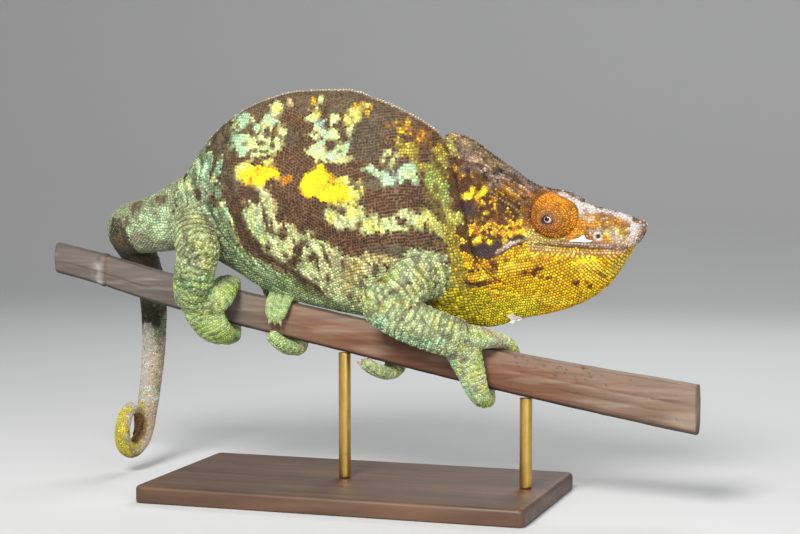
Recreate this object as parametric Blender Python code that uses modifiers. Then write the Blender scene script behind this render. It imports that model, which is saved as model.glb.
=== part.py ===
"""A life-size display model of a Parson's chameleon gripping a cut length of dry cane.

Frame: metres, +Z up, +X towards the head along the cane, +Y to the animal's left.
Origin: the middle of the stand's underside. The tables below are in millimetres.

The animal is a set of lofts. Trunk, neck and head are lofted from upright sections between a
keel line and a crest line; tail, legs and toes are tubes of oval section along smooth paths.
Pieces that join share a plane and keep GAP between them, so the whole reads as one animal that
has been parted with thin cuts.
"""

import math

import bmesh
import bpy
import numpy as np
from mathutils import Matrix, Vector

MM = 0.001
GAP = 0.3  # between touching pieces, mm

# ---------------------------------------------------------------- driving sizes (mm)
BASE_LENGTH, BASE_DEPTH, BASE_THICK = 224.0, 118.0, 10.0
ROD_RADIUS = 3.5
ROD_X = (-8.0, 98.0)
CANE_ENDS = (-188.0, 193.0)
CANE_NODE_X = -158.0

# Cane: x, top edge z, height, half depth
CANE = [
    (-230, 149.4, 17.2, 6.6),
    (-164, 136.2, 18.4, 6.8),
    (-119, 125.3, 19.6, 7.0),
    (-10, 104.0, 21.0, 7.6),
    (94, 85.2, 23.2, 8.4),
    (143, 78.2, 25.0, 8.8),
    (181, 73.4, 26.8, 9.2),
    (246, 63.6, 28.0, 9.6),
]
# Cane section, going round: share of half depth, share of height
CANE_SECTION = [
    (-0.62, 0.97), (0.0, 1.0), (0.62, 0.96), (0.95, 0.62), (0.86, 0.2), (0.5, 0.0),
    (-0.55, 0.0), (-0.84, 0.08), (-0.9, 0.3), (-1.0, 0.5), (-0.86, 0.75),
]

# Trunk and neck: station, keel x, keel z, crest x, crest z, then half widths low to high
TRUNK = [
    (0.0, -106, 138.5, -106, 180.5, 12.5, 13.0, 12.5, 10.5),
    (0.7, -97, 136.0, -96.5, 194.2, 14.0, 16.0, 14.5, 11.0),
    (1.4, -86, 132.5, -86.5, 205.6, 15.0, 18.5, 17.0, 12.0),
    (2.2, -73, 126.0, -74, 215.4, 16.5, 21.0, 19.0, 13.0),
    (3.1, -57, 117.0, -58, 223.4, 17.5, 23.0, 20.5, 13.5),
    (4.3, -33, 109.2, -33, 229.4, 18.0, 24.0, 21.5, 14.0),
    (5.5, -8, 104.4, -8, 229.9, 18.0, 24.0, 21.5, 14.0),
    (6.7, 17, 101.0, 17, 222.6, 17.5, 23.0, 20.5, 13.0),
    (8.0, 46, 98.8, 43, 209.2, 16.0, 20.5, 18.0, 11.5),
]
NECK = [
    (0.0, 46, 98.8, 43, 209.2, 16.0, 20.5, 18.0, 11.5),
    (0.5, 60, 98.6, 47, 205.8, 15.0, 19.0, 16.5, 9.5),
    (1.0, 74.5, 98.8, 50.4, 201.6, 14.0, 18.5, 16.0, 7.5),
]
# Head: throat or chin x, z; crown x, z; half widths at throat, jaw, eye level, crown
HEAD_SQUARE = (2.2, 3.0)
HEAD = [
    (0.0, 75.6, 98.6, 50.4, 203.0, 13.5, 20.5, 16.5, 5.0),
    (0.5, 79.0, 99.2, 55.4, 205.9, 14.0, 21.0, 17.0, 6.0),
    (1.2, 85.0, 101.0, 63.4, 203.2, 14.5, 21.3, 16.8, 7.2),
    (2.2, 97.0, 104.6, 80.0, 192.4, 15.0, 21.0, 16.0, 8.8),
    (3.2, 110.5, 107.4, 97.6, 180.6, 15.0, 20.0, 14.5, 10.5),
    (4.0, 122.0, 110.8, 108.6, 175.2, 14.5, 18.3, 13.0, 12.0),
    (4.8, 131.0, 114.8, 118.6, 173.0, 13.5, 16.5, 12.2, 12.4),
    (5.6, 139.6, 120.4, 130.6, 167.0, 12.0, 14.0, 11.4, 11.4),
    (6.6, 149.0, 129.4, 147.0, 162.6, 9.0, 11.0, 9.8, 10.0),
    (7.4, 155.0, 138.4, 157.6, 159.8, 6.6, 8.8, 8.4, 8.4),
    (7.85, 158.8, 145.6, 162.4, 156.8, 5.0, 6.4, 6.4, 6.0),
    (8.0, 161.0, 149.4, 163.2, 154.6, 2.4, 3.4, 3.4, 2.8),
]

# Eye turret: centre, axis and size of the dome
EYE_AT, EYE_OUT, EYE_RADIUS, EYE_HEIGHT = (117.4, 12.5, 160.6), (0.10, 1.0, 0.02), 13.4, 10.6

# Tail: path x, y, z; half width, half height
TAIL = [
    (-100.0, 0.0, 160.4, 12.8, 21.2),
    (-109.0, 0.3, 157.6, 12.5, 19.8),
    (-120.0, 2.0, 154.2, 12.2, 17.6),
    (-134.0, 6.8, 151.4, 12.4, 16.2),
    (-148.5, 16.0, 149.2, 12.6, 15.2),
    (-156.8, 28.0, 146.0, 12.0, 13.4),
    (-157.8, 38.6, 137.6, 11.0, 11.8),
    (-153.8, 44.8, 125.5, 9.8, 10.2),
    (-149.6, 46.4, 108.0, 8.6, 8.8),
    (-148.5, 46.2, 88.0, 7.7, 7.8),
    (-149.2, 45.4, 68.0, 7.2, 7.3),
    (-150.9, 44.0, 48.5, 6.7, 6.8),
]
COIL_CENTRE = (-154.0, 28.0, 27.2)
COIL_AWAY = (0.054, 0.998, 0.0)  # from the coil's centre to the hanging tail
COIL_DOWN = (-0.10, 0.0, -0.995)
# Coil: turn in degrees, radius of the turn, half width, half height
COIL = [
    (-18, 15.0, 6.4, 6.4),
    (0, 13.8, 6.2, 6.2),
    (40, 13.2, 5.8, 5.8),
    (90, 13.2, 5.4, 5.3),
    (140, 13.6, 5.1, 5.0),
    (180, 14.2, 4.8, 4.7),
    (225, 15.0, 4.4, 4.3),
    (260, 13.6, 3.9, 3.8),
    (290, 9.9, 3.4, 3.3),
    (320, 6.1, 2.9, 2.8),
    (355, 4.2, 2.4, 2.3),
    (400, 3.7, 1.9, 1.9),
    (440, 3.4, 1.3, 1.3),
]
TAIL_CUTS = (0.0, 0.30, 0.47, 0.735, 0.885, 1.0)  # shares of the tail's length
TAIL_NAMES = ("tail_base", "tail_bend", "tail_hanging", "tail_coil_outer", "tail_coil_tip")

# Limbs: joint x, y, z (y outwards), half sizes along the hint and across it. Upper and lower
# share a joint.
LIMBS = {
    "foreleg_right": dict(
        side=-1, hint=(0, 0, 1),
        upper=[(51.5, 6.0, 131.5, 14.0, 11.0), (40.0, 21.5, 125.0, 14.0, 11.0), (24.5, 29.0, 112.0, 13.0, 10.8)],
        lower=[(24.5, 29.0, 112.0, 13.0, 10.8), (43.0, 28.0, 102.4, 12.6, 9.8), (63.0, 20.5, 94.6, 11.6, 8.8)],
    ),
    "foreleg_left": dict(
        side=1, hint=(1, 0, 0),
        upper=[(50.0, 6.0, 131.0, 13.4, 11.0), (41.0, 23.0, 126.0, 12.8, 10.8), (29.5, 31.5, 115.0, 12.0, 10.4)],
        lower=[(29.5, 31.5, 115.0, 12.0, 10.4), (23.5, 29.5, 104.0, 11.0, 9.2), (17.0, 22.5, 93.5, 9.8, 8.2)],
    ),
    "hindleg_right": dict(
        side=-1, hint=(1, 0, 0),
        upper=[(-97.0, 4.0, 160.0, 12.0, 10.0), (-92.5, 17.5, 151.0, 12.6, 11.0), (-85.5, 27.0, 139.0, 12.6, 11.2)],
        lower=[(-85.5, 27.0, 139.0, 12.6, 11.2), (-89.0, 26.5, 125.0, 12.2, 10.4), (-91.0, 22.5, 113.5, 12.0, 9.6)],
    ),
    "hindleg_left": dict(
        side=1, hint=(1, 0, 0),
        upper=[(-95.0, 4.0, 158.0, 12.0, 10.0), (-86.5, 19.5, 151.0, 12.4, 10.5), (-73.0, 29.5, 140.0, 11.8, 10.6)],
        lower=[(-73.0, 29.5, 140.0, 11.8, 10.6), (-63.5, 27.5, 126.0, 11.0, 9.6), (-54.0, 21.5, 110.5, 10.2, 8.8)],
    ),
}
# Toe bundles: wrist or heel first, then points round the cane: x, distance out from the cane's
# middle plane (negative has crossed to its other side), height as a share of the cane's height
# (0 its lower edge, 1 its upper edge), half width and half thickness. Each bundle's row starts
# with the number of toes in it: two outside and three inside on a forefoot, the other way round
# on a hind foot.
FEET = {
    "forefoot_right": dict(
        side=-1,
        start=(63.0, 20.5, 94.6, 8.6, 7.0),
        upper=(2, [(73.5, 12.5, 1.25, 8.2, 6.0), (80.5, 4.0, 1.22, 6.6, 4.8), (85.5, -4.0, 1.13, 5.2, 4.0), (88.5, -10.6, 0.84, 4.0, 3.2), (90.0, -12.2, 0.50, 2.8, 2.6)]),
        lower=(3, [(66.8, 17.8, 0.88, 9.8, 6.4), (70.4, 14.6, 0.41, 8.4, 5.6), (73.6, 12.8, -0.03, 7.0, 5.0), (75.8, 6.8, -0.30, 5.8, 4.4), (75.4, -1.0, -0.28, 5.0, 3.8), (74.4, -6.6, -0.20, 4.2, 3.2)]),
    ),
    "forefoot_left": dict(
        side=1,
        start=(17.0, 22.5, 93.5, 7.4, 6.4),
        upper=(2, [(18.5, 15.0, 1.00, 7.6, 6.0), (19.5, 7.0, 1.18, 6.4, 4.8), (19.4, -0.5, 1.20, 5.4, 4.0), (18.8, -7.0, 1.07, 4.4, 3.2)]),
        lower=(3, [(17.5, 16.5, 0.42, 8.2, 6.0), (18.6, 13.0, -0.08, 7.0, 5.2), (17.4, 5.4, -0.30, 5.8, 4.4), (13.2, -3.6, -0.27, 5.4, 4.0), (8.4, -8.8, -0.12, 4.8, 3.5)]),
    ),
    "hindfoot_right": dict(
        side=-1,
        start=(-91.0, 22.5, 113.5, 9.4, 7.6),
        upper=(3, [(-82.8, 20.2, 0.62, 9.2, 6.8), (-78.0, 17.4, 0.84, 9.6, 6.8), (-77.2, 11.6, 1.04, 8.8, 5.6), (-79.0, 3.0, 1.15, 7.8, 4.4), (-81.0, -6.6, 1.08, 6.6, 4.0), (-81.6, -11.8, 0.70, 5.2, 3.4)]),
        lower=(2, [(-87.4, 18.4, 0.30, 11.6, 7.0), (-82.6, 14.6, -0.14, 11.4, 6.4), (-80.2, 7.2, -0.37, 10.4, 5.6), (-81.0, -1.5, -0.38, 8.8, 4.6), (-82.4, -9.0, -0.22, 7.0, 3.8)]),
    ),
    "hindfoot_left": dict(
        side=1,
        start=(-54.0, 21.5, 110.5, 8.2, 7.0),
        upper=(3, [(-50.0, 15.5, 0.98, 8.6, 6.0), (-47.0, 6.0, 1.14, 8.2, 4.4), (-45.4, -3.5, 1.08, 8.0, 3.6), (-45.0, -9.8, 0.88, 7.6, 3.4), (-45.4, -11.6, 0.62, 6.2, 3.0), (-45.6, -11.6, 0.50, 4.4, 2.6)]),
        lower=(2, [(-50.0, 17.0, 0.38, 8.8, 6.2), (-43.0, 13.6, -0.12, 7.4, 5.4), (-39.6, 5.4, -0.30, 6.4, 4.6), (-42.0, -4.6, -0.24, 5.8, 4.2), (-47.6, -9.6, -0.02, 4.8, 3.6)]),
    ),
}
CLAW_LENGTH, CLAW_RADIUS = 5.2, 1.25


# ---------------------------------------------------------------- curves and sections
def smooth(keys, t):
    """Monotone cubic through the rows of keys, whose first column is the parameter."""
    keys = np.asarray(keys, float)
    x, y = keys[:, 0], keys[:, 1:]
    t = np.clip(np.atleast_1d(np.asarray(t, float)), x[0], x[-1])
    h = np.diff(x)[:, None]
    d = np.diff(y, axis=0) / h
    m = np.zeros_like(y)
    m[0], m[-1] = d[0], d[-1]
    for i in range(1, len(x) - 1):
        same = d[i - 1] * d[i] > 0
        w1, w2 = 2 * h[i] + h[i - 1], h[i] + 2 * h[i - 1]
        with np.errstate(divide="ignore", invalid="ignore"):
            mean = (w1 + w2) / (w1 / d[i - 1] + w2 / d[i])
        m[i] = np.where(same, mean, 0.0)
    i = np.clip(np.searchsorted(x, t, side="right") - 1, 0, len(x) - 2)
    s = ((t - x[i]) / (x[i + 1] - x[i]))[:, None]
    hh = h[i]
    return (
        (1 + 2 * s) * (1 - s) ** 2 * y[i]
        + s * (1 - s) ** 2 * hh * m[i]
        + s * s * (3 - 2 * s) * y[i + 1]
        + s * s * (s - 1) * hh * m[i + 1]
    )


def catmull(points, count):
    """A smooth path through points (rows), with every column carried along, evenly spaced."""
    p = np.asarray(points, float)
    step = np.sqrt(np.linalg.norm(np.diff(p[:, :3], axis=0), axis=1))
    k = np.concatenate([[0], np.cumsum(step)])
    m = np.zeros_like(p)
    m[1:-1] = (
        (p[1:-1] - p[:-2]) / np.diff(k)[:-1, None] * np.diff(k)[1:, None]
        + (p[2:] - p[1:-1]) / np.diff(k)[1:, None] * np.diff(k)[:-1, None]
    ) / (k[2:] - k[:-2])[:, None]
    m[0] = 2 * (p[1] - p[0]) / (k[1] - k[0]) - m[1]
    m[-1] = 2 * (p[-1] - p[-2]) / (k[-1] - k[-2]) - m[-2]

    def at(t):
        i = np.clip(np.searchsorted(k, t, side="right") - 1, 0, len(k) - 2)
        h = (k[i + 1] - k[i])[:, None]
        s = ((t - k[i]) / (k[i + 1] - k[i]))[:, None]
        return (
            (1 + 2 * s) * (1 - s) ** 2 * p[i]
            + s * (1 - s) ** 2 * h * m[i]
            + s * s * (3 - 2 * s) * p[i + 1]
            + s * s * (s - 1) * h * m[i + 1]
        )

    fine = at(np.linspace(0, k[-1], 400))
    along = np.concatenate([[0], np.cumsum(np.linalg.norm(np.diff(fine[:, :3], axis=0), axis=1))])
    want = np.linspace(0, along[-1], count)
    return np.stack([np.interp(want, along, fine[:, c]) for c in range(p.shape[1])], axis=1)


def upright_ring(row, count, grow=0.0, square=(2.2, 2.3)):
    """A closed section between a keel point and a crest point, with four half widths up it.

    square is how square the section closes below and above: 2 is an ellipse, more is boxier.
    """
    bx, bz, tx, tz, w0, w1, w2, w3 = row
    up = np.array([tx - bx, 0.0, tz - bz])
    tall = np.linalg.norm(up)
    up /= tall
    angle = np.linspace(0, 2 * math.pi, count, endpoint=False) - math.pi / 2
    power = 2 / np.where(np.sin(angle) < 0, square[0], square[1])
    s = np.sign(np.sin(angle)) * np.abs(np.sin(angle)) ** power
    c = np.sign(np.cos(angle)) * np.abs(np.cos(angle)) ** power
    v = 0.5 + 0.5 * s
    width = smooth([(0.04, w0), (0.35, w1), (0.68, w2), (0.96, w3)], v)[:, 0]
    ring = np.array([bx, 0.0, bz]) + (v * tall + grow * s)[:, None] * up
    ring[:, 1] += c * (width + grow)
    return ring


def tube_rings(path, sides, hint, grow=0.0, power=1.0):
    """Oval sections along path rows (x, y, z, a, b): a lies along hint, b across it."""
    p = path[:, :3]
    t = np.gradient(p, axis=0)
    t /= np.linalg.norm(t, axis=1)[:, None]
    angle = np.linspace(0, 2 * math.pi, sides, endpoint=False)
    c = np.sign(np.cos(angle)) * np.abs(np.cos(angle)) ** power
    s = np.sign(np.sin(angle)) * np.abs(np.sin(angle)) ** power
    rings = []
    hint = np.asarray(hint, float)
    for i in range(len(p)):
        side = hint - t[i] * (hint @ t[i])
        side /= np.linalg.norm(side)
        normal = np.cross(t[i], side)
        hint = side  # carried along, so the section never flips
        rings.append(
            p[i]
            + (c * (path[i, 3] + grow))[:, None] * side
            + (s * (path[i, 4] + grow))[:, None] * normal
        )
    return rings


def wrapped_rings(path, sides, grow=0.0):
    """Oval sections of a toe bundle: a lies across it, b points away from the cane."""
    t = np.gradient(path[:, :3], axis=0)
    t /= np.linalg.norm(t, axis=1)[:, None]
    angle = np.linspace(0, 2 * math.pi, sides, endpoint=False)
    rings = []
    for i, row in enumerate(path):
        top, tall, _ = cane_at(row[0])
        out = row[:3] - np.array([row[0], 0.0, top - tall / 2])
        out -= t[i] * (out @ t[i])
        out /= np.linalg.norm(out)
        side = np.cross(t[i], out)
        rings.append(
            row[:3]
            + (np.cos(angle) * (row[3] + grow))[:, None] * side
            + (np.sin(angle) * (row[4] + grow))[:, None] * out
        )
    return rings


def rounded(path, start=True, end=True, steps=4):
    """Adds shrinking sections past either end of a tube's path, so that it ends in a dome."""
    out = [path]
    for there, at, inner in ((start, 0, 1), (end, -1, -2)):
        if not there:
            continue
        away = path[at, :3] - path[inner, :3]
        away /= np.linalg.norm(away)
        cap = []
        for k in range(1, steps + 1):
            a = k / (steps + 0.35) * math.pi / 2
            row = path[at].copy()
            reach = min(row[3], row[4])
            row[:3] += away * reach * math.sin(a)
            row[3:5] *= math.cos(a)
            cap.append(row)
        out = [np.array(cap[::-1])] + out if at == 0 else out + [np.array(cap)]
    return np.concatenate(out)


# ---------------------------------------------------------------- building objects
for old in list(bpy.data.objects):
    bpy.data.objects.remove(old)
model = bpy.data.collections.new("parsons_chameleon")
cutters = bpy.data.collections.new("cutters")
bpy.context.scene.collection.children.link(model)
bpy.context.scene.collection.children.link(cutters)
cutters.hide_render = True


def material(name, colour, roughness, metallic=0.0):
    made = bpy.data.materials.new(name)
    made.use_nodes = True
    shader = made.node_tree.nodes["Principled BSDF"]
    shader.inputs["Base Color"].default_value = (*colour, 1.0)
    shader.inputs["Roughness"].default_value = roughness
    shader.inputs["Metallic"].default_value = metallic
    made.diffuse_color = (*colour, 1.0)
    return made


SKIN_BODY = material("skin_body", (0.36, 0.42, 0.20), 0.55)
SKIN_HEAD = material("skin_head", (0.62, 0.42, 0.08), 0.5)
SKIN_LEG = material("skin_leg", (0.42, 0.50, 0.26), 0.55)
SKIN_TAIL = material("skin_tail", (0.46, 0.50, 0.36), 0.55)
EYE = material("eye_turret", (0.62, 0.27, 0.05), 0.5)
CANE_WOOD = material("cane", (0.47, 0.33, 0.26), 0.7)
STAND_BASE = material("stand_board", (0.16, 0.13, 0.11), 0.45)
STAND_ROD = material("stand_rod", (0.75, 0.60, 0.32), 0.3, 1.0)


def object_of(name, rings, look=None, caps=True):
    """A closed loft through rings of equally many points, in millimetres."""
    mesh = bpy.data.meshes.new(name)
    bm = bmesh.new()
    rows = [[bm.verts.new(Vector(p) * MM) for p in ring] for ring in rings]
    n = len(rows[0])
    for a, b in zip(rows, rows[1:]):
        for i in range(n):
            j = (i + 1) % n
            bm.faces.new((a[i], a[j], b[j], b[i]))
    for row in (rows[0], rows[-1]):
        middle = bm.verts.new(sum((v.co for v in row), Vector()) / n)
        for i in range(n):
            bm.faces.new((row[i], row[(i + 1) % n], middle))
    bmesh.ops.recalc_face_normals(bm, faces=bm.faces)
    if bm.calc_volume(signed=True) < 0:
        bmesh.ops.reverse_faces(bm, faces=bm.faces)
    bm.to_mesh(mesh)
    bm.free()
    return place(bpy.data.objects.new(name, mesh), look)


def place(obj, look):
    if look is None:
        cutters.objects.link(obj)
        obj.hide_render = True
        obj.display_type = "WIRE"
    else:
        model.objects.link(obj)
        obj.data.materials.append(look)
        obj.data.shade_smooth()
    return obj


def boolean(obj, other, operation="DIFFERENCE"):
    mod = obj.modifiers.new(f"{operation.lower()}_{other.name}", "BOOLEAN")
    mod.operation = operation
    mod.object = other
    mod.solver = "EXACT"
    return obj


def half_space(name, point, normal, size=120.0):
    """A block whose face through point cuts away all that normal points to."""
    bm = bmesh.new()
    bmesh.ops.create_cube(bm, size=size * MM)
    normal = Vector(normal).normalized()
    turn = Vector((0, 0, 1)).rotation_difference(normal).to_matrix().to_4x4()
    centre = Vector(point) + normal * (size / 2)
    bmesh.ops.transform(bm, matrix=Matrix.Translation(centre * MM) @ turn, verts=bm.verts)
    mesh = bpy.data.meshes.new(name)
    bm.to_mesh(mesh)
    bm.free()
    return place(bpy.data.objects.new(name, mesh), None)


# ---------------------------------------------------------------- cane and stand
def cane_at(x):
    """Top edge z, height and half depth of the cane at x."""
    top, tall, deep = smooth(CANE, x)[0]
    return top, tall, deep


def cane_rings(x0, x1, count, grow=0.0):
    rings = []
    for x in np.linspace(x0, x1, count):
        top, tall, deep = cane_at(x)
        swell = 0.9 * math.exp(-(((x - CANE_NODE_X) / 2.2) ** 2))
        middle = top - tall / 2
        ring = []
        for across, share in CANE_SECTION:
            y = across * (deep + swell)
            z = (share - 0.5) * (tall + 1.4 * swell)
            far = math.hypot(y, z)
            ring.append((x, y * (1 + grow / far), middle + z * (1 + grow / far)))
        rings.append(ring)
    return rings


cane = object_of("perch_cane", cane_rings(*CANE_ENDS, 20), CANE_WOOD)
cane_clear = object_of(
    "cut_cane", cane_rings(CANE_ENDS[0] - 4, CANE_ENDS[1] + 4, 20, grow=GAP + 0.25), None
)

bpy.ops.mesh.primitive_cube_add(size=1, location=(0, 0, BASE_THICK / 2 * MM))
board = bpy.context.active_object
board.name = "stand_base"
board.data.transform(Matrix.Diagonal((BASE_LENGTH * MM, BASE_DEPTH * MM, BASE_THICK * MM, 1)))
edge = board.modifiers.new("rounded_corners", "BEVEL")
edge.width, edge.segments, edge.limit_method = 0.003, 3, "ANGLE"
for c in list(board.users_collection):
    c.objects.unlink(board)
place(board, STAND_BASE)

for number, x in enumerate(ROD_X, 1):
    low = BASE_THICK + GAP
    high = cane_at(x)[0] - cane_at(x)[1] * 0.5
    bpy.ops.mesh.primitive_cylinder_add(
        vertices=20, radius=ROD_RADIUS * MM, depth=(high - low) * MM,
        location=(x * MM, 0, (high + low) / 2 * MM),
    )
    rod = bpy.context.active_object
    rod.name = f"stand_rod_{number}"
    for c in list(rod.users_collection):
        c.objects.unlink(rod)
    place(rod, STAND_ROD)
    boolean(rod, cane_clear)


# ---------------------------------------------------------------- trunk, neck and head
def upright(table, count, sides, grow=0.0, square=(2.2, 2.3)):
    t = np.linspace(table[0][0], table[-1][0], count)
    return [upright_ring(row, sides, grow, square) for row in smooth(table, t)]


def shifted(table, by):
    """The same stations, moved along x."""
    return [(r[0], r[1] + by, r[2], r[3] + by, *r[4:]) for r in table]


trunk = object_of("trunk", upright(TRUNK, 17, 20), SKIN_BODY)
neck = object_of("neck", upright(shifted(NECK, GAP), 4, 20), SKIN_BODY)
head = object_of("head", upright(shifted(HEAD, 2 * GAP), 23, 20, square=HEAD_SQUARE), SKIN_HEAD)
body_clear = object_of(
    "cut_body",
    upright(TRUNK, 17, 20, grow=GAP)
    + upright(shifted(NECK, GAP), 4, 20, grow=GAP)[1:]
    + upright(shifted(HEAD, 2 * GAP), 23, 20, grow=GAP, square=HEAD_SQUARE),
    None,
)

for side, word in ((-1, "right"), (1, "left")):
    centre = np.array([EYE_AT[0], side * EYE_AT[1], EYE_AT[2]])
    out = np.array([EYE_OUT[0], side * EYE_OUT[1], EYE_OUT[2]])
    out /= np.linalg.norm(out)
    profile = [(-5.0, 1.0), (0.0, 1.0), (3.2, 0.965), (5.8, 0.86), (8.0, 0.68), (9.6, 0.44), (10.4, 0.2)]
    path = np.array([[*(centre + out * h), EYE_RADIUS * r, EYE_RADIUS * r] for h, r in profile])
    turret = object_of(f"eye_{word}", tube_rings(path, 14, (0, 0, 1)), EYE)
    boolean(turret, body_clear)


# ---------------------------------------------------------------- tail
def coil_points():
    centre, away, down = (np.array(v, float) for v in (COIL_CENTRE, COIL_AWAY, COIL_DOWN))
    away /= np.linalg.norm(away)
    down -= away * (down @ away)
    down /= np.linalg.norm(down)
    rows = []
    for turn, radius, wide, high in COIL:
        a = math.radians(turn)
        rows.append([*(centre + radius * (math.cos(a) * away + math.sin(a) * down)), wide, high])
    return rows


def tail_path(count):
    return catmull(TAIL + coil_points(), count)


TAIL_STEPS = 68
whole_tail = tail_path(TAIL_STEPS + 1)
tail_rings = tube_rings(whole_tail, 12, (0, 1, 0))
for name, a, b in zip(TAIL_NAMES, TAIL_CUTS, TAIL_CUTS[1:]):
    first, last = round(a * TAIL_STEPS), round(b * TAIL_STEPS)
    piece = [np.array(r) for r in tail_rings[first : last + 1]]
    if first > 0:  # a thin cut from the length before it
        forward = whole_tail[first + 1, :3] - whole_tail[first, :3]
        piece[0] = piece[0] + forward / np.linalg.norm(forward) * GAP
    length = object_of(name, piece, SKIN_TAIL)
    if first == 0:  # the root meets the trunk's upright end
        boolean(length, half_space("cut_tail_root", (TRUNK[0][1] - GAP, 0, 160), (1, 0, 0)))
near = round(TAIL_CUTS[1] * TAIL_STEPS) + 1
tail_clear = object_of("cut_tail", tube_rings(whole_tail, 12, (0, 1, 0), grow=GAP)[:near], None)


# ---------------------------------------------------------------- legs and feet
def flipped(rows, side):
    return np.array([[r[0], side * r[1], *r[2:]] for r in rows], float)


def mitre(a, b):
    """Unit vectors from a joint along its two limbs give the plane that parts them."""
    normal = Vector(a) - Vector(b)
    return normal.normalized()


def parted(first, second, joint, along_first, along_second, label):
    """Cuts two overlapping tubes with the plane that halves their joint, GAP apart."""
    normal = mitre(along_first, along_second)
    joint = Vector(joint)
    boolean(first, half_space(f"cut_{label}_a", joint + normal * GAP / 2, -normal))
    boolean(second, half_space(f"cut_{label}_b", joint - normal * GAP / 2, normal))


def unit(v):
    v = np.asarray(v, float)
    return v / np.linalg.norm(v)


def cane_point(side, row):
    """A toe bundle's point, from its place round the cane."""
    x, out, share, wide, thick = row
    top, tall, deep = cane_at(x)
    return [x, side * out, top - tall + share * tall, wide, thick]


def claw_cones(label, path, toes, side):
    """Short curved points fanned across a bundle's tip."""
    tip, before = path[-1], path[-2]
    forward = unit(tip[:3] - before[:3])
    across = unit(np.array([1.0, 0, 0]) - forward * forward[0])
    claws = []
    for k in range(toes):
        spread = (k - (toes - 1) / 2) / max(1, (toes - 1) / 2) if toes > 1 else 0.0
        root = tip[:3] + across * spread * (tip[3] - 1.6) - forward * 0.6
        way = unit(forward + across * spread * 0.25)
        rings = []
        for share, r in ((-0.4, 1.0), (0.4, 0.9), (1.0, 0.3)):
            rings.append([*(root + way * share * CLAW_LENGTH), CLAW_RADIUS * r, CLAW_RADIUS * r])
        claws.append(object_of(f"{label}_claw_{k}", tube_rings(np.array(rings), 5, (0, 1, 0.3)), None))
    return claws


def boxed(obj):
    points = np.array([v.co[:] for v in obj.data.vertices]) / MM
    return points.min(0), points.max(0)


def clear_of(obj, *others):
    """Keeps obj off the grown copies of its neighbours, wherever their boxes meet."""
    low, high = boxed(obj)
    for other in others:
        other_low, other_high = boxed(other)
        if (low < other_high).all() and (other_low < high).all():
            boolean(obj, other)


for limb, spec in LIMBS.items():
    side, hint = spec["side"], spec["hint"]
    upper_rows, lower_rows = flipped(spec["upper"], side), flipped(spec["lower"], side)
    upper_path, lower_path = catmull(upper_rows, 6), catmull(lower_rows, 6)
    upper_whole, lower_whole = rounded(upper_path, start=False, steps=3), rounded(lower_path, steps=3)
    upper = object_of(f"{limb}_upper", tube_rings(upper_whole, 12, hint), SKIN_LEG)
    lower = object_of(f"{limb}_lower", tube_rings(lower_whole, 12, hint), SKIN_LEG)
    leg_clear = object_of(f"cut_{limb}", tube_rings(lower_whole, 12, hint, grow=GAP), None)
    parted(
        upper, lower, upper_rows[-1, :3],
        unit(upper_path[-2, :3] - upper_path[-1, :3]), unit(lower_path[1, :3] - lower_path[0, :3]),
        f"{limb}_joint",
    )
    clear_of(upper, body_clear, tail_clear)
    clear_of(lower, body_clear, tail_clear, cane_clear)

    foot_name = limb.replace("leg", "foot")
    foot = FEET[foot_name]
    start = np.array([[foot["start"][0], side * foot["start"][1], *foot["start"][2:]]])
    wrist = start[0, :3]
    up_leg = unit(lower_path[-2, :3] - wrist)
    paths = {}
    for which in ("upper", "lower"):
        points = np.concatenate([start, [cane_point(side, r) for r in foot[which][1]]])
        paths[which] = catmull(points, 9)
    ways = [unit(paths[which][2, :3] - wrist) for which in ("upper", "lower")]
    bundles = []
    for which, path in paths.items():
        lead = path[:1].copy()  # the palm starts inside the leg, which is then cut out of it
        lead[0, :3] += up_leg * 3.0
        lead[0, 3:5] *= 0.6
        whole = rounded(np.concatenate([lead, path]), start=False, steps=2)
        bundles.append(object_of(f"{foot_name}_{which}", wrapped_rings(whole, 10), SKIN_LEG))
    parted(*bundles, wrist, *ways, f"{foot_name}_palm")
    for (which, path), bundle in zip(paths.items(), bundles):
        boolean(bundle, leg_clear)
        for claw in claw_cones(f"{foot_name}_{which}", path, foot[which][0], side):
            boolean(bundle, claw, "UNION")
        boolean(bundle, cane_clear)
        if which == "upper" and side > 0:  # toes that pass between cane and belly dent the belly
            reach = path[-1:].copy()
            reach[0, :3] += unit(path[-1, :3] - path[-2, :3]) * (CLAW_LENGTH + GAP)
            dent = wrapped_rings(np.concatenate([path, reach]), 10, grow=GAP)
            boolean(trunk, object_of(f"cut_trunk_{foot_name}", dent, None))
        else:
            clear_of(bundle, body_clear)
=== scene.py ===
import math

import bmesh
import bpy
import numpy as np
from mathutils import Matrix, Vector
from mathutils.bvhtree import BVHTree
from mathutils.kdtree import KDTree


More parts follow.
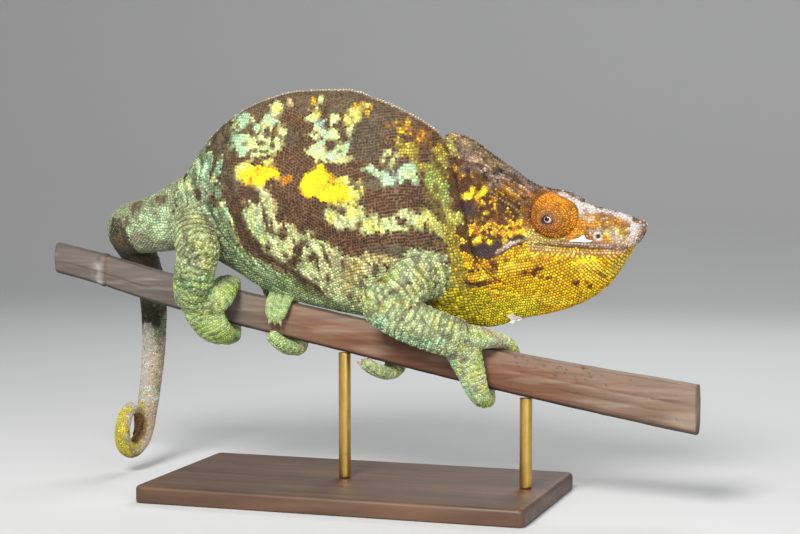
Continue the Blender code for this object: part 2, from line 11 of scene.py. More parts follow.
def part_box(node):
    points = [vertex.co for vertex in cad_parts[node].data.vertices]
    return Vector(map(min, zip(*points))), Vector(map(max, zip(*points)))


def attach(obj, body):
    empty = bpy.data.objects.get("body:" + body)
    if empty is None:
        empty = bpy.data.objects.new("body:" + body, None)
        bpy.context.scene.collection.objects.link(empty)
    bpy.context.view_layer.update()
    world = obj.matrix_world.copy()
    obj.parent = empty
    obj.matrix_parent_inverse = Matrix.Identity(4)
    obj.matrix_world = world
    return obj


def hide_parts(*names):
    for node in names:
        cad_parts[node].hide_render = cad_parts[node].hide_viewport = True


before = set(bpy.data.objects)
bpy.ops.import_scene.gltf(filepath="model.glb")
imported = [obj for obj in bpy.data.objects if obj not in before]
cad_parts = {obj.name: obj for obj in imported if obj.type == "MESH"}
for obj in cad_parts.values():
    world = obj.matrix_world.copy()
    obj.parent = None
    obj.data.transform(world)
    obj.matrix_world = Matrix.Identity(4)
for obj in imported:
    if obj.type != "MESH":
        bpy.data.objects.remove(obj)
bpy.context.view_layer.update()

# The animal is grown as one skin through the same lofts as the solids, a coat's depth inside
# them, with folds pressed into it. Its scales are small tiles in quincunx rows over that skin,
# and both are painted by one set of marks. Tables are in millimetres, in the solids' own frame.
MM = 0.001
VOXEL = 0.86
COAT = 0.42  # how far the skin lies inside the solids

# ---------------------------------------------------------------- sizes shared with the solids
GAP = 0.3
BASE_LENGTH, BASE_DEPTH, BASE_THICK = 224.0, 118.0, 10.0
ROD_RADIUS = 3.5
ROD_X = (-8.0, 98.0)
CANE_ENDS = (-188.0, 193.0)
CANE_NODE_X = -158.0
CANE = [
    (-230, 149.4, 17.2, 6.6), (-164, 136.2, 18.4, 6.8), (-119, 125.3, 19.6, 7.0),
    (-10, 104.0, 21.0, 7.6), (94, 85.2, 23.2, 8.4), (143, 78.2, 25.0, 8.8),
    (181, 73.4, 26.8, 9.2), (246, 63.6, 28.0, 9.6),
]
CANE_SECTION = [
    (-0.62, 0.97), (0.0, 1.0), (0.62, 0.96), (0.95, 0.62), (0.86, 0.2), (0.5, 0.0),
    (-0.55, 0.0), (-0.84, 0.08), (-0.9, 0.3), (-1.0, 0.5), (-0.86, 0.75),
]
TRUNK = [
    (0.0, -106, 138.5, -106, 180.5, 12.5, 13.0, 12.5, 10.5),
    (0.7, -97, 136.0, -96.5, 194.2, 14.0, 16.0, 14.5, 11.0),
    (1.4, -86, 132.5, -86.5, 205.6, 15.0, 18.5, 17.0, 12.0),
    (2.2, -73, 126.0, -74, 215.4, 16.5, 21.0, 19.0, 13.0),
    (3.1, -57, 117.0, -58, 223.4, 17.5, 23.0, 20.5, 13.5),
    (4.3, -33, 109.2, -33, 229.4, 18.0, 24.0, 21.5, 14.0),
    (5.5, -8, 104.4, -8, 229.9, 18.0, 24.0, 21.5, 14.0),
    (6.7, 17, 101.0, 17, 222.6, 17.5, 23.0, 20.5, 13.0),
    (8.0, 46, 98.8, 43, 209.2, 16.0, 20.5, 18.0, 11.5),
]
NECK = [
    (0.0, 46, 98.8, 43, 209.2, 16.0, 20.5, 18.0, 11.5),
    (0.5, 60, 98.6, 47, 205.8, 15.0, 19.0, 16.5, 9.5),
    (1.0, 74.5, 98.8, 50.4, 201.6, 14.0, 18.5, 16.0, 7.5),
    (1.5, 86.0, 100.6, 62.0, 192.0, 12.0, 16.5, 13.5, 6.0),
]
HEAD_SQUARE = (2.2, 3.0)
HEAD = [
    (0.0, 75.6, 98.6, 50.4, 203.0, 13.5, 20.5, 16.5, 5.0),
    (0.5, 79.0, 99.2, 55.4, 205.9, 14.0, 21.0, 17.0, 6.0),
    (1.2, 85.0, 101.0, 63.4, 203.2, 14.5, 21.3, 16.8, 7.2),
    (2.2, 97.0, 104.6, 80.0, 192.4, 15.0, 21.0, 16.0, 8.8),
    (3.2, 110.5, 107.4, 97.6, 180.6, 15.0, 20.0, 14.5, 10.5),
    (4.0, 122.0, 110.8, 108.6, 175.2, 14.5, 18.3, 13.0, 12.0),
    (4.8, 131.0, 114.8, 118.6, 173.0, 13.5, 16.5, 12.2, 12.4),
    (5.6, 139.6, 120.4, 130.6, 167.0, 12.0, 14.0, 11.4, 11.4),
    (6.6, 149.0, 129.4, 147.0, 162.6, 9.0, 11.0, 9.8, 10.0),
    (7.4, 155.0, 138.4, 157.6, 159.8, 6.6, 8.8, 8.4, 8.4),
    (7.85, 158.8, 145.6, 162.4, 156.8, 5.0, 6.4, 6.4, 6.0),
    (8.0, 161.0, 149.4, 163.2, 154.6, 2.4, 3.4, 3.4, 2.8),
]
EYE_AT, EYE_OUT, EYE_RADIUS = (116.2, 12.5, 161.5), (0.10, 1.0, 0.02), 13.4
EYE_PROFILE = [(-5.0, 1.0), (0.0, 1.0), (3.2, 0.965), (5.8, 0.86), (8.0, 0.68), (9.6, 0.44), (10.4, 0.2)]
GAZE = (-3.0, 0.0, -2.4)  # how far the lids' opening sits from the turret's own axis
TAIL = [
    (-100.0, 0.0, 160.4, 12.8, 21.2),
    (-109.0, 0.3, 157.6, 12.5, 19.8),
    (-120.0, 2.0, 154.2, 12.2, 17.6),
    (-134.0, 6.8, 151.4, 12.4, 16.2),
    (-148.5, 16.0, 149.2, 12.6, 15.2),
    (-156.8, 28.0, 146.0, 12.0, 13.4),
    (-157.8, 38.6, 137.6, 11.0, 11.8),
    (-153.8, 44.8, 125.5, 9.8, 10.2),
    (-149.6, 46.4, 108.0, 8.6, 8.8),
    (-148.5, 46.2, 88.0, 7.7, 7.8),
    (-149.2, 45.4, 68.0, 7.2, 7.3),
    (-150.9, 44.0, 48.5, 6.7, 6.8),
]
COIL_CENTRE = (-154.0, 28.0, 27.2)
COIL_AWAY = (0.054, 0.998, 0.0)
COIL_DOWN = (-0.10, 0.0, -0.995)
COIL = [
    (-18, 15.0, 6.4, 6.4), (0, 13.8, 6.2, 6.2), (40, 13.2, 5.8, 5.8), (90, 13.2, 5.4, 5.3),
    (140, 13.6, 5.1, 5.0), (180, 14.2, 4.8, 4.7), (225, 15.0, 4.4, 4.3), (260, 13.6, 3.9, 3.8),
    (290, 9.9, 3.4, 3.3), (320, 6.1, 2.9, 2.8), (355, 4.2, 2.4, 2.3), (400, 3.7, 1.9, 1.9),
    (440, 3.4, 1.3, 1.3),
]
LIMBS = {
    "foreleg_right": dict(
        side=-1, hint=(0, 0, 1),
        upper=[(51.5, 6.0, 131.5, 14.0, 11.0), (40.0, 21.5, 125.0, 14.0, 11.0), (24.5, 29.0, 112.0, 13.0, 10.8)],
        lower=[(24.5, 29.0, 112.0, 13.0, 10.8), (43.0, 28.0, 102.4, 12.6, 9.8), (63.0, 20.5, 94.6, 11.6, 8.8)],
    ),
    "foreleg_left": dict(
        side=1, hint=(1, 0, 0),
        upper=[(50.0, 6.0, 131.0, 13.4, 11.0), (41.0, 23.0, 126.0, 12.8, 10.8), (29.5, 31.5, 115.0, 12.0, 10.4)],
        lower=[(29.5, 31.5, 115.0, 12.0, 10.4), (23.5, 29.5, 104.0, 11.0, 9.2), (17.0, 22.5, 93.5, 9.8, 8.2)],
    ),
    "hindleg_right": dict(
        side=-1, hint=(1, 0, 0),
        upper=[(-97.0, 4.0, 160.0, 12.0, 10.0), (-92.5, 17.5, 151.0, 12.6, 11.0), (-85.5, 27.0, 139.0, 12.6, 11.2)],
        lower=[(-85.5, 27.0, 139.0, 12.6, 11.2), (-89.0, 26.5, 125.0, 12.2, 10.4), (-91.0, 22.5, 113.5, 12.0, 9.6)],
    ),
    "hindleg_left": dict(
        side=1, hint=(1, 0, 0),
        upper=[(-95.0, 4.0, 158.0, 12.0, 10.0), (-86.5, 19.5, 151.0, 12.4, 10.5), (-73.0, 29.5, 140.0, 11.8, 10.6)],
        lower=[(-73.0, 29.5, 140.0, 11.8, 10.6), (-63.5, 27.5, 126.0, 11.0, 9.6), (-54.0, 21.5, 110.5, 10.2, 8.8)],
    ),
}
FEET = {
    "forefoot_right": dict(
        side=-1,
        start=(63.0, 20.5, 94.6, 8.6, 7.0),
        upper=(2, [(73.5, 12.5, 1.25, 8.2, 6.0), (80.5, 4.0, 1.22, 6.6, 4.8), (85.5, -4.0, 1.13, 5.2, 4.0), (88.5, -10.6, 0.84, 4.0, 3.2), (90.0, -12.2, 0.50, 2.8, 2.6)]),
        lower=(3, [(66.8, 17.8, 0.88, 9.8, 6.4), (70.4, 14.6, 0.41, 8.4, 5.6), (73.6, 12.8, -0.03, 7.0, 5.0), (75.8, 6.8, -0.30, 5.8, 4.4), (75.4, -1.0, -0.28, 5.0, 3.8), (74.4, -6.6, -0.20, 4.2, 3.2)]),
    ),
    "forefoot_left": dict(
        side=1,
        start=(17.0, 22.5, 93.5, 7.4, 6.4),
        upper=(2, [(18.5, 15.0, 1.00, 7.6, 6.0), (19.5, 7.0, 1.18, 6.4, 4.8), (19.4, -0.5, 1.20, 5.4, 4.0), (18.8, -7.0, 1.07, 4.4, 3.2)]),
        lower=(3, [(17.5, 16.5, 0.42, 8.2, 6.0), (18.6, 13.0, -0.08, 7.0, 5.2), (17.4, 5.4, -0.30, 5.8, 4.4), (13.2, -3.6, -0.27, 5.4, 4.0), (8.4, -8.8, -0.12, 4.8, 3.5)]),
    ),
    "hindfoot_right": dict(
        side=-1,
        start=(-91.0, 22.5, 113.5, 9.4, 7.6),
        upper=(3, [(-82.8, 20.2, 0.62, 9.2, 6.8), (-78.0, 17.4, 0.84, 9.6, 6.8), (-77.2, 11.6, 1.04, 8.8, 5.6), (-79.0, 3.0, 1.15, 7.8, 4.4), (-81.0, -6.6, 1.08, 6.6, 4.0), (-81.6, -11.8, 0.70, 5.2, 3.4)]),
        lower=(2, [(-87.4, 18.4, 0.30, 11.6, 7.0), (-82.6, 14.6, -0.14, 11.4, 6.4), (-80.2, 7.2, -0.37, 10.4, 5.6), (-81.0, -1.5, -0.38, 8.8, 4.6), (-82.4, -9.0, -0.22, 7.0, 3.8)]),
    ),
    "hindfoot_left": dict(
        side=1,
        start=(-54.0, 21.5, 110.5, 8.2, 7.0),
        upper=(3, [(-50.0, 15.5, 0.98, 8.6, 6.0), (-47.0, 6.0, 1.14, 8.2, 4.4), (-45.4, -3.5, 1.08, 8.0, 3.6), (-45.0, -9.8, 0.88, 7.6, 3.4), (-45.4, -11.6, 0.62, 6.2, 3.0), (-45.6, -11.6, 0.50, 4.4, 2.6)]),
        lower=(2, [(-50.0, 17.0, 0.38, 8.8, 6.2), (-43.0, 13.6, -0.12, 7.4, 5.4), (-39.6, 5.4, -0.30, 6.4, 4.6), (-42.0, -4.6, -0.24, 5.8, 4.2), (-47.6, -9.6, -0.02, 4.8, 3.6)]),
    ),
}
CLAW_LENGTH, CLAW_RADIUS = 5.2, 1.25


# ---------------------------------------------------------------- curves and sections
def smooth(keys, t):
    """Monotone cubic through the rows of keys, whose first column is the parameter."""
    keys = np.asarray(keys, float)
    x, y = keys[:, 0], keys[:, 1:]
    t = np.clip(np.atleast_1d(np.asarray(t, float)), x[0], x[-1])
    h = np.diff(x)[:, None]
    d = np.diff(y, axis=0) / h
    m = np.zeros_like(y)
    m[0], m[-1] = d[0], d[-1]
    for i in range(1, len(x) - 1):
        same = d[i - 1] * d[i] > 0
        w1, w2 = 2 * h[i] + h[i - 1], h[i] + 2 * h[i - 1]
        with np.errstate(divide="ignore", invalid="ignore"):
            mean = (w1 + w2) / (w1 / d[i - 1] + w2 / d[i])
        m[i] = np.where(same, mean, 0.0)
    i = np.clip(np.searchsorted(x, t, side="right") - 1, 0, len(x) - 2)
    s = ((t - x[i]) / (x[i + 1] - x[i]))[:, None]
    hh = h[i]
    return (
        (1 + 2 * s) * (1 - s) ** 2 * y[i]
        + s * (1 - s) ** 2 * hh * m[i]
        + s * s * (3 - 2 * s) * y[i + 1]
        + s * s * (s - 1) * hh * m[i + 1]
    )


def catmull(points, count):
    """A smooth path through points (rows), with every column carried along, evenly spaced."""
    p = np.asarray(points, float)
    step = np.sqrt(np.linalg.norm(np.diff(p[:, :3], axis=0), axis=1))
    k = np.concatenate([[0], np.cumsum(step)])
    m = np.zeros_like(p)
    m[1:-1] = (
        (p[1:-1] - p[:-2]) / np.diff(k)[:-1, None] * np.diff(k)[1:, None]
        + (p[2:] - p[1:-1]) / np.diff(k)[1:, None] * np.diff(k)[:-1, None]
    ) / (k[2:] - k[:-2])[:, None]
    m[0] = 2 * (p[1] - p[0]) / (k[1] - k[0]) - m[1]
    m[-1] = 2 * (p[-1] - p[-2]) / (k[-1] - k[-2]) - m[-2]
    t = np.linspace(0, k[-1], 1200)
    i = np.clip(np.searchsorted(k, t, side="right") - 1, 0, len(k) - 2)
    h = (k[i + 1] - k[i])[:, None]
    s = ((t - k[i]) / (k[i + 1] - k[i]))[:, None]
    fine = (
        (1 + 2 * s) * (1 - s) ** 2 * p[i]
        + s * (1 - s) ** 2 * h * m[i]
        + s * s * (3 - 2 * s) * p[i + 1]
        + s * s * (s - 1) * h * m[i + 1]
    )
    along = np.concatenate([[0], np.cumsum(np.linalg.norm(np.diff(fine[:, :3], axis=0), axis=1))])
    want = np.linspace(0, along[-1], count)
    return np.stack([np.interp(want, along, fine[:, c]) for c in range(p.shape[1])], axis=1)


def unit(v):
    v = np.asarray(v, float)
    return v / np.maximum(np.linalg.norm(v, axis=-1, keepdims=True), 1e-12)


def upright(table, count, sides, grow=0.0, square=(2.2, 2.3)):
    """Closed sections between keel points and crest points, with four half widths up each."""
    t = np.linspace(table[0][0], table[-1][0], count)
    angle = np.linspace(0, 2 * math.pi, sides, endpoint=False) - math.pi / 2
    power = 2 / np.where(np.sin(angle) < 0, square[0], square[1])
    s = np.sign(np.sin(angle)) * np.abs(np.sin(angle)) ** power
    c = np.sign(np.cos(angle)) * np.abs(np.cos(angle)) ** power
    v = 0.5 + 0.5 * s
    rings = []
    for bx, bz, tx, tz, w0, w1, w2, w3 in smooth(table, t):
        up = np.array([tx - bx, 0.0, tz - bz])
        tall = np.linalg.norm(up)
        up /= tall
        width = smooth([(0.04, w0), (0.35, w1), (0.68, w2), (0.96, w3)], v)[:, 0]
        ring = np.array([bx, 0.0, bz]) + (v * tall + grow * s)[:, None] * up
        ring[:, 1] += c * np.maximum(width + grow, 0.3)
        rings.append(ring)
    return np.array(rings)


def tube_rings(path, sides, hint, grow=0.0):
    """Oval sections along path rows (x, y, z, a, b): a lies along hint, b across it."""
    p = path[:, :3]
    t = unit(np.gradient(p, axis=0))
    angle = np.linspace(0, 2 * math.pi, sides, endpoint=False)
    c, s = np.cos(angle), np.sin(angle)
    rings = []
    hint = np.asarray(hint, float)
    for i in range(len(p)):
        side = hint - t[i] * (hint @ t[i])
        side /= np.linalg.norm(side)
        normal = np.cross(t[i], side)
        hint = side
        a, b = (max(path[i, k] + grow, path[i, k] * 0.55) for k in (3, 4))
        rings.append(p[i] + (c * a)[:, None] * side + (s * b)[:, None] * normal)
    return np.array(rings)


def cane_at(x):
    """Top edge z, height and half depth of the cane at x."""
    return smooth(CANE, x)[0]


def wrapped_rings(path, sides, grow=0.0):
    """Oval sections of a toe bundle: a lies across it, b points away from the cane."""
    t = unit(np.gradient(path[:, :3], axis=0))
    angle = np.linspace(0, 2 * math.pi, sides, endpoint=False)
    rings = []
    for i, row in enumerate(path):
        top, tall, _ = cane_at(row[0])
        out = row[:3] - np.array([row[0], 0.0, top - tall / 2])
        out -= t[i] * (out @ t[i])
        out /= np.linalg.norm(out)
        side = np.cross(t[i], out)
        a, b = (max(row[k] + grow, row[k] * 0.55) for k in (3, 4))
        rings.append(row[:3] + (np.cos(angle) * a)[:, None] * side + (np.sin(angle) * b)[:, None] * out)
    return np.array(rings)


def rounded(path, start=True, end=True, steps=8):
    """Adds shrinking sections past either end of a tube's path, so that it ends in a dome."""
    out = [path]
    for there, at, inner in ((start, 0, 1), (end, -1, -2)):
        if not there:
            continue
        away = unit(path[at, :3] - path[inner, :3])
        cap = []
        for k in range(1, steps + 1):
            a = k / (steps + 0.35) * math.pi / 2
            row = path[at].copy()
            row[:3] += away * min(row[3], row[4]) * math.sin(a)
            row[3:5] *= math.cos(a)
            cap.append(row)
        out = [np.array(cap[::-1])] + out if at == 0 else out + [np.array(cap)]
    return np.concatenate(out)


def coil_points():
    centre, away, down = (np.array(v, float) for v in (COIL_CENTRE, COIL_AWAY, COIL_DOWN))
    away /= np.linalg.norm(away)
    down -= away * (down @ away)
    down /= np.linalg.norm(down)
    rows = []
    for turn, radius, wide, high in COIL:
        a = math.radians(turn)
        rows.append([*(centre + radius * (math.cos(a) * away + math.sin(a) * down)), wide, high])
    return rows


def flipped(rows, side):
    return np.array([[r[0], side * r[1], *r[2:]] for r in rows], float)


def cane_point(side, row):
    x, out, share, wide, thick = row
    top, tall, _ = cane_at(x)
    return [x, side * out, top - tall + share * tall, wide, thick]


# ---------------------------------------------------------------- noise
def lattice_value(i, j, k, seed):
    n = (i * 73856093) ^ (j * 19349663) ^ (k * 83492791) ^ (seed * 2654435761 & 0x7FFFFFFF)
    n = (n ^ (n >> 13)) & 0x7FFFFFFF
    n = (n * 1274126177) & 0x7FFFFFFFFFFF
    n = n ^ (n >> 16)
    return (n & 0xFFFFF) / 1048575.0


def noise(p, size, seed=0, octaves=2, stretch=(1, 1, 1)):
    """Smooth value noise from 0 to 1 with features about size mm across."""
    total, weight = 0.0, 0.0
    q0 = np.asarray(p, float) / (np.asarray(stretch, float) * size)
    for o in range(octaves):
        q = q0 * 2**o + 31.7 * o + 11.3 * seed
        i = np.floor(q).astype(np.int64)
        f = q - i
        f = f * f * (3 - 2 * f)
        got = 0.0
        for a in (0, 1):
            for b in (0, 1):
                for c in (0, 1):
                    w = (
                        (f[:, 0] if a else 1 - f[:, 0])
                        * (f[:, 1] if b else 1 - f[:, 1])
                        * (f[:, 2] if c else 1 - f[:, 2])
                    )
                    got = got + w * lattice_value(i[:, 0] + a, i[:, 1] + b, i[:, 2] + c, seed + o)
        total = total + got * 0.5**o
        weight += 0.5**o
    return total / weight


def step(x, low, high):
    s = np.clip((x - low) / (high - low), 0, 1)
    return s * s * (3 - 2 * s)


def creases(p, size, seed, angle=0.0, along=1.0, width=0.24):
    """1 on wandering lines, 0 away from them; they run at an angle in x and z, drawn out along it."""
    a = math.radians(angle)
    u = p[:, 0] * math.cos(a) + p[:, 2] * math.sin(a)
    v = p[:, 2] * math.cos(a) - p[:, 0] * math.sin(a)
    n = noise(np.stack([u / along, p[:, 1] / (0.5 + 0.5 * along), v], 1), size, seed, 2)
    return np.clip(1 - np.abs(2 * n - 1) / width, 0, 1)


def brushed(p, size, seed, angle, along=3.0):
    """Noise drawn out along an angle in x and z, from -0.5 to 0.5."""
    a = math.radians(angle)
    u = p[:, 0] * math.cos(a) + p[:, 2] * math.sin(a)
    v = p[:, 2] * math.cos(a) - p[:, 0] * math.sin(a)
    return noise(np.stack([u / along, p[:, 1] / along, v], 1), size, seed, 2) - 0.5


# ---------------------------------------------------------------- meshes from arrays
def mesh_piece(name, co, faces, tint=None, uv=None, material=None, body="root", smooth_shade=True):
    """An object from vertices in mm and a list of face arrays, each of one corner count."""
    me = bpy.data.meshes.new(name)
    me.vertices.add(len(co))
    me.vertices.foreach_set("co", (np.asarray(co) * MM).astype(np.float32).ravel())
    corners = np.concatenate([np.asarray(f).ravel() for f in faces]).astype(np.int32)
    counts = np.concatenate([np.full(len(f), f.shape[1]) for f in faces])
    starts = np.concatenate([[0], np.cumsum(counts)[:-1]]).astype(np.int32)
    me.loops.add(len(corners))
    me.loops.foreach_set("vertex_index", corners)
    me.polygons.add(len(counts))
    me.polygons.foreach_set("loop_start", starts)
    me.polygons.foreach_set("use_smooth", np.full(len(counts), smooth_shade))
    me.update(calc_edges=True)
    if tint is not None:
        layer = me.color_attributes.new(name="Tint", type="FLOAT_COLOR", domain="POINT")
        layer.data.foreach_set("color", np.concatenate([tint, np.ones((len(tint), 1))], 1).astype(np.float32).ravel())
    if uv is not None:
        layer = me.uv_layers.new(name="OFBake")
        layer.data.foreach_set("uv", uv.astype(np.float32).ravel())
    obj = bpy.data.objects.new(name, me)
    bpy.context.scene.collection.objects.link(obj)
    if material is not None:
        me.materials.append(material)
    if body:
        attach(obj, body)
    return obj


def loft(rings, caps=True):
    """Vertices and faces of a closed loft through rings of equally many points."""
    m, k = rings.shape[:2]
    co = rings.reshape(-1, 3)
    i, j = np.meshgrid(np.arange(m - 1), np.arange(k), indexing="ij")
    i, j = i.ravel(), j.ravel()
    jj = (j + 1) % k
    quads = np.stack([i * k + j, i * k + jj, (i + 1) * k + jj, (i + 1) * k + j], 1)
    faces = [quads]
    if caps:
        co = np.concatenate([co, rings[0].mean(0)[None], rings[-1].mean(0)[None]])
        j = np.arange(k)
        jj = (j + 1) % k
        first, last = m * k, m * k + 1
        faces.append(np.concatenate([
            np.stack([jj, j, np.full(k, first)], 1),
            np.stack([(m - 1) * k + j, (m - 1) * k + jj, np.full(k, last)], 1),
        ]))
    quads_volume = 0.0
    for f in faces:
        a = co[f[:, 0]]
        for n in range(1, f.shape[1] - 1):
            quads_volume += np.einsum("ij,ij->i", a, np.cross(co[f[:, n]], co[f[:, n + 1]])).sum()
    if quads_volume < 0:
        faces = [f[:, ::-1] for f in faces]
    return co, faces


def joined(parts):
    """Joins (vertices, faces) pairs into one."""
    co, faces, base = [], {}, 0
    for c, fs in parts:
        for f in fs:
            faces.setdefault(f.shape[1], []).append(f + base)
        co.append(c)
        base += len(c)
    return np.concatenate(co), [np.concatenate(faces[k]) for k in sorted(faces)]


# ---------------------------------------------------------------- the lofts of flesh
def shifted(table, by):
    return [(r[0], r[1] + by, r[2], r[3] + by, *r[4:]) for r in table]


body_table = [(r[0], *r[1:]) for r in TRUNK] + [(8.0 + r[0] * 1.3, *shifted([r], GAP)[0][1:]) for r in NECK[1:]]
body_rings = upright(body_table, 190, 160, -COAT)
head_rings = upright(shifted(HEAD, 2 * GAP), 150, 160, -COAT, HEAD_SQUARE)
whole_tail = catmull(TAIL + coil_points(), 520)
tail_rings = tube_rings(rounded(whole_tail, start=False), 96, (0, 1, 0), -COAT)

lofts = {"body": body_rings, "head": head_rings, "tail": tail_rings}
bundle_paths = {}
for limb, spec in LIMBS.items():
    side = spec["side"]
    rows = {w: catmull(flipped(spec[w], side), 60) for w in ("upper", "lower")}
    lofts[f"{limb}_upper"] = tube_rings(rounded(rows["upper"], start=False), 72, spec["hint"], -COAT)
    lofts[f"{limb}_lower"] = tube_rings(rounded(rows["lower"]), 72, spec["hint"], -COAT)
    foot_name = limb.replace("leg", "foot")
    foot = FEET[foot_name]
    start = np.array([[foot["start"][0], side * foot["start"][1], *foot["start"][2:]]])
    up_leg = unit(rows["lower"][-9, :3] - start[0, :3])
    for which in ("upper", "lower"):
        points = np.concatenate([start, [cane_point(side, r) for r in foot[which][1]]])
        path = catmull(points, 64)
        bundle_paths[f"{foot_name}_{which}"] = (catmull(points, 9), foot[which][0], side)
        lead = path[:1].copy()
        lead[0, :3] += up_leg * 3.0
        lead[0, 3:5] *= 0.6
        lofts[f"{foot_name}_{which}"] = wrapped_rings(rounded(np.concatenate([lead, path]), start=False), 56, -0.3)

FLESH_NODES = ["head", "neck", "trunk", "tail_base", "tail_bend", "tail_hanging", "tail_coil_outer", "tail_coil_tip"]
FLESH_NODES += [f"{limb}_{w}" for limb in LIMBS for w in ("upper", "lower")]
FLESH_NODES += [f"{foot}_{w}" for foot in FEET for w in ("upper", "lower")]


# ---------------------------------------------------------------- one skin from all of them
def skinned():
    co, faces = joined([loft(r) for r in lofts.values()])
    rough = mesh_piece("skin_rough", co, faces, body=None)
    remesh = rough.modifiers.new("one_skin", "REMESH")
    remesh.mode, remesh.voxel_size, remesh.adaptivity = "VOXEL", VOXEL * MM, 0.0
    bpy.context.view_layer.update()
    done = rough.evaluated_get(bpy.context.evaluated_depsgraph_get()).to_mesh()
    v = np.zeros(len(done.vertices) * 3)
    done.vertices.foreach_get("co", v)
    corners = np.zeros(len(done.loops), np.int32)
    done.loops.foreach_get("vertex_index", corners)
    counts = np.zeros(len(done.polygons), np.int32)
    done.polygons.foreach_get("loop_total", counts)
    assert (counts == 4).all()
    bpy.data.objects.remove(rough)
    return v.reshape(-1, 3) / MM, corners.reshape(-1, 4)


skin_co, skin_quads = skinned()
edges = np.sort(np.concatenate([skin_quads[:, [0, 1]], skin_quads[:, [1, 2]], skin_quads[:, [2, 3]], skin_quads[:, [3, 0]]]), 1)
edges = np.unique(edges, axis=0)
degree = np.bincount(edges.ravel(), minlength=len(skin_co)).astype(float)


def averaged(values):
    """Each vertex's mean over its neighbours."""
    out = np.empty_like(values)
    flat = values.reshape(len(values), -1)
    result = out.reshape(len(values), -1)
    for c in range(flat.shape[1]):
        col = flat[:, c]
        total = np.bincount(edges[:, 0], col[edges[:, 1]], len(col)) + np.bincount(edges[:, 1], col[edges[:, 0]], len(col))
        result[:, c] = total / degree
    return out


def skin_normals(co):
    a, b, c, d = (co[skin_quads[:, k]] for k in range(4))
    n = np.cross(c - a, d - b)
    out = np.zeros_like(co)
    for k in range(4):
        for axis in range(3):
            out[:, axis] += np.bincount(skin_quads[:, k], n[:, axis], len(co))
    return unit(out)


for _ in range(5):  # takes the voxel steps out without shrinking
    skin_co = skin_co + 0.55 * (averaged(skin_co) - skin_co)
    skin_co = skin_co - 0.50 * (averaged(skin_co) - skin_co)

# which loft each vertex belongs to, and how far along it
loft_names = list(lofts)
samples, owners, alongs = [], [], []
for n, name in enumerate(loft_names):
    rings = lofts[name]
    pick = rings[:: max(1, len(rings) // 90), ::4]
    gone = np.concatenate([[0], np.cumsum(np.linalg.norm(np.diff(rings.mean(1), axis=0), axis=1))])
    gone = gone[:: max(1, len(rings) // 90)]
    samples.append(pick.reshape(-1, 3))
    owners.append(np.full(pick.shape[0] * pick.shape[1], n))
    alongs.append(np.repeat(gone, pick.shape[1]))
samples, owners, alongs = (np.concatenate(x) for x in (samples, owners, alongs))
tree = KDTree(len(samples))
for n, p in enumerate(samples.tolist()):
    tree.insert(p, n)
tree.balance()
nearest = np.array([tree.find(p)[1] for p in skin_co.tolist()])
owner, along = owners[nearest], alongs[nearest]

REGIONS = ("body", "head", "tail", "leg", "foot")
region_of = np.array([
    REGIONS.index("body" if n == "body" else "head" if n == "head" else "tail" if n == "tail" else "foot" if "foot" in n else "leg")
    for n in loft_names
])
shares = np.eye(len(REGIONS))[region_of[owner]]
for _ in range(9):
    shares = averaged(shares)

# fillets where limbs, tail and toes grow out, found as hollow creases
normals = skin_normals(skin_co)
hollow = np.einsum("ij,ij->i", averaged(skin_co) - skin_co, normals) / VOXEL
for _ in range(3):
    hollow = averaged(hollow[:, None])[:, 0]
blend = step(hollow, 0.012, 0.05)
blend[(skin_co[:, 2] < 48) & (skin_co[:, 0] < -120)] = 0
for _ in range(5):
    blend = np.maximum(blend, averaged(blend[:, None])[:, 0])
for _ in range(34):
    skin_co = skin_co + (0.6 * blend)[:, None] * (averaged(skin_co) - skin_co)
normals = skin_normals(skin_co)


# ---------------------------------------------------------------- folds, pressed into the skin
def line_distance(x, z, line):
    """Distance from a line of (x, z) points, its side (+1 to the left of its way) and share along."""
    line = np.asarray(line, float)
    best = np.full(len(x), 1e9)
    side = np.ones(len(x))
    share = np.zeros(len(x))
    lengths = np.linalg.norm(np.diff(line[:, :2], axis=0), axis=1)
    gone = np.concatenate([[0], np.cumsum(lengths)]) / lengths.sum()
    for i, (a, b) in enumerate(zip(line[:-1, :2], line[1:, :2])):
        d = b - a
        t = np.clip(((x - a[0]) * d[0] + (z - a[1]) * d[1]) / (d @ d), 0, 1)
        px, pz = x - a[0] - t * d[0], z - a[1] - t * d[1]
        far = np.hypot(px, pz)
        closer = far < best
        best = np.where(closer, far, best)
        side = np.where(closer, np.sign(d[0] * pz - d[1] * px + 1e-12), side)
        share = np.where(closer, gone[i] + t * (gone[i + 1] - gone[i]), share)
    return best, side, share


def ends_fade(share, first=0.1, last=0.1):
    return step(share, 0, first + 1e-6) * step(1 - share, 0, last + 1e-6) if first or last else np.ones_like(share)


HEAD_REAR = [(50.9, 206.0), (51.6, 200.0), (56.8, 190.8), (61.1, 180.8), (64.1, 171.8), (67.3, 161.9), (70.3, 152.8), (71.6, 145.4), (73.4, 139.7), (77.6, 134.0), (84.6, 127.4), (94.6, 122.6), (104.0, 120.6)]
MOUTH = [(160.5, 146.0), (157.0, 144.4), (152.0, 143.6), (143.0, 143.9), (130.0, 144.4), (120.0, 145.0), (110.0, 146.0), (102.0, 146.4), (95.0, 144.8), (90.0, 141.8), (86.6, 139.4)]
MOUTH_RIDGE = [(85.4, 141.2), (89.0, 143.6), (94.0, 146.9), (100.0, 148.4), (106.5, 148.2)]
LATERAL_CREST = [(72.0, 186.0), (78.0, 178.5), (82.0, 173.8), (88.0, 169.2), (93.0, 166.3), (97.0, 163.6), (99.4, 160.2), (100.6, 155.0), (103.0, 150.8)]
CASQUE_EDGE = [(56.0, 199.0), (63.0, 190.5), (70.0, 186.5), (77.0, 180.5), (82.0, 174.5)]
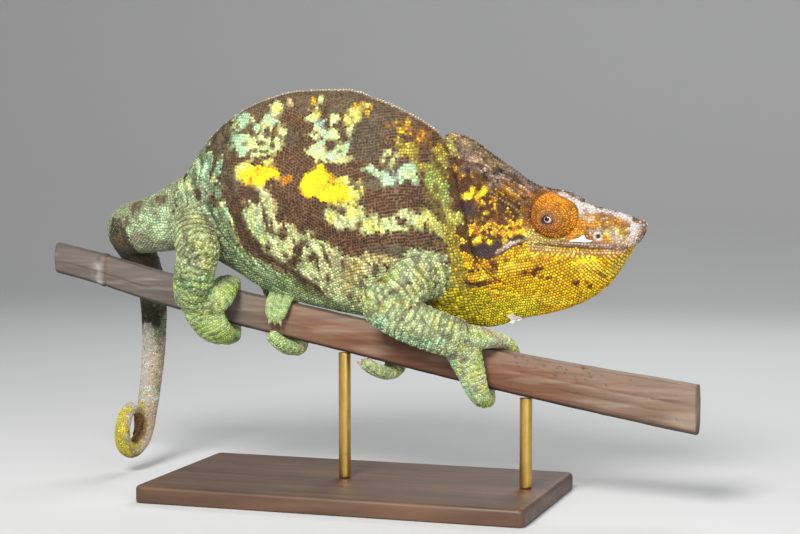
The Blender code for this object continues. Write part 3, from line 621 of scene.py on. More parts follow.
CANTHUS = [(105.0, 176.0), (112.0, 175.2), (119.0, 173.2), (126.0, 169.6), (133.0, 166.0), (140.0, 164.0), (148.0, 162.2), (156.0, 158.8), (161.0, 155.6)]
LIP_LOWER = [(159.0, 141.5), (152.0, 140.8), (143.0, 141.2), (130.0, 141.4), (118.0, 142.0), (106.0, 143.4), (97.0, 142.4)]
LIP_UPPER = [(161.0, 148.6), (152.0, 146.2), (143.0, 146.2), (130.0, 146.6), (118.0, 147.4), (108.0, 148.6)]
JAW_FOLD = [(60.0, 125.0), (70.0, 122.4), (80.0, 121.4), (92.0, 119.8), (104.0, 118.4)]
NOSTRIL = (139.8, 150.6)

head_share = shares[:, 1]
on_head = step(head_share, 0.25, 0.7)
# the lower jaw's tip sits back from the snout's
skin_co[:, 0] -= 1.7 * on_head * step(skin_co[:, 0], 136, 156) * step(-skin_co[:, 2], -145.6, -142.4)
x, y, z = skin_co.T
push = np.zeros(len(skin_co))

# the head's rear edge stands over the neck
far, side, share = line_distance(x, z, HEAD_REAR)
behind = side < 0
fade = step(1 - share, 0.02, 0.3)
near_neck = step(-(x - 20), -70, 0)
push -= 2.0 * fade * np.where(behind, np.exp(-((far / 5.0) ** 2)), 0) * step(np.abs(y), 2.0, 6.0)
push -= 0.9 * fade * np.exp(-((far / 0.9) ** 2))
push += 0.7 * fade * np.where(behind, 0, np.exp(-(((far - 2.2) / 1.8) ** 2)))

far, _, share = line_distance(x, z, MOUTH)
push -= 0.8 * on_head * np.exp(-((far / 0.75) ** 2)) * step(1 - share, 0, 0.08)
for line, high, wide in ((LIP_LOWER, 0.45, 1.3), (LIP_UPPER, 0.4, 1.2), (MOUTH_RIDGE, 1.0, 1.1), (LATERAL_CREST, 1.15, 1.3), (CANTHUS, 1.1, 1.9), (CASQUE_EDGE, 0.5, 1.4)):
    far, _, share = line_distance(x, z, line)
    push += high * on_head * np.exp(-((far / wide) ** 2)) * ends_fade(share, 0.08, 0.08)
far, _, share = line_distance(x, z, JAW_FOLD)
push -= 0.8 * np.exp(-((far / 1.3) ** 2)) * ends_fade(share, 0.2, 0.2) * step(np.abs(y), 4, 10)

# cheek falls in under the lateral crest; the jaw's muscle stands out below it
push -= 0.9 * on_head * np.exp(-((x - 84) / 11) ** 2 - ((z - 158) / 11) ** 2) * step(np.abs(y), 5, 12)
push += 0.8 * on_head * np.exp(-((x - 88) / 12) ** 2 - ((z - 132) / 8) ** 2) * step(np.abs(y), 8, 14)
# ridges along the casque's sloping top, and its growth lines
ridge = (x - 60) * 0.575 + (z - 205) * 0.818
push += on_head * 0.32 * np.sin(ridge * 2 * math.pi / 3.1) * step(ridge, -14, -6) * step(-x, -112, -98) * step(z, 172, 180)
push += on_head * 0.7 * np.exp(-((y / 1.6) ** 2)) * step(z, 160, 168) * step(-x, -150, -120)
# warts over the snout, the paired knobs at its tip
snout = on_head * step(x, 126, 140) * step(z, 143, 150)
push += snout * 0.55 * (noise(skin_co, 3.0, 5, 2) - 0.45)
for sign in (-1, 1):
    push += on_head * 1.5 * np.exp(-(((x - 161.5) / 2.6) ** 2 + ((y - sign * 3.6) / 2.0) ** 2 + ((z - 156.0) / 2.8) ** 2))
push -= on_head * 0.8 * np.exp(-((y / 1.3) ** 2)) * step(x, 156, 160) * step(z, 150, 154)
# nostrils: a pit in a low rim
hole = np.hypot(x - NOSTRIL[0], z - NOSTRIL[1])
push += on_head * (0.55 * np.exp(-(((hole - 1.9) / 0.8) ** 2)) - 1.6 * np.exp(-((hole / 0.95) ** 2)))
# the hollow ring round each eye turret
def brow_cut(angle, r):
    """The brow lies over the turret's upper front edge: how far in its rim is drawn there."""
    off = (angle - 1.13 + math.pi) % (2 * math.pi) - math.pi
    return 1 - 0.19 * np.exp(-((off / 0.56) ** 2)) * step(r, 6.0, 12.0)


def round_the_eye(rel, axis):
    """Distance from the turret's axis in units of its own outline."""
    ex = unit(np.array([1.0, 0, 0]) - axis * axis[0])
    ez = unit(np.array([0, 0, 1.0]) - axis * axis[2])
    wide = np.hypot(rel @ ex, rel @ ez)
    return wide / brow_cut(np.arctan2(rel @ ez, rel @ ex), wide)


eye_axes = {}
for sign in (-1, 1):
    centre = np.array([EYE_AT[0], sign * EYE_AT[1], EYE_AT[2]])
    out = unit([EYE_OUT[0], sign * EYE_OUT[1], EYE_OUT[2]])
    eye_axes[sign] = (centre, out)
    rel = skin_co - centre
    high = rel @ out
    wide = round_the_eye(rel, out)
    here = (high > -8) & (on_head > 0.2)
    push -= np.where(here, 0.45 * np.exp(-(((wide - EYE_RADIUS + 0.2) / 0.7) ** 2)), 0)
    push += np.where(here, 1.5 * np.exp(-(((wide - EYE_RADIUS - 1.2) / 1.9) ** 2)), 0)
    behind = step(centre[0] - skin_co[:, 0], 2, 9) * step(skin_co[:, 2] - centre[2], -12, -6)
    push += np.where(here, 0.55 * behind * np.exp(-(((wide - EYE_RADIUS - 4.7) / 0.9) ** 2)), 0)
    push -= np.where(here, 0.35 * np.exp(-(((wide - EYE_RADIUS - 3.0) / 0.5) ** 2)), 0)
far, _, share = line_distance(x, z, [(109.0, 176.4), (114.5, 176.2), (119.5, 174.2), (124.0, 171.2), (127.5, 168.6)])
push += on_head * 2.7 * np.exp(-((far / 1.7) ** 2)) * step(np.abs(y), 4.5, 7.5) * step(-np.abs(y), -13.5, -11)
for sign in (-1, 1):
    centre, out = eye_axes[sign]
    rel = skin_co - centre
    high = rel @ out
    wide = round_the_eye(rel, out)
    here = (high > -8) & (on_head > 0.2)
    push -= np.where(here & (wide < EYE_RADIUS - 2.2), 1.2, 0)

# the back's keel, a line of low points from neck to tail
body_share = shares[:, 0]
push += 0.55 * np.exp(-((y / 1.5) ** 2)) * step(normals[:, 2], 0.3, 0.8) * np.clip(body_share + shares[:, 2] * (x > -150), 0, 1)

# folds of loose skin: in the groin, behind the arm and over the neck
FOLDS = [
    [(-86.0, 166.0), (-79.0, 156.0), (-72.5, 143.0), (-66.0, 133.0), (-57.0, 124.0)],
    [(-82.5, 168.0), (-75.0, 156.5), (-68.8, 144.0), (-62.0, 134.5), (-52.0, 125.0)],
    [(-79.0, 170.0), (-72.2, 158.0), (-65.8, 146.0), (-59.0, 137.0), (-49.0, 128.5)],
    [(0.0, 138.0), (8.0, 128.0), (14.0, 120.0)],
    [(4.0, 142.0), (13.0, 133.0), (21.0, 127.0)],
    [(28.0, 146.0), (35.0, 143.5), (44.0, 142.5), (54.0, 145.0)],
    [(49.0, 178.0), (56.0, 166.0), (62.0, 152.0), (66.0, 138.0)],
    [(44.0, 170.0), (52.0, 158.0), (59.0, 147.0), (63.5, 134.0)],
]
for line in FOLDS:
    far, _, share = line_distance(x, z, line)
    push -= 0.5 * body_share * np.exp(-((far / 0.8) ** 2)) * ends_fade(share, 0.2, 0.2) * step(np.abs(y), 6, 12)
    push += 0.3 * body_share * np.exp(-(((far - 2.0) / 1.1) ** 2)) * ends_fade(share, 0.2, 0.2) * step(np.abs(y), 6, 12)

# fine creases of dry skin: lengthwise on the casque, upright on neck and flanks, slanting in the groin
push -= 0.26 * on_head * creases(skin_co, 3.4, 211, -36, 4.0) * step(ridge, -16, -8) * step(-x, -116, -104)
push -= 0.22 * on_head * creases(skin_co, 4.0, 212, 10, 1.3) * step(-ridge, 6, 14)
flank = body_share * step(np.abs(y), 3, 9)
push -= 0.16 * flank * creases(skin_co, 4.6, 213, 78, 2.2)
push -= 0.40 * flank * creases(skin_co, 4.2, 214, 66, 3.2) * step(x, 28, 46)
push -= 0.38 * flank * creases(skin_co, 4.0, 215, -52, 3.2) * step(-x, 46, 66) * step(-z, -176, -150)
push -= 0.34 * flank * creases(skin_co, 3.8, 216, 40, 2.6) * step(x, -14, 2) * step(-z, -146, -132)
push -= 0.20 * flank * creases(skin_co, 4.4, 217, -24, 3.0) * step(-z, -132, -118)
push -= 0.20 * shares[:, 2] * creases(skin_co, 3.8, 218, 70, 2.0) * step(z, 50, 60)

# wrinkles ring the limbs, deepest at knees, elbows and wrists
# the crease lines are kept too: painted shade darkens the skin and its scales along them
wrinkle_shade = np.zeros(len(skin_co))
for n, name in enumerate(loft_names):
    if "leg" not in name and "foot" not in name:
        continue
    mine = owner == n
    if not mine.any():
        continue
    length = along[mine].max()
    wave = along[mine] + 5.0 * (noise(skin_co[mine], 10.0, 3 + n, 2) - 0.5) + 0.7 * (noise(skin_co[mine], 3.2, 33 + n, 2) - 0.5)
    if "leg" in name:
        deep = 0.30 + 0.22 * np.exp(-(((length - along[mine]) / 9.0) ** 2)) + 0.16 * np.exp(-((along[mine] / 9.0) ** 2))
        pitch = 3.7
    else:
        deep = 0.20 * step(-along[mine], -length * 0.7, -length * 0.35) + 0.06
        pitch = 3.2
    crease = np.abs(np.sin(wave * math.pi / pitch)) ** 0.6
    wrinkle_shade[mine] = np.clip((0.88 - crease) / 0.62, 0, 1)
    uneven = 0.35 + 1.5 * step(noise(skin_co[mine], 6.5, 63 + n, 2), 0.32, 0.68)
    wrinkle_shade[mine] *= np.clip(0.35 + 0.65 * uneven, 0, 1) * (0.46 if "foot" in name else 0.84 if "fore" in name else 1.0)
    slant = creases(skin_co[mine], 3.6, 93 + n, 50, 1.6)
    wrinkle_shade[mine] = np.maximum(wrinkle_shade[mine], 0.7 * slant * ("leg" in name))
    push[mine] += 1.3 * (crease - 0.75) * deep * uneven
    push[mine] -= 0.30 * creases(skin_co[mine], 3.6, 93 + n, 50, 1.6) * ("leg" in name)

# toes: grooves between them over the bundle's far half
for name, (path, toes, sign) in bundle_paths.items():
    n = loft_names.index(name)
    mine = np.where(owner == n)[0]
    fine = catmull(path, 90)
    t = unit(np.gradient(fine[:, :3], axis=0))
    rel = skin_co[mine][:, None, :] - fine[None, :, :3]
    k = np.argmin(np.einsum("ijk,ijk->ij", rel, rel), axis=1)
    row, way = fine[k], t[k]
    centres = np.stack([row[:, 0], np.zeros(len(k)), smooth(CANE, row[:, 0])[:, 0] - smooth(CANE, row[:, 0])[:, 1] / 2], 1)
    out = row[:, :3] - centres
    out = unit(out - way * np.einsum("ij,ij->i", out, way)[:, None])
    side = np.cross(way, out)
    across = np.einsum("ij,ij->i", skin_co[mine] - row[:, :3], side) / row[:, 3]
    outer = step(np.einsum("ij,ij->i", normals[mine], out), -0.1, 0.5)
    reach = step(k / 89.0, 0.34, 0.72)
    for g in range(1, toes):
        at = -0.92 + 1.84 * g / toes
        push[mine] -= 0.95 * reach * outer * np.exp(-(((across - at) / 0.13) ** 2))

skin_co = skin_co + normals * push[:, None]


# ---------------------------------------------------------------- the cane's own shape
def cane_outline(x, count):
    """Rounded section points (y, z) about the cane's middle at x, evenly spread round it."""
    section = np.array(CANE_SECTION + CANE_SECTION[:1], float)
    gone = np.concatenate([[0], np.cumsum(np.linalg.norm(np.diff(section, axis=0) * [7.5, 22.0], axis=1))])
    want = np.linspace(0, gone[-1], count, endpoint=False)
    across, share = (np.interp(want, gone, section[:, c]) for c in (0, 1))
    for _ in range(max(1, count // 48)):
        across = 0.25 * np.roll(across, 1) + 0.5 * across + 0.25 * np.roll(across, -1)
        share = 0.25 * np.roll(share, 1) + 0.5 * share + 0.25 * np.roll(share, -1)
    top, tall, deep = cane_at(x)
    return across * deep, (share - 0.5) * tall, top - tall / 2


ANGLES = np.linspace(-math.pi, math.pi, 181)
outline_y, outline_z, _ = cane_outline(0.0, 144)
top0, tall0, deep0 = cane_at(0.0)
turn = np.arctan2(outline_z / tall0, outline_y / deep0)
order = np.argsort(turn)
far_out = np.hypot(outline_z / tall0, outline_y / deep0)[order]
turn = turn[order]


def cane_clearance(p):
    """How far outside the cane each point lies (mm, roughly), and the outline's reach at the point's angle divided by
    the point's own reach, in the section's proportions.
    """
    got = smooth(CANE, p[:, 0])
    dy = p[:, 1] / got[:, 2]
    dz = (p[:, 2] - got[:, 0] + got[:, 1] / 2) / got[:, 1]
    a = np.arctan2(dz, dy)
    limit = np.interp(a, np.concatenate([turn - 2 * math.pi, turn, turn + 2 * math.pi]), np.tile(far_out, 3))
    r = np.hypot(dy, dz)
    real = np.hypot(p[:, 1], dz * got[:, 1])
    return real * (1 - limit / np.maximum(r, 1e-6)), limit / np.maximum(r, 1e-6)


inside, scale = cane_clearance(skin_co)
want_out = 0.30
feet_here = (shares[:, 3] + shares[:, 4]) > 0.3
middle_z = smooth(CANE, skin_co[:, 0])[:, 0] - smooth(CANE, skin_co[:, 0])[:, 1] / 2
real = np.maximum(np.hypot(skin_co[:, 1], skin_co[:, 2] - middle_z), 1e-6)
move = np.where(inside < want_out, want_out - inside, 0)
skin_co[:, 1] += move * skin_co[:, 1] / real
skin_co[:, 2] += move * (skin_co[:, 2] - middle_z) / real
for _ in range(2):
    skin_co = skin_co + 0.22 * (averaged(skin_co) - skin_co)
normals = skin_normals(skin_co)

print("skin", len(skin_co), "vertices")

# ---------------------------------------------------------------- colours, each as (scale, other scale, net)
COLOURS = {
    "brown": ((74, 49, 29), (56, 38, 22), (146, 112, 82)),
    "saddle": ((90, 72, 50), (68, 54, 38), (140, 118, 94)),
    "umber": ((74, 64, 46), (94, 82, 60), (124, 110, 84)),
    "umber_dark": ((60, 50, 36), (76, 64, 46), (122, 104, 78)),
    "stripe": ((74, 54, 36), (56, 42, 29), (104, 84, 62)),
    "red_brown": ((106, 68, 34), (86, 56, 30), (138, 102, 60)),
    "flank": ((218, 226, 160), (200, 212, 156), (172, 164, 114)),
    "belly": ((130, 152, 106), (156, 176, 124), (88, 96, 66)),
    "mint": ((168, 212, 170), (192, 224, 172), (124, 144, 110)),
    "mint_dull": ((160, 184, 144), (178, 202, 152), (110, 120, 90)),
    "ice": ((158, 190, 168), (146, 174, 152), (108, 122, 102)),
    "pale_green": ((214, 228, 148), (192, 220, 150), (168, 172, 108)),
    "green": ((170, 188, 84), (152, 172, 84), (108, 112, 54)),
    "yellow": ((250, 226, 26), (252, 206, 24), (222, 178, 34)),
    "lemon": ((230, 224, 104), (222, 220, 120), (170, 158, 74)),
    "peach": ((236, 214, 160), (226, 196, 140), (176, 150, 100)),
    "orange": ((214, 146, 36), (188, 118, 30), (120, 80, 32)),
    "gold": ((236, 186, 34), (220, 160, 30), (120, 78, 28)),
    "neck": ((186, 174, 54), (156, 144, 54), (100, 82, 34)),
    "neck_brown": ((104, 86, 38), (90, 72, 36), (138, 118, 58)),
    "throat": ((214, 176, 22), (192, 150, 20), (92, 66, 14)),
    "throat_green": ((200, 184, 30), (176, 160, 30), (92, 80, 20)),
    "throat_orange": ((206, 154, 24), (174, 120, 24), (84, 54, 14)),
    "throat_pale": ((222, 192, 52), (212, 180, 58), (122, 92, 28)),
    # brown specks, and painted shade in the nostrils and in the fold below the jaw
    "speck_and_shade": ((96, 54, 26), (76, 44, 26), (70, 44, 24)),
    "cheek": ((64, 38, 20), (92, 56, 26), (44, 30, 22)),
    "cheek_orange": ((166, 104, 28), (130, 80, 24), (74, 46, 20)),
    "plum": ((70, 52, 50), (54, 42, 42), (42, 34, 32)),
    "casque": ((150, 122, 98), (120, 94, 74), (96, 74, 58)),
    "casque_tan": ((178, 152, 108), (150, 124, 86), (112, 88, 62)),
    "fleck": ((200, 180, 162), (178, 156, 140), (146, 120, 106)),
    "tan": ((204, 186, 102), (180, 156, 78), (120, 96, 56)),
    "tan_flank": ((214, 200, 134), (192, 180, 116), (160, 146, 98)),
    "crest": ((186, 176, 150), (160, 148, 122), (138, 124, 100)),
    "rust": ((186, 116, 34), (156, 96, 32), (104, 64, 28)),
    "rust_brown": ((146, 94, 42), (122, 78, 38), (82, 54, 30)),
    "lid": ((160, 108, 66), (138, 90, 54), (84, 56, 36)),
    "white": ((208, 197, 194), (194, 182, 180), (176, 164, 158)),
    "snout": ((162, 114, 56), (136, 92, 46), (98, 70, 40)),
    "snout_grey": ((192, 172, 156), (172, 150, 134), (138, 114, 98)),
    "lip": ((172, 144, 124), (150, 122, 104), (122, 96, 80)),
    "lip_row": ((210, 176, 96), (180, 134, 72), (112, 76, 42)),
    "chin": ((190, 144, 66), (196, 168, 84), (110, 82, 38)),
    "chin_pale": ((204, 184, 88), (188, 168, 66), (116, 94, 40)),
    "leg": ((190, 204, 148), (166, 184, 132), (142, 146, 106)),
    "leg_pale": ((214, 220, 166), (200, 208, 152), (152, 154, 112)),
    "leg_yellow": ((198, 204, 122), (184, 192, 112), (148, 144, 90)),
    "leg_grey": ((138, 138, 112), (122, 122, 98), (112, 108, 86)),
    "leg_green": ((150, 176, 104), (126, 158, 98), (84, 100, 64)),
    "leg_tan": ((194, 186, 126), (174, 164, 110), (140, 128, 88)),
    "teal": ((148, 190, 152), (166, 200, 158), (108, 130, 102)),
    "teal_dark": ((98, 118, 86), (80, 98, 72), (70, 78, 58)),
    "slate": ((112, 110, 108), (132, 127, 122), (92, 86, 84)),
    "tail_grey": ((126, 136, 104), (144, 154, 118), (98, 100, 78)),
    "tail_white": ((184, 181, 170), (172, 168, 158), (166, 161, 151)),
    "tail_tan": ((170, 158, 134), (158, 145, 120), (156, 144, 122)),
    "tail_pink": ((184, 166, 144), (172, 154, 134), (168, 150, 132)),
    "tail_shade": ((74, 68, 48), (60, 56, 42), (54, 48, 38)),
    "coil": ((196, 182, 66), (176, 162, 58), (142, 126, 52)),
    "coil_dark": ((140, 104, 62), (112, 78, 52), (86, 60, 44)),
}
COLOURS = {k: np.array(v, float) for k, v in COLOURS.items()}


def linear(c):
    c = np.clip(np.asarray(c, float) / 255, 0, 1)
    return np.where(c <= 0.04045, c / 12.92, ((c + 0.055) / 1.055) ** 2.4)


def reach_to(x, z, shape):
    """Signed distance in mm to a blob (x, z, half widths) or a line of (x, z, half width)."""
    if not isinstance(shape[0], tuple):
        cx, cz, rx, rz = shape
        k = np.hypot((x - cx) / rx, (z - cz) / rz)
        return (k - 1) * np.where(k > 1, max(rx, rz) * 0.6 + min(rx, rz) * 0.4, min(rx, rz))
    best = np.full(len(x), 1e9)
    for (ax, az, aw), (bx, bz, bw) in zip(shape[:-1], shape[1:]):
        dx, dz = bx - ax, bz - az
        t = np.clip(((x - ax) * dx + (z - az) * dz) / (dx * dx + dz * dz), 0, 1)
        best = np.minimum(best, np.hypot(x - ax - t * dx, z - az - t * dz) - aw - t * (bw - aw))
    return best


def extent(shape):
    if not isinstance(shape[0], tuple):
        cx, cz, rx, rz = shape
        return cx - rx, cx + rx, cz - rz, cz + rz
    s = np.array(shape)
    return (s[:, 0] - s[:, 2]).min(), (s[:, 0] + s[:, 2]).max(), (s[:, 1] - s[:, 2]).min(), (s[:, 1] + s[:, 2]).max()


class Paint:
    """Colours laid over points: crisply, scale by scale, or softly for the skin between them."""

    def __init__(self, p, crisp, dither, base, plane):
        self.p, self.crisp, self.dither = p, crisp, dither
        self.x = p[:, 0] + (plane - np.abs(p[:, 1])) * (349 - p[:, 0]) / 996 if plane else p[:, 0]
        self.z = p[:, 2] + (plane - np.abs(p[:, 1])) * (204 - p[:, 2]) / 996 if plane else p[:, 2]
        self.big = (noise(p, 7.0, 41, 2) - 0.5) * 2
        self.small = (noise(p, 2.6, 42, 2) - 0.5) * 2 + (noise(p, 1.7, 43, 1) - 0.5) * 2.0
        high = step(p[:, 2], 160, 176)
        self.small += 3.6 * (high * brushed(p, 2.4, 44, 54) + (1 - high) * brushed(p, 2.4, 45, -66))
        self.rough = 1 - 0.42 * step(noise(p, 1.9, 57, 2, (0.8, 1, 1.2)), 0.60, 0.72)
        self.col = np.repeat(COLOURS[base][None], len(p), 0)

    def lay(self, name, mask, at=None):
        at = np.arange(len(self.p)) if at is None else at
        if self.crisp:
            mask = mask * self.rough[at]
            mask = np.clip((mask - 0.5 - 0.32 * (self.dither[at] - 0.5)) * 1.5 + 0.5, 0, 1)
        self.col[at] += mask[:, None, None] * (COLOURS[name] - self.col[at])

    def shapes(self, name, wobble, shapes, soft=None, fill=1.0):
        soft = soft or 1.0 + 1.1 * wobble
        for shape in shapes:
            x0, x1, z0, z1 = extent(shape)
            m = 4 + 4 * wobble
            at = np.where((self.x > x0 - m) & (self.x < x1 + m) & (self.z > z0 - m) & (self.z < z1 + m))[0]
            if len(at) == 0:
                continue
            d = reach_to(self.x[at], self.z[at], shape) + wobble * (2.0 * self.big[at] + 1.3 * self.small[at])
            self.lay(name, fill * step(-d, -soft, soft), at)


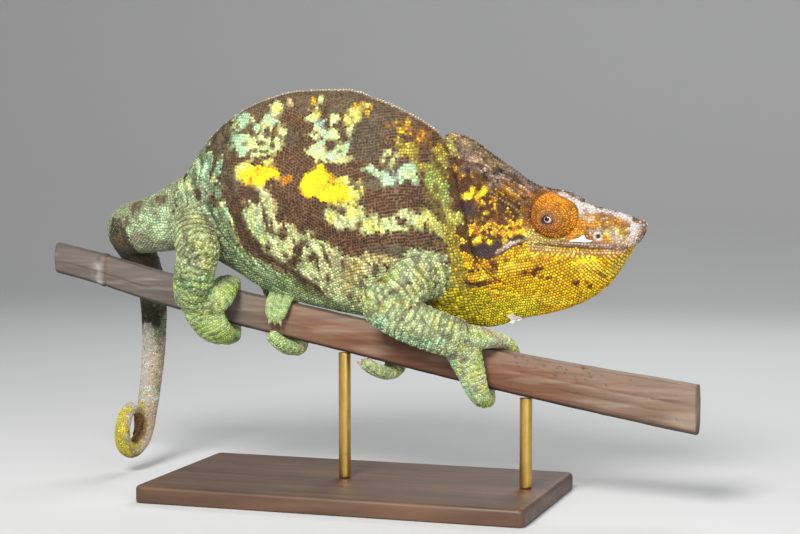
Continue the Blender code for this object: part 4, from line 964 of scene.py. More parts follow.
# Marks lie on the flanks as (x, z) in mm, laid one over another in this order. A blob is
# (x, z, half width, half height); a line is a row of (x, z, half width).
BODY_MARKS = [
    ("saddle", 1.0, [((-84, 203, 5), (-60, 219, 7), (-35, 227, 8), (-8, 228, 9), (17, 221, 9), (36, 212, 7))]),
    ("umber", 1.0, [(-74, 200, 8, 12), (-69, 180, 7.5, 9), (-78, 186, 3, 5)]),
    ("mint_dull", 1.1, [((-100, 176, 5), (-97, 168, 7), (-90, 160, 7), (-84, 150, 7), (-78, 138, 8)), ((-96, 150, 8), (-84, 134, 8), (-70, 124, 7), (-58, 116, 6), (-44, 110, 6))]),
    ("umber_dark", 1.0, [(13, 205, 12, 9), (12, 196, 9, 7), (-33, 205, 5, 8), ((2, 226, 3), (20, 218, 3), (30, 212, 3))]),
    ("mint_dull", 0.8, [((-96, 177, 2.5), (-90, 190, 3), (-84, 200, 2.2)), ((-92, 172, 2.5), (-86, 182, 4.5), (-82, 192, 3)), ((-86, 168, 2.5), (-83, 176, 4)), ((-79, 180, 1.8), (-75, 190, 1.6)), ((-80, 160, 4), (-74, 148, 4), (-66, 136, 4)), (-75, 158, 5, 9), (-76, 172, 2.5, 5), (-85, 164, 3, 3)]),
    ("mint", 0.7, [(-86, 183, 3.5, 4), (-83, 187, 2.5, 5), (-77, 185, 2.2, 3.5), ((-73, 166, 1.6), (-71, 154, 1.6), (-66, 142, 1.4)), ((-79, 160, 1.2), (-75, 150, 1.4), (-69, 139, 1.2))]),
    ("pale_green", 0.6, [(-96, 176, 3, 3.6), (-79, 181, 1.6, 3), ((-69, 158, 1.2), (-66, 148, 1.5), (-61, 140, 1.0)), (-75, 163, 1.6, 4)]),
    ("teal_dark", 0.4, [((-82, 165, 0.7), (-77, 154, 0.9), (-71.5, 143, 0.9), (-65, 133, 0.8)), ((-78, 168, 0.4), (-74, 156, 0.5), (-68, 144, 0.6), (-62, 135, 0.5)), (-88, 179, 1.2, 2.6), (-84, 172, 1.2, 2), (-86, 190, 0.9, 2.4), ((-71, 152, 0.5), (-68, 145, 0.8), (-66, 140, 0.4))]),
    # upper rear patch
    ("mint", 0.8, [(-61, 213, 4.5, 4), (-64, 203, 5.5, 5), (-61, 197, 5, 5), (-66, 199, 3, 4), (-53, 208, 3, 2.5), (-45, 213, 5, 3.5)]),
    ("pale_green", 0.9, [(-66, 211, 1.8, 2.6), (-57, 203, 5, 3.5), (-50, 202, 7, 3.6), (-47, 208, 3.5, 5.5), (-42, 201, 5, 4.5), (-38, 207, 3.2, 4), (-47, 197.5, 8, 2.4), (-55, 199, 5, 3)]),
    ("pale_green", 1.2, [(-52, 193.5, 8, 2.6)], ),
    ("umber_dark", 0.5, [(-62, 206, 3, 1.3), (-46.5, 205.6, 2.2, 2.8), (-66.5, 196, 1.2, 2.2), (-58, 193, 1.3, 2), (-55.5, 205.5, 1.6, 1.6), (-50, 200, 2.6, 1.3), (-43, 204, 1.0, 3), (-57, 209, 2, 2), (-49, 195.6, 3, 0.9), (-38.5, 203, 0.9, 2.6), (-60, 200, 1.6, 1.0), (-44, 199, 1.6, 1.2), (-53, 203.4, 0.9, 1.8)]),
    ("red_brown", 0.5, [(-41, 206, 1.3, 1.8), (-57, 195, 0.8, 1.6), (-36.4, 209, 0.7, 1.5)]),
    ("pale_green", 0.5, [(-40.5, 219, 4.2, 4.4)]),
    ("lemon", 0.5, [(-41, 220.4, 2.3, 2.6)]),
    ("peach", 0.4, [(-41.5, 215, 3.6, 0.9), (-33, 223.4, 1.3, 1.8), (-56, 214, 1.2, 1.2)]),
    # top spots
    ("gold", 0.4, [(-19, 223.4, 1.5, 2.6), (5.5, 221, 2.2, 1.5), (12.4, 217, 1.4, 1.4), (-39, 218, 1.0, 1.4)]),
    ("pale_green", 0.4, [(-14.6, 224.2, 1.6, 2.8), (-17, 220, 1, 1.4)]),
    ("lemon", 0.5, [(12, 221.4, 2.4, 1.7), (-22, 218.5, 1.1, 1.2), (8, 218, 1.6, 1.4)]),
    ("orange", 0.4, [(10, 222.6, 1.2, 0.8), (24, 210, 1.4, 0.9), (14.4, 219.6, 0.9, 0.9)]),
    ("umber", 0.9, [(-24, 219, 3, 2), (-7, 218, 6, 2.2), (2, 222, 2.5, 1.6), (18, 214, 3, 2)]),
    # middle patch
    ("pale_green", 0.8, [(-20, 213.6, 3.6, 2.3), (-19.6, 205, 4.2, 2.8), (-17.5, 208, 3, 3), (-7.5, 207, 3.6, 7), (-7, 214.4, 2.2, 1.6), (-16, 196, 5.5, 3.6), (-10.5, 192.6, 7, 3), (-4, 195, 5.2, 5.6), (-2, 191.6, 5, 2.4), (-9.4, 195, 3.6, 3), (1.4, 207, 2.6, 4.5)]),
    ("lemon", 0.6, [(-17, 215.6, 2.6, 2.6), (1.8, 213.6, 3.4, 3.6), (5.2, 214.8, 3.4, 3.6), (3.2, 217.6, 2.6, 1.6)]),
    ("mint", 0.6, [(-12, 205.4, 2.4, 3.4), (-8.5, 193, 3, 2), (-2, 194.6, 2.6, 2), (0.6, 199, 1.6, 2.6), (-17, 197, 2.2, 1.4), (-14.4, 201, 1.8, 1.2)]),
    ("ice", 0.5, [(-14, 211.4, 3.2, 2.4), (-18, 211.4, 1.2, 1.4)]),
    ("slate", 0.4, [(-12.4, 209.6, 1.5, 1.4), (-15, 213.6, 1, 0.9)]),
    ("stripe", 0.5, [(-8, 199.4, 2.6, 2.0), (-10, 197.6, 1.3, 1.5), (-5.4, 209.6, 2.4, 1.2), (-0.6, 204, 1.8, 3.2), (-10.6, 209.6, 0.9, 3), (3.4, 214, 1, 1), (-3, 195.4, 1.1, 0.8)]),
    # first yellow patch
    ("lemon", 0.8, [(-60.5, 183.5, 7, 6.6), (-47, 189.6, 3.6, 3.0), (-59, 189, 3, 2)]),
    ("yellow", 0.8, [(-59, 182, 5.4, 5), (-50, 182.4, 9, 6.0), (-53, 179, 6, 4.5), (-45, 181, 4, 4)]),
    ("peach", 0.7, [(-46.6, 173.6, 3.6, 3.2), (-43, 177.4, 2.4, 2), (-61.4, 186.6, 1.6, 1.8)]),
    ("orange", 0.4, [(-52.6, 185.2, 0.9, 2.0), (-56.6, 179, 0.8, 2.2), (-34, 180.4, 2.8, 1.9), (-36.4, 178, 1.4, 1), (-33, 182.2, 1.2, 1)]),
    # second yellow patch
    ("lemon", 1.0, [(-1, 177, 6, 4), (4.5, 172, 5.5, 5.5), (-3, 166.6, 7, 3.2), (3, 167, 4.4, 4), (8, 174, 3, 5)]),
    ("yellow", 0.8, [(-19.5, 177, 7.6, 7.2), (-15, 181.6, 5.6, 4.4), (-14.6, 186, 1.8, 2.2), (-12.5, 173.6, 11, 5.6), (-4.6, 171.4, 8, 4.8), (-8.6, 180, 2.4, 1.4)]),
    ("gold", 0.6, [(-8.6, 181.4, 1.2, 1.4), (-6, 178.4, 2, 1.4), (-13, 176, 1.4, 1.4)]),
    ("umber", 0.6, [(3.6, 178.6, 1.6, 2.2), (6.6, 176, 1.6, 2.2), (8.4, 172.6, 1.3, 2)]),
    # pale flank under the brown band
    ("flank", 1.3, [((-53, 170, 6), (-53, 158, 9.5), (-46, 147, 11.5), (-34, 138, 12), (-20, 130, 12), (-6, 124, 13), (6, 119, 12)), ((-34, 148, 6), (-20, 141, 6.5), (-5, 134, 7), (10, 131, 7), (18, 128, 6)), (-43, 168, 4, 7)]),
    ("pale_green", 0.9, [(-57, 162, 3.4, 6.5), (-56, 152, 2.6, 6), (-44, 161, 2.4, 5), (-33, 152, 3, 5), (-25, 149, 2, 4), (-14, 145, 4, 2.4), (-20, 150.6, 2.8, 1.6), (-17, 139, 2.6, 4), (-49, 146, 3, 4), (-36, 141, 3, 3), (-40, 150, 2.6, 4.6), (-28, 137, 3, 4.6), (-21, 133, 3, 5), (-10, 129, 3.4, 5), (0, 127, 3, 4), (-46, 166, 2.4, 5), (-29, 146, 2, 4)]),
    ("peach", 0.8, [(-42.6, 163.6, 1.5, 8), (-35.4, 153.4, 1.3, 5.5), (-33, 144, 1.0, 5), (-30.4, 152, 1.2, 3), (-38.4, 156.6, 1.5, 2.6), (-8, 131, 1.0, 8), (-13.6, 133, 1.0, 6), (-3.4, 136, 0.9, 6), (6, 133, 3.0, 4), (13, 135, 1.4, 4)]),
    ("mint_dull", 0.8, [(-52, 153, 1.4, 5), (-48, 158, 1.2, 5), (-45, 136, 3, 2), (-53, 163, 1, 5), (-60, 157, 1.1, 6)]),
    ("stripe", 0.7, [(-57, 172, 4.8, 4.2), (-53, 168.4, 3, 2.2), (-58.6, 166, 1.6, 2.4), (-44.6, 154.4, 1.2, 2.6), (-45.6, 151.4, 1.4, 1.2)]),
    ("brown", 0.5, [(-37, 149.2, 3.0, 3.4), (-38.6, 152, 1.4, 1.4), (-26.8, 143, 1.8, 3.8), (-19.6, 136.6, 3.8, 3.0), (-30.8, 134, 1.9, 3), (-14, 163, 3.2, 2.9), (-3, 162.8, 3.8, 3.2), (-5.6, 159.8, 1.8, 2), (7.4, 155, 2.0, 3.4), (-11, 125, 1.6, 4), (-2, 126.4, 2.4, 2.2), (8, 133, 1.2, 2.2), (-2.4, 133.6, 0.9, 1.6), (-47.4, 141.4, 1.4, 1.4)]),
    ("stripe", 0.7, [((-50, 166, 0.5), (-48, 157, 0.9), (-43, 148, 0.6)), ((-32, 150, 0.4), (-30, 141, 0.7), (-25.6, 133, 0.4)), ((-24, 146, 0.5), (-21, 138, 0.8), (-15.6, 130, 0.5)), ((-13.6, 144, 0.5), (-11, 135, 0.9), (-6.6, 126, 0.5)), ((-4, 141, 0.4), (-1, 132, 0.6), (3.4, 122, 0.4)), ((-37, 138, 0.4), (-33, 133, 0.6), (-28, 128, 0.4)), ((-20, 128, 0.4), (-16, 123, 0.6), (-11, 118, 0.4)), ((6, 138, 0.4), (9, 131, 0.7), (12.4, 125, 0.4))]),
    ("brown", 1.0, [((-44, 176, 3), (-38, 168, 4), (-30, 163, 6), (-20, 158, 6), (-8, 151, 5.5), (4, 148, 5.5), (18, 146, 6), (32, 145, 6), (46, 147, 4.6), (60, 147.6, 2.6))]),
    # pale band over the brown one
    ("pale_green", 1.0, [((-10, 161, 3), (-4, 160, 6), (4, 160, 6.5), (12, 156, 5.6), (22, 155.4, 5), (32, 156.4, 4.6), (42, 157.6, 4.6), (52, 155, 4), (60, 148.4, 3.2))]),
    ("lemon", 0.8, [(4, 163, 4, 4), (12, 156, 4, 3), (19, 153, 4, 2.4), ((44, 157, 2), (52, 154, 2.4), (62, 147, 2.2), (68, 141, 1.5)), (-9, 158, 2, 4)]),
    ("flank", 0.8, [(36, 162, 4.4, 2.4), (28, 157.6, 2.6, 2.6), (-2.4, 155.6, 4.8, 2.6), (46.6, 161.4, 3.6, 2)]),
    ("brown", 0.5, [(-3, 163, 3.6, 2.6), (7.4, 155.4, 1.9, 3.2), (33, 157, 3.2, 2.2), (30.4, 159, 1.2, 1.2), (19.4, 157.4, 1.3, 3), (38.4, 153, 1.6, 1.8), (46.4, 154.6, 1.7, 2.2), (24.6, 151.6, 1.2, 1.3), (51, 151.6, 1.2, 1.3)]),
    # front patch
    ("umber", 0.8, [(30, 186, 12, 7), (16, 178, 7, 3.4)]),
    ("mint", 0.8, [(12.5, 187, 3.6, 2.4), (17, 184, 4.4, 2.2), (22, 183.4, 3.2, 2.6), (25.6, 179, 4.2, 2.9), (36, 184.6, 5.6, 4.6), (40, 180.4, 2.6, 3.6), (32.6, 180, 2.6, 2.4), (37.4, 188, 3.4, 2)]),
    ("pale_green", 0.7, [(27, 190, 2.6, 4.4), (25, 195, 2.4, 2.2), (22, 191, 1.6, 1.4), (29.6, 194, 1.8, 2.4), (37, 182.6, 3, 2.2)]),
    ("stripe", 0.5, [(12.6, 183.4, 2.8, 1.1), (35.6, 179.2, 2.0, 1.3), (28.4, 186.6, 1.3, 2.2), (20, 186, 1.3, 1.4), (15, 181.4, 2.6, 1)]),
    ("slate", 0.6, [(27.6, 184.4, 1.2, 2.4), (29.4, 175.6, 1.2, 4.4)]),
    # over the shoulder
    ("neck", 1.2, [(36, 197, 7, 4.6), (30, 203, 3, 3), (46, 187, 4.5, 6), (40, 193, 4, 3)]),
    ("red_brown", 0.9, [(43, 205, 6, 5), (34, 209, 5, 3)]),
    ("orange", 0.9, [(34.6, 210.4, 2.0, 1.4), (38, 208.6, 2.0, 1.4), (44.6, 205.6, 1.4, 2.4), (41, 203, 1.8, 1.6)]),
    ("gold", 0.8, [(33, 207.6, 3.0, 2.2), (37.6, 205.6, 2.0, 1.8), (42.4, 202.4, 1.6, 1.6), (30, 211.6, 2.0, 1.4), (36, 211.6, 1.4, 1.0), (40, 206.6, 1.0, 2.0)]),
    ("red_brown", 1.0, [(49, 198, 5.4, 4.6), (46, 193, 4, 3), (53.6, 200.4, 2.6, 2.6), (36.8, 204, 1.3, 1.2)]),
    ("brown", 0.8, [(47, 193.4, 3.2, 3.4), (45, 181, 2.4, 5), ((36, 191, 1.0), (30, 189.6, 1.6))]),
    # neck
    ("neck", 0.9, [((55, 198, 2.5), (55, 190, 5), (54, 182, 7), (57, 172, 8), (61, 162, 8), (64, 152, 7), (68, 142, 4))]),
    ("green", 0.9, [(50, 182.6, 4, 4.4), (56.6, 176, 4.6, 5), (52, 187, 2.4, 2.6), (49.4, 176.6, 1.4, 2.6), (58, 169, 2.6, 3.4)]),
    ("neck_brown", 0.8, [((50, 192, 1.2), (56, 186, 2.6), (59, 181, 1)), ((47, 172, 2.0), (53, 164, 3.0), (60, 156, 1.4)), ((60, 167, 0.9), (65, 157, 1.2), (69, 147, 0.8)), (52, 176, 1.2, 2.6), (56, 145.6, 4, 1.6), (62, 137, 1.0, 5)]),
    ("lemon", 0.6, [((62, 172, 1.1), (65.5, 160, 1.4), (68.4, 152, 1.1)), ((57, 165, 0.9), (63, 156, 1.2), (67.6, 146, 1.0)), ((44, 163.6, 1.0), (54, 155.6, 1.6), (61, 149, 1.6), (66, 141, 1.6), (67, 134, 1.4)), (54, 192, 1.6, 1.4), (58, 187, 1.2, 1.6), (51, 196.6, 1.4, 0.8), (53.6, 139, 3.6, 1.4), (60, 131, 1.2, 6)]),
    ("gold", 0.6, [((66, 142, 1.0), (67, 132, 1.4), (66.4, 125, 1.0)), ((63, 153, 0.6), (68, 143, 0.8)), (54.4, 198, 1.0, 1.4)]),
    ("neck", 1.0, [((60, 151, 5), (64, 143, 6), (65, 134, 6), (64, 125, 5))]),
    ("gold", 0.8, [((64, 150, 1.2), (67, 143, 1.4), (68, 134, 1.4), (67, 126, 1.2)), ((61, 147, 0.8), (63, 139, 1.0), (64, 130, 1.0))]),
    ("neck_brown", 0.8, [((62.6, 148, 0.6), (65, 139, 0.7), (66, 128, 0.6))]),
    # by the arm
    ("tan_flank", 1.1, [(6, 130, 8, 8), (2, 120, 7, 9), (14, 136, 6, 5), (24, 137, 5, 3)]),
    ("flank", 0.8, [(-4, 122, 2.4, 7), (6, 120, 2, 8), (12, 128, 2, 6), (0, 113, 5, 4)]),
    ("umber", 0.6, [(20, 142, 8, 3), (31, 141, 7, 3.4), (2.4, 115, 2.2, 2.6), (-1, 133, 1.2, 3), (9, 124, 1.0, 3), (17, 131, 1.6, 3.4), (3, 127, 1, 2.4)]),
    ("tan", 0.5, [((-1, 137, 0.5), (2, 129, 0.6), (7, 121, 0.5)), ((3, 136, 0.4), (8, 127, 0.5), (12, 121, 0.4))]),
    ("crest", 0.5, [(31, 135, 2.2, 1.8), (34.6, 136.6, 1.2, 1.2), (26.4, 133, 1.8, 1)]),
    # belly and the narrow stripe
    ("belly", 0.9, [((-76, 156, 3), (-71, 147, 4), (-65, 138, 5.5), (-56, 130, 6.5), (-45, 123, 7.5), (-32, 117.6, 8), (-20, 112, 7.4), (-8, 106, 6), (4, 103, 5))]),
    ("mint_dull", 0.7, [((-66, 133, 1.8), (-56, 124, 2.2), (-44, 116.6, 1.6)), ((-40, 113.6, 1.3), (-25, 109.6, 1.6), (-10, 106.2, 1.5), (2, 104, 1.2)), ((-60, 138, 1.2), (-52, 130, 1.6), (-44, 125, 1.2)), (-50, 126, 3.4, 1.6)]),
    ("green", 0.9, [((-40, 125, 1.2), (-30, 120, 1.6), (-20, 115, 1.2)), (-35, 117, 3, 1.2), (-16, 110.6, 3, 1)]),
    ("teal_dark", 0.5, [((-62, 134, 0.5), (-54, 126, 0.6), (-46, 120, 0.4)), (-41, 121, 1.0, 1.2), ((-52, 124, 0.4), (-42, 117, 0.5), (-30, 112, 0.4))]),
    ("stripe", 0.5, [((-31, 122.4, 0.8), (-26, 119, 1.1), (-20, 116.6, 0.6)), ((-12, 113, 0.5), (-6, 108.6, 0.8), (2, 106.4, 0.5))]),
    ("stripe", 0.6, [((-69.4, 178, 3.4), (-69, 171, 2.8), (-67, 165, 2.8), (-64.6, 158, 2.8), (-60.6, 150, 3.0), (-55.6, 143.6, 3.1), (-49.6, 138, 2.8), (-42, 133.4, 2.3), (-35, 130.4, 2.5), (-29.6, 127, 2.6), (-24, 122.8, 2.2), (-18, 120, 2.2), (-12.4, 114.4, 1.9), (-8, 110.6, 1.3), (-3, 107.4, 0.8))]),
    ("red_brown", 0.5, [(-70, 169.6, 1.2, 1.2), (-66.4, 163, 0.9, 2)]),
]
HEAD_MARKS = [
    ("casque", 0.5, [((53, 199, 7), (62, 197, 9), (74, 189, 9), (86, 182, 8.4), (97, 179, 6), (106, 175, 3))]),
    ("casque_tan", 0.8, [((66, 202, 1.6), (78, 195, 2.0), (90, 187.4, 1.6)), ((64, 199, 0.7), (76, 192.4, 1.0), (88, 185, 0.8)), ((70, 191, 0.6), (80, 189, 1.2), (92, 183, 0.8)), ((62, 206, 1.6), (72, 200, 1.4))]),
    ("fleck", 0.6, [(66, 196.4, 1.8, 1.4), (70.4, 192, 1.6, 1.4), (84.6, 182.4, 3.6, 1.4), (82, 178.2, 1.8, 1.8), (78, 186.6, 2.2, 1.2), (75, 190.4, 2, 0.9), (62, 200.6, 1.2, 1), (86.4, 178, 2.4, 1.1), (91, 181, 2, 0.8), ((88, 189.6, 0.6), (97, 183.6, 1.0), (104, 178.6, 1.0)), (99, 176.6, 3, 0.9), (71, 196, 2, 0.6), (58.6, 206, 2, 0.8)]),
    ("tan", 0.9, [(58.4, 199, 2.6, 6), (62, 195, 2.6, 3.4), (59.6, 203.6, 2.4, 2)]),
    ("lemon", 0.5, [(59, 202.6, 1.0, 1.4), (58.4, 199.6, 1.2, 1), (62.6, 193.6, 1.2, 1.2), (74, 190, 1.0, 0.8)]),
    ("speck_and_shade", 0.6, [(64.6, 189.6, 3.4, 2.2), (77.6, 181.6, 1.6, 3), (61, 192.6, 1.2, 1), (66, 175.6, 1.6, 1.6), (77, 188.6, 0.9, 0.7), (85, 186.6, 0.9, 0.8)]),
    ("plum", 0.6, [(69, 186.6, 2.6, 3), (72, 184, 1.4, 2), (67.6, 192, 1.2, 1.4), (69.6, 178.4, 1.0, 2.2), (80, 183.6, 1.6, 1.4), (87, 184.6, 1.4, 0.8)]),
    ("cheek_orange", 0.7, [(65.6, 181, 2.4, 3.4), (74, 179.6, 3.4, 2.2), (67, 177, 1.4, 2), (73, 183.4, 2, 1.6), (92, 178.6, 4, 1.6), (88, 177, 2, 1)]),
    ("gold", 0.4, [(61.6, 186.6, 0.8, 1.8), (66.6, 182.8, 0.8, 1.2), (71.6, 183, 0.9, 1.2), (73.4, 177.8, 1.4, 0.6), (82.4, 178.8, 0.9, 0.8), (64.4, 178, 0.7, 1.6)]),
    # behind the eye
    ("rust", 0.7, [((84, 175, 1.6), (92, 173.6, 3.4), (100, 170, 4.5), (106, 168, 6)), (103, 158, 4.5, 9)]),
    ("rust_brown", 0.7, [(101, 171, 2, 2), (92, 170.4, 3, 1), (103, 166, 1.8, 1.8), (96.6, 176, 3, 1), (106, 172, 2.6, 1.4), (103.6, 158, 1.6, 4)]),
    ("gold", 0.6, [(88.6, 173.2, 2.6, 1.1), (93, 172.6, 2.2, 1.3), (96.4, 171.6, 1.2, 1.1), (84.6, 175.4, 1.4, 0.8), (91, 175.6, 1.6, 0.6)]),
    ("yellow", 0.4, [(89, 173, 1.3, 0.6), (93.4, 172.2, 1.1, 0.6)]),
    ("fleck", 0.4, [(102.6, 169, 1.0, 0.8), (98, 168.6, 0.8, 0.8), (102, 172.6, 1.4, 0.6), (86, 176, 1.4, 0.8), (94, 175, 1.5, 0.5)]),
    # cheek
    ("cheek", 0.5, [((68, 176, 2.0), (70, 166, 5), (76, 156, 6), (82, 147, 7), (92, 148, 4)), ((74, 172, 6), (84, 164, 9), (92, 157, 8), (96, 153, 6)), (80, 150, 12, 7), (68, 178, 4, 4)]),
    ("cheek_orange", 0.8, [(84, 160, 3, 3), (79, 167.6, 3, 2), (93, 158.6, 3, 2), (74, 153, 3, 3), (88, 152, 4, 2.4)]),
    ("plum", 0.6, [(69.6, 163.6, 4.6, 4.4), (73, 166.4, 2.4, 1.6), (80, 142.6, 6.4, 3.8), (75.4, 142, 3.4, 3.2), (85, 146, 4.6, 2), (93, 149, 7, 1.4), (80.4, 157.4, 1.6, 1.8), (100, 149, 4, 1.3)]),
    ("gold", 0.55, [(83.4, 170.6, 2.2, 1.5), (85.4, 167, 2.9, 1.6), (88.4, 167.8, 1.8, 1.3), (84.2, 164.6, 2.0, 1.4), (85.4, 162.4, 0.9, 0.9), (91.6, 163.6, 1.5, 1.0), (92.6, 161.2, 1.0, 1.8), (89.6, 160, 1.0, 0.8), (73.8, 172, 1.0, 1.6), (75.4, 170.6, 0.9, 1.7), (70.6, 155.4, 1.7, 3.6), (80, 151, 1.9, 1.8), (87, 152, 1.5, 1.3), (93, 152, 1.6, 1.4), (78.4, 149.6, 2.4, 1.7), (86, 149.2, 1.4, 0.9), (74, 159, 0.9, 1.4), (98.4, 163.6, 1.0, 1.8)]),
    ("yellow", 0.45, [(68.4, 171.6, 3.7, 2.5), (71.2, 174.4, 1.7, 2.1), (78.6, 176, 1.3, 1.7), (77, 173.2, 1.2, 0.9), (76.6, 168.4, 1.9, 1.1), (75.5, 165, 0.7, 1.4), (79, 162.4, 1.1, 0.9), (97, 158, 2.2, 1.8), (94.4, 156.4, 1.8, 1.0), (92, 155.2, 1.4, 1.1), (96.2, 160.4, 1.0, 0.9), (101.6, 153.4, 2.2, 2.6), (97, 152.6, 1.8, 1.5), (73, 157.6, 0.8, 3.2), (76.8, 158.6, 0.9, 1.8), (77.6, 152.2, 1.9, 1.6), (83, 152, 2.2, 1.3), (87.6, 155.4, 1.4, 0.8), (90.4, 151.4, 1.7, 1.0), (74.2, 147.8, 2.6, 2.0), (81, 147, 1.9, 1.2), (89.6, 147.6, 1.2, 1.8), (70.2, 152, 0.9, 1.6), (93.4, 150.4, 1.0, 1.0)]),
    ("lemon", 0.4, [(96.6, 157.6, 1.1, 0.9), (69, 171, 1.4, 1.2), (101.6, 153.6, 1.1, 1.6), (77.4, 151.8, 1.0, 0.8), (73.8, 148, 1.1, 0.9)]),
    ("tan", 0.4, [((82, 174.6, 0.9), (86, 171, 1.2), (91, 168, 1.1), (96, 165, 1.0), (98.6, 161.4, 1.0))]),
    ("tan", 0.35, [((83, 173.4, 0.7), (87, 170.4, 0.9), (92, 167.4, 0.8), (96.4, 164.8, 0.9), (98.8, 161, 0.8)), ((101.4, 159, 0.7), (101.6, 155.6, 0.6), (103.4, 151.6, 0.8))]),
    ("tan", 0.4, [((104, 162, 0.6), (103.6, 156, 0.6), (106, 150.6, 0.6))]),
    # snout
    ("snout", 0.6, [((126, 162, 4), (134, 156, 9), (146, 154, 10), (158, 152, 9)), (128, 154, 6, 6), (152, 148, 10, 4)]),
    ("snout_grey", 0.8, [(163, 153, 4.4, 6), (160, 147, 5, 3.4), (149, 151.6, 2.0, 3), (141.6, 154.6, 3, 1.6), (137, 152.6, 3, 2)]),
    ("red_brown", 0.6, [(138.6, 151.4, 1.2, 2.2), (134.6, 151.6, 1.6, 1.6), (144.6, 155.4, 1.4, 0.9), (165.6, 152, 1.4, 2), (140, 147.6, 2.4, 0.9)]),
    ("orange", 0.6, [((127.6, 163, 2.2), (128.4, 157, 2.6), (126.6, 151.6, 2.0)), (131.6, 155, 3.0, 3.4), (138, 157, 2.2, 1.5), (137, 161.4, 1.5, 1.4), (146, 149.2, 2.2, 1.9), (135, 158.4, 1.2, 1.0), (124.6, 166, 2, 2), (152, 158.6, 1.2, 1.8), (147.6, 160, 1.4, 0.8)]),
    ("gold", 0.5, [(131.8, 154.2, 1.6, 2.2), (141.6, 157.6, 0.9, 1.5), (129.4, 151.6, 1.0, 1.4), (131, 150.6, 1.6, 0.8)]),
    ("lemon", 0.5, [(147.6, 158, 1.6, 0.8), (155.8, 154, 1.2, 1.0), (151.6, 154.4, 0.9, 0.8), (145.6, 153.6, 0.8, 0.9), (153.6, 151, 0.9, 0.9), (131.4, 162.6, 0.9, 0.8)]),
    ("fleck", 0.5, [(149.6, 152, 1.2, 1.8), (132, 161.6, 2.4, 2), (136.6, 159.6, 1.4, 1.0), (144, 160.6, 1.6, 0.9), (158, 150, 3.6, 2.0), (156, 148.6, 2.2, 1.2), (151.4, 149.4, 1.0, 1.6)]),
    ("white", 0.6, [((112, 175.6, 0.6), (117, 174.6, 0.8), (122, 172.4, 1.3), (127, 170, 1.6), (132, 167.4, 2.2), (138, 165.4, 2.4), (144, 164.4, 1.3), (151, 163.2, 1.4), (157, 160.6, 2.2), (161, 157.6, 2.2)), (159.6, 154.6, 2.4, 2.6), (130, 165.6, 2.4, 1.4)]),
    ("slate", 0.35, [(135.8, 149.2, 1.2, 0.7), (165, 156, 0.7, 0.8), (163, 149, 1.2, 0.8)]),
    # under the eye and along the lips
    ("tan", 0.7, [((105, 149.8, 1.4), (113, 149.4, 2.0), (122, 149.4, 1.6)), (110, 150.6, 3, 1.4)]),
    ("tan", 0.5, [((98, 147.4, 0.8), (104, 147.8, 1.2), (112, 147.4, 1.2), (122, 146.6, 1.0))]),
    ("lip", 0.4, [((116, 147, 0.8), (122, 146.6, 1.2), (134, 146.2, 1.3), (146, 145.8, 1.2), (156, 145.6, 1.4))]),
    ("slate", 0.35, [((123, 147, 0.8), (130, 146.6, 1.1), (136, 146.6, 0.7)), (140.6, 147.4, 1.6, 0.6), (116.4, 145.8, 1.6, 0.5)]),
    ("fleck", 0.25, [((85.4, 141.0, 0.7), (89, 143.4, 1.2), (94, 146.4, 1.4), (98, 147.8, 1.0))]),
    ("white", 0.2, [((90.6, 144.8, 0.5), (94, 146.6, 0.8), (96.4, 147.2, 0.5))]),
]
THROAT_MARKS = [
    ("throat_green", 1.2, [((58, 108, 12), (76, 108, 12), (92, 112, 8), (106, 112, 4)), (70, 116, 12, 5)]),
    ("throat_orange", 1.0, [(78, 131, 8, 5.4), (72, 128, 5, 4), (86, 126, 8, 2.6), (88, 117, 4, 1.4), (100, 132, 5, 3), (110, 138, 10, 3), (126, 126, 8, 2), (70, 118, 8, 1.6)]),
    ("throat_pale", 1.1, [(134, 136, 12, 3.2), (104, 141, 7, 2.0), (94, 134, 6, 2.4), (140, 130, 8, 2), (84, 129, 3, 1.4), (76, 127.4, 4, 1.4), (116, 116, 12, 2)]),
    ("yellow", 0.8, [(131, 137.6, 4, 2), (141, 138.4, 4, 1.2), (122, 139.4, 4, 1.0), (76, 132, 2, 1.4), (112, 140.6, 3, 1.0)], 0.9, 0.75),
    # brown specks under the jaw; the band at (64, 121.6) is painted shade in the fold below the jaw
    ("speck_and_shade", 0.6, [(109, 132.6, 1.8, 1.3), (106.6, 131, 1, 1), (120.6, 136.6, 3.4, 1.0), (124.6, 137.6, 2.0, 1.3), (84, 134.6, 2.2, 1.5), (90, 137.6, 1.8, 1.0), (83, 131.4, 2, 1.1), (134, 126, 1.2, 0.9), (142, 131, 1.3, 0.7), (144.6, 129.4, 1.2, 0.7), (101, 130.6, 0.9, 0.9), (73, 135, 0.7, 3.6), (129, 125.6, 1.8, 0.8), (80, 125, 5, 0.8), (64, 121.6, 5, 1.4), (137, 124.4, 1.4, 0.7), (112, 128.4, 2.4, 0.5)]),
    ("chin", 0.6, [(154, 141.6, 5.4, 3), (149, 139.6, 3, 1.2)]),
    ("chin_pale", 0.6, [(153, 136, 4.6, 3.6), (148, 132, 4, 1.5), (150, 134.6, 3, 2), (158, 139, 1.4, 3)]),
    ("lip_row", 0.4, [((104, 143.2, 1.2), (114, 142.4, 1.7), (126, 141.6, 1.9), (138, 141.6, 1.7), (150, 141.8, 1.4))]),
    ("throat_orange", 0.4, [(96.6, 141.4, 2.4, 1.0), (100, 142, 1.0, 0.7)]),
    ("lip", 0.3, [((142, 143.4, 0.5), (150, 143.0, 0.9), (156, 143.4, 0.7)), ((104, 145.6, 0.5), (112, 145, 0.6), (118, 144.4, 0.5))]),
]
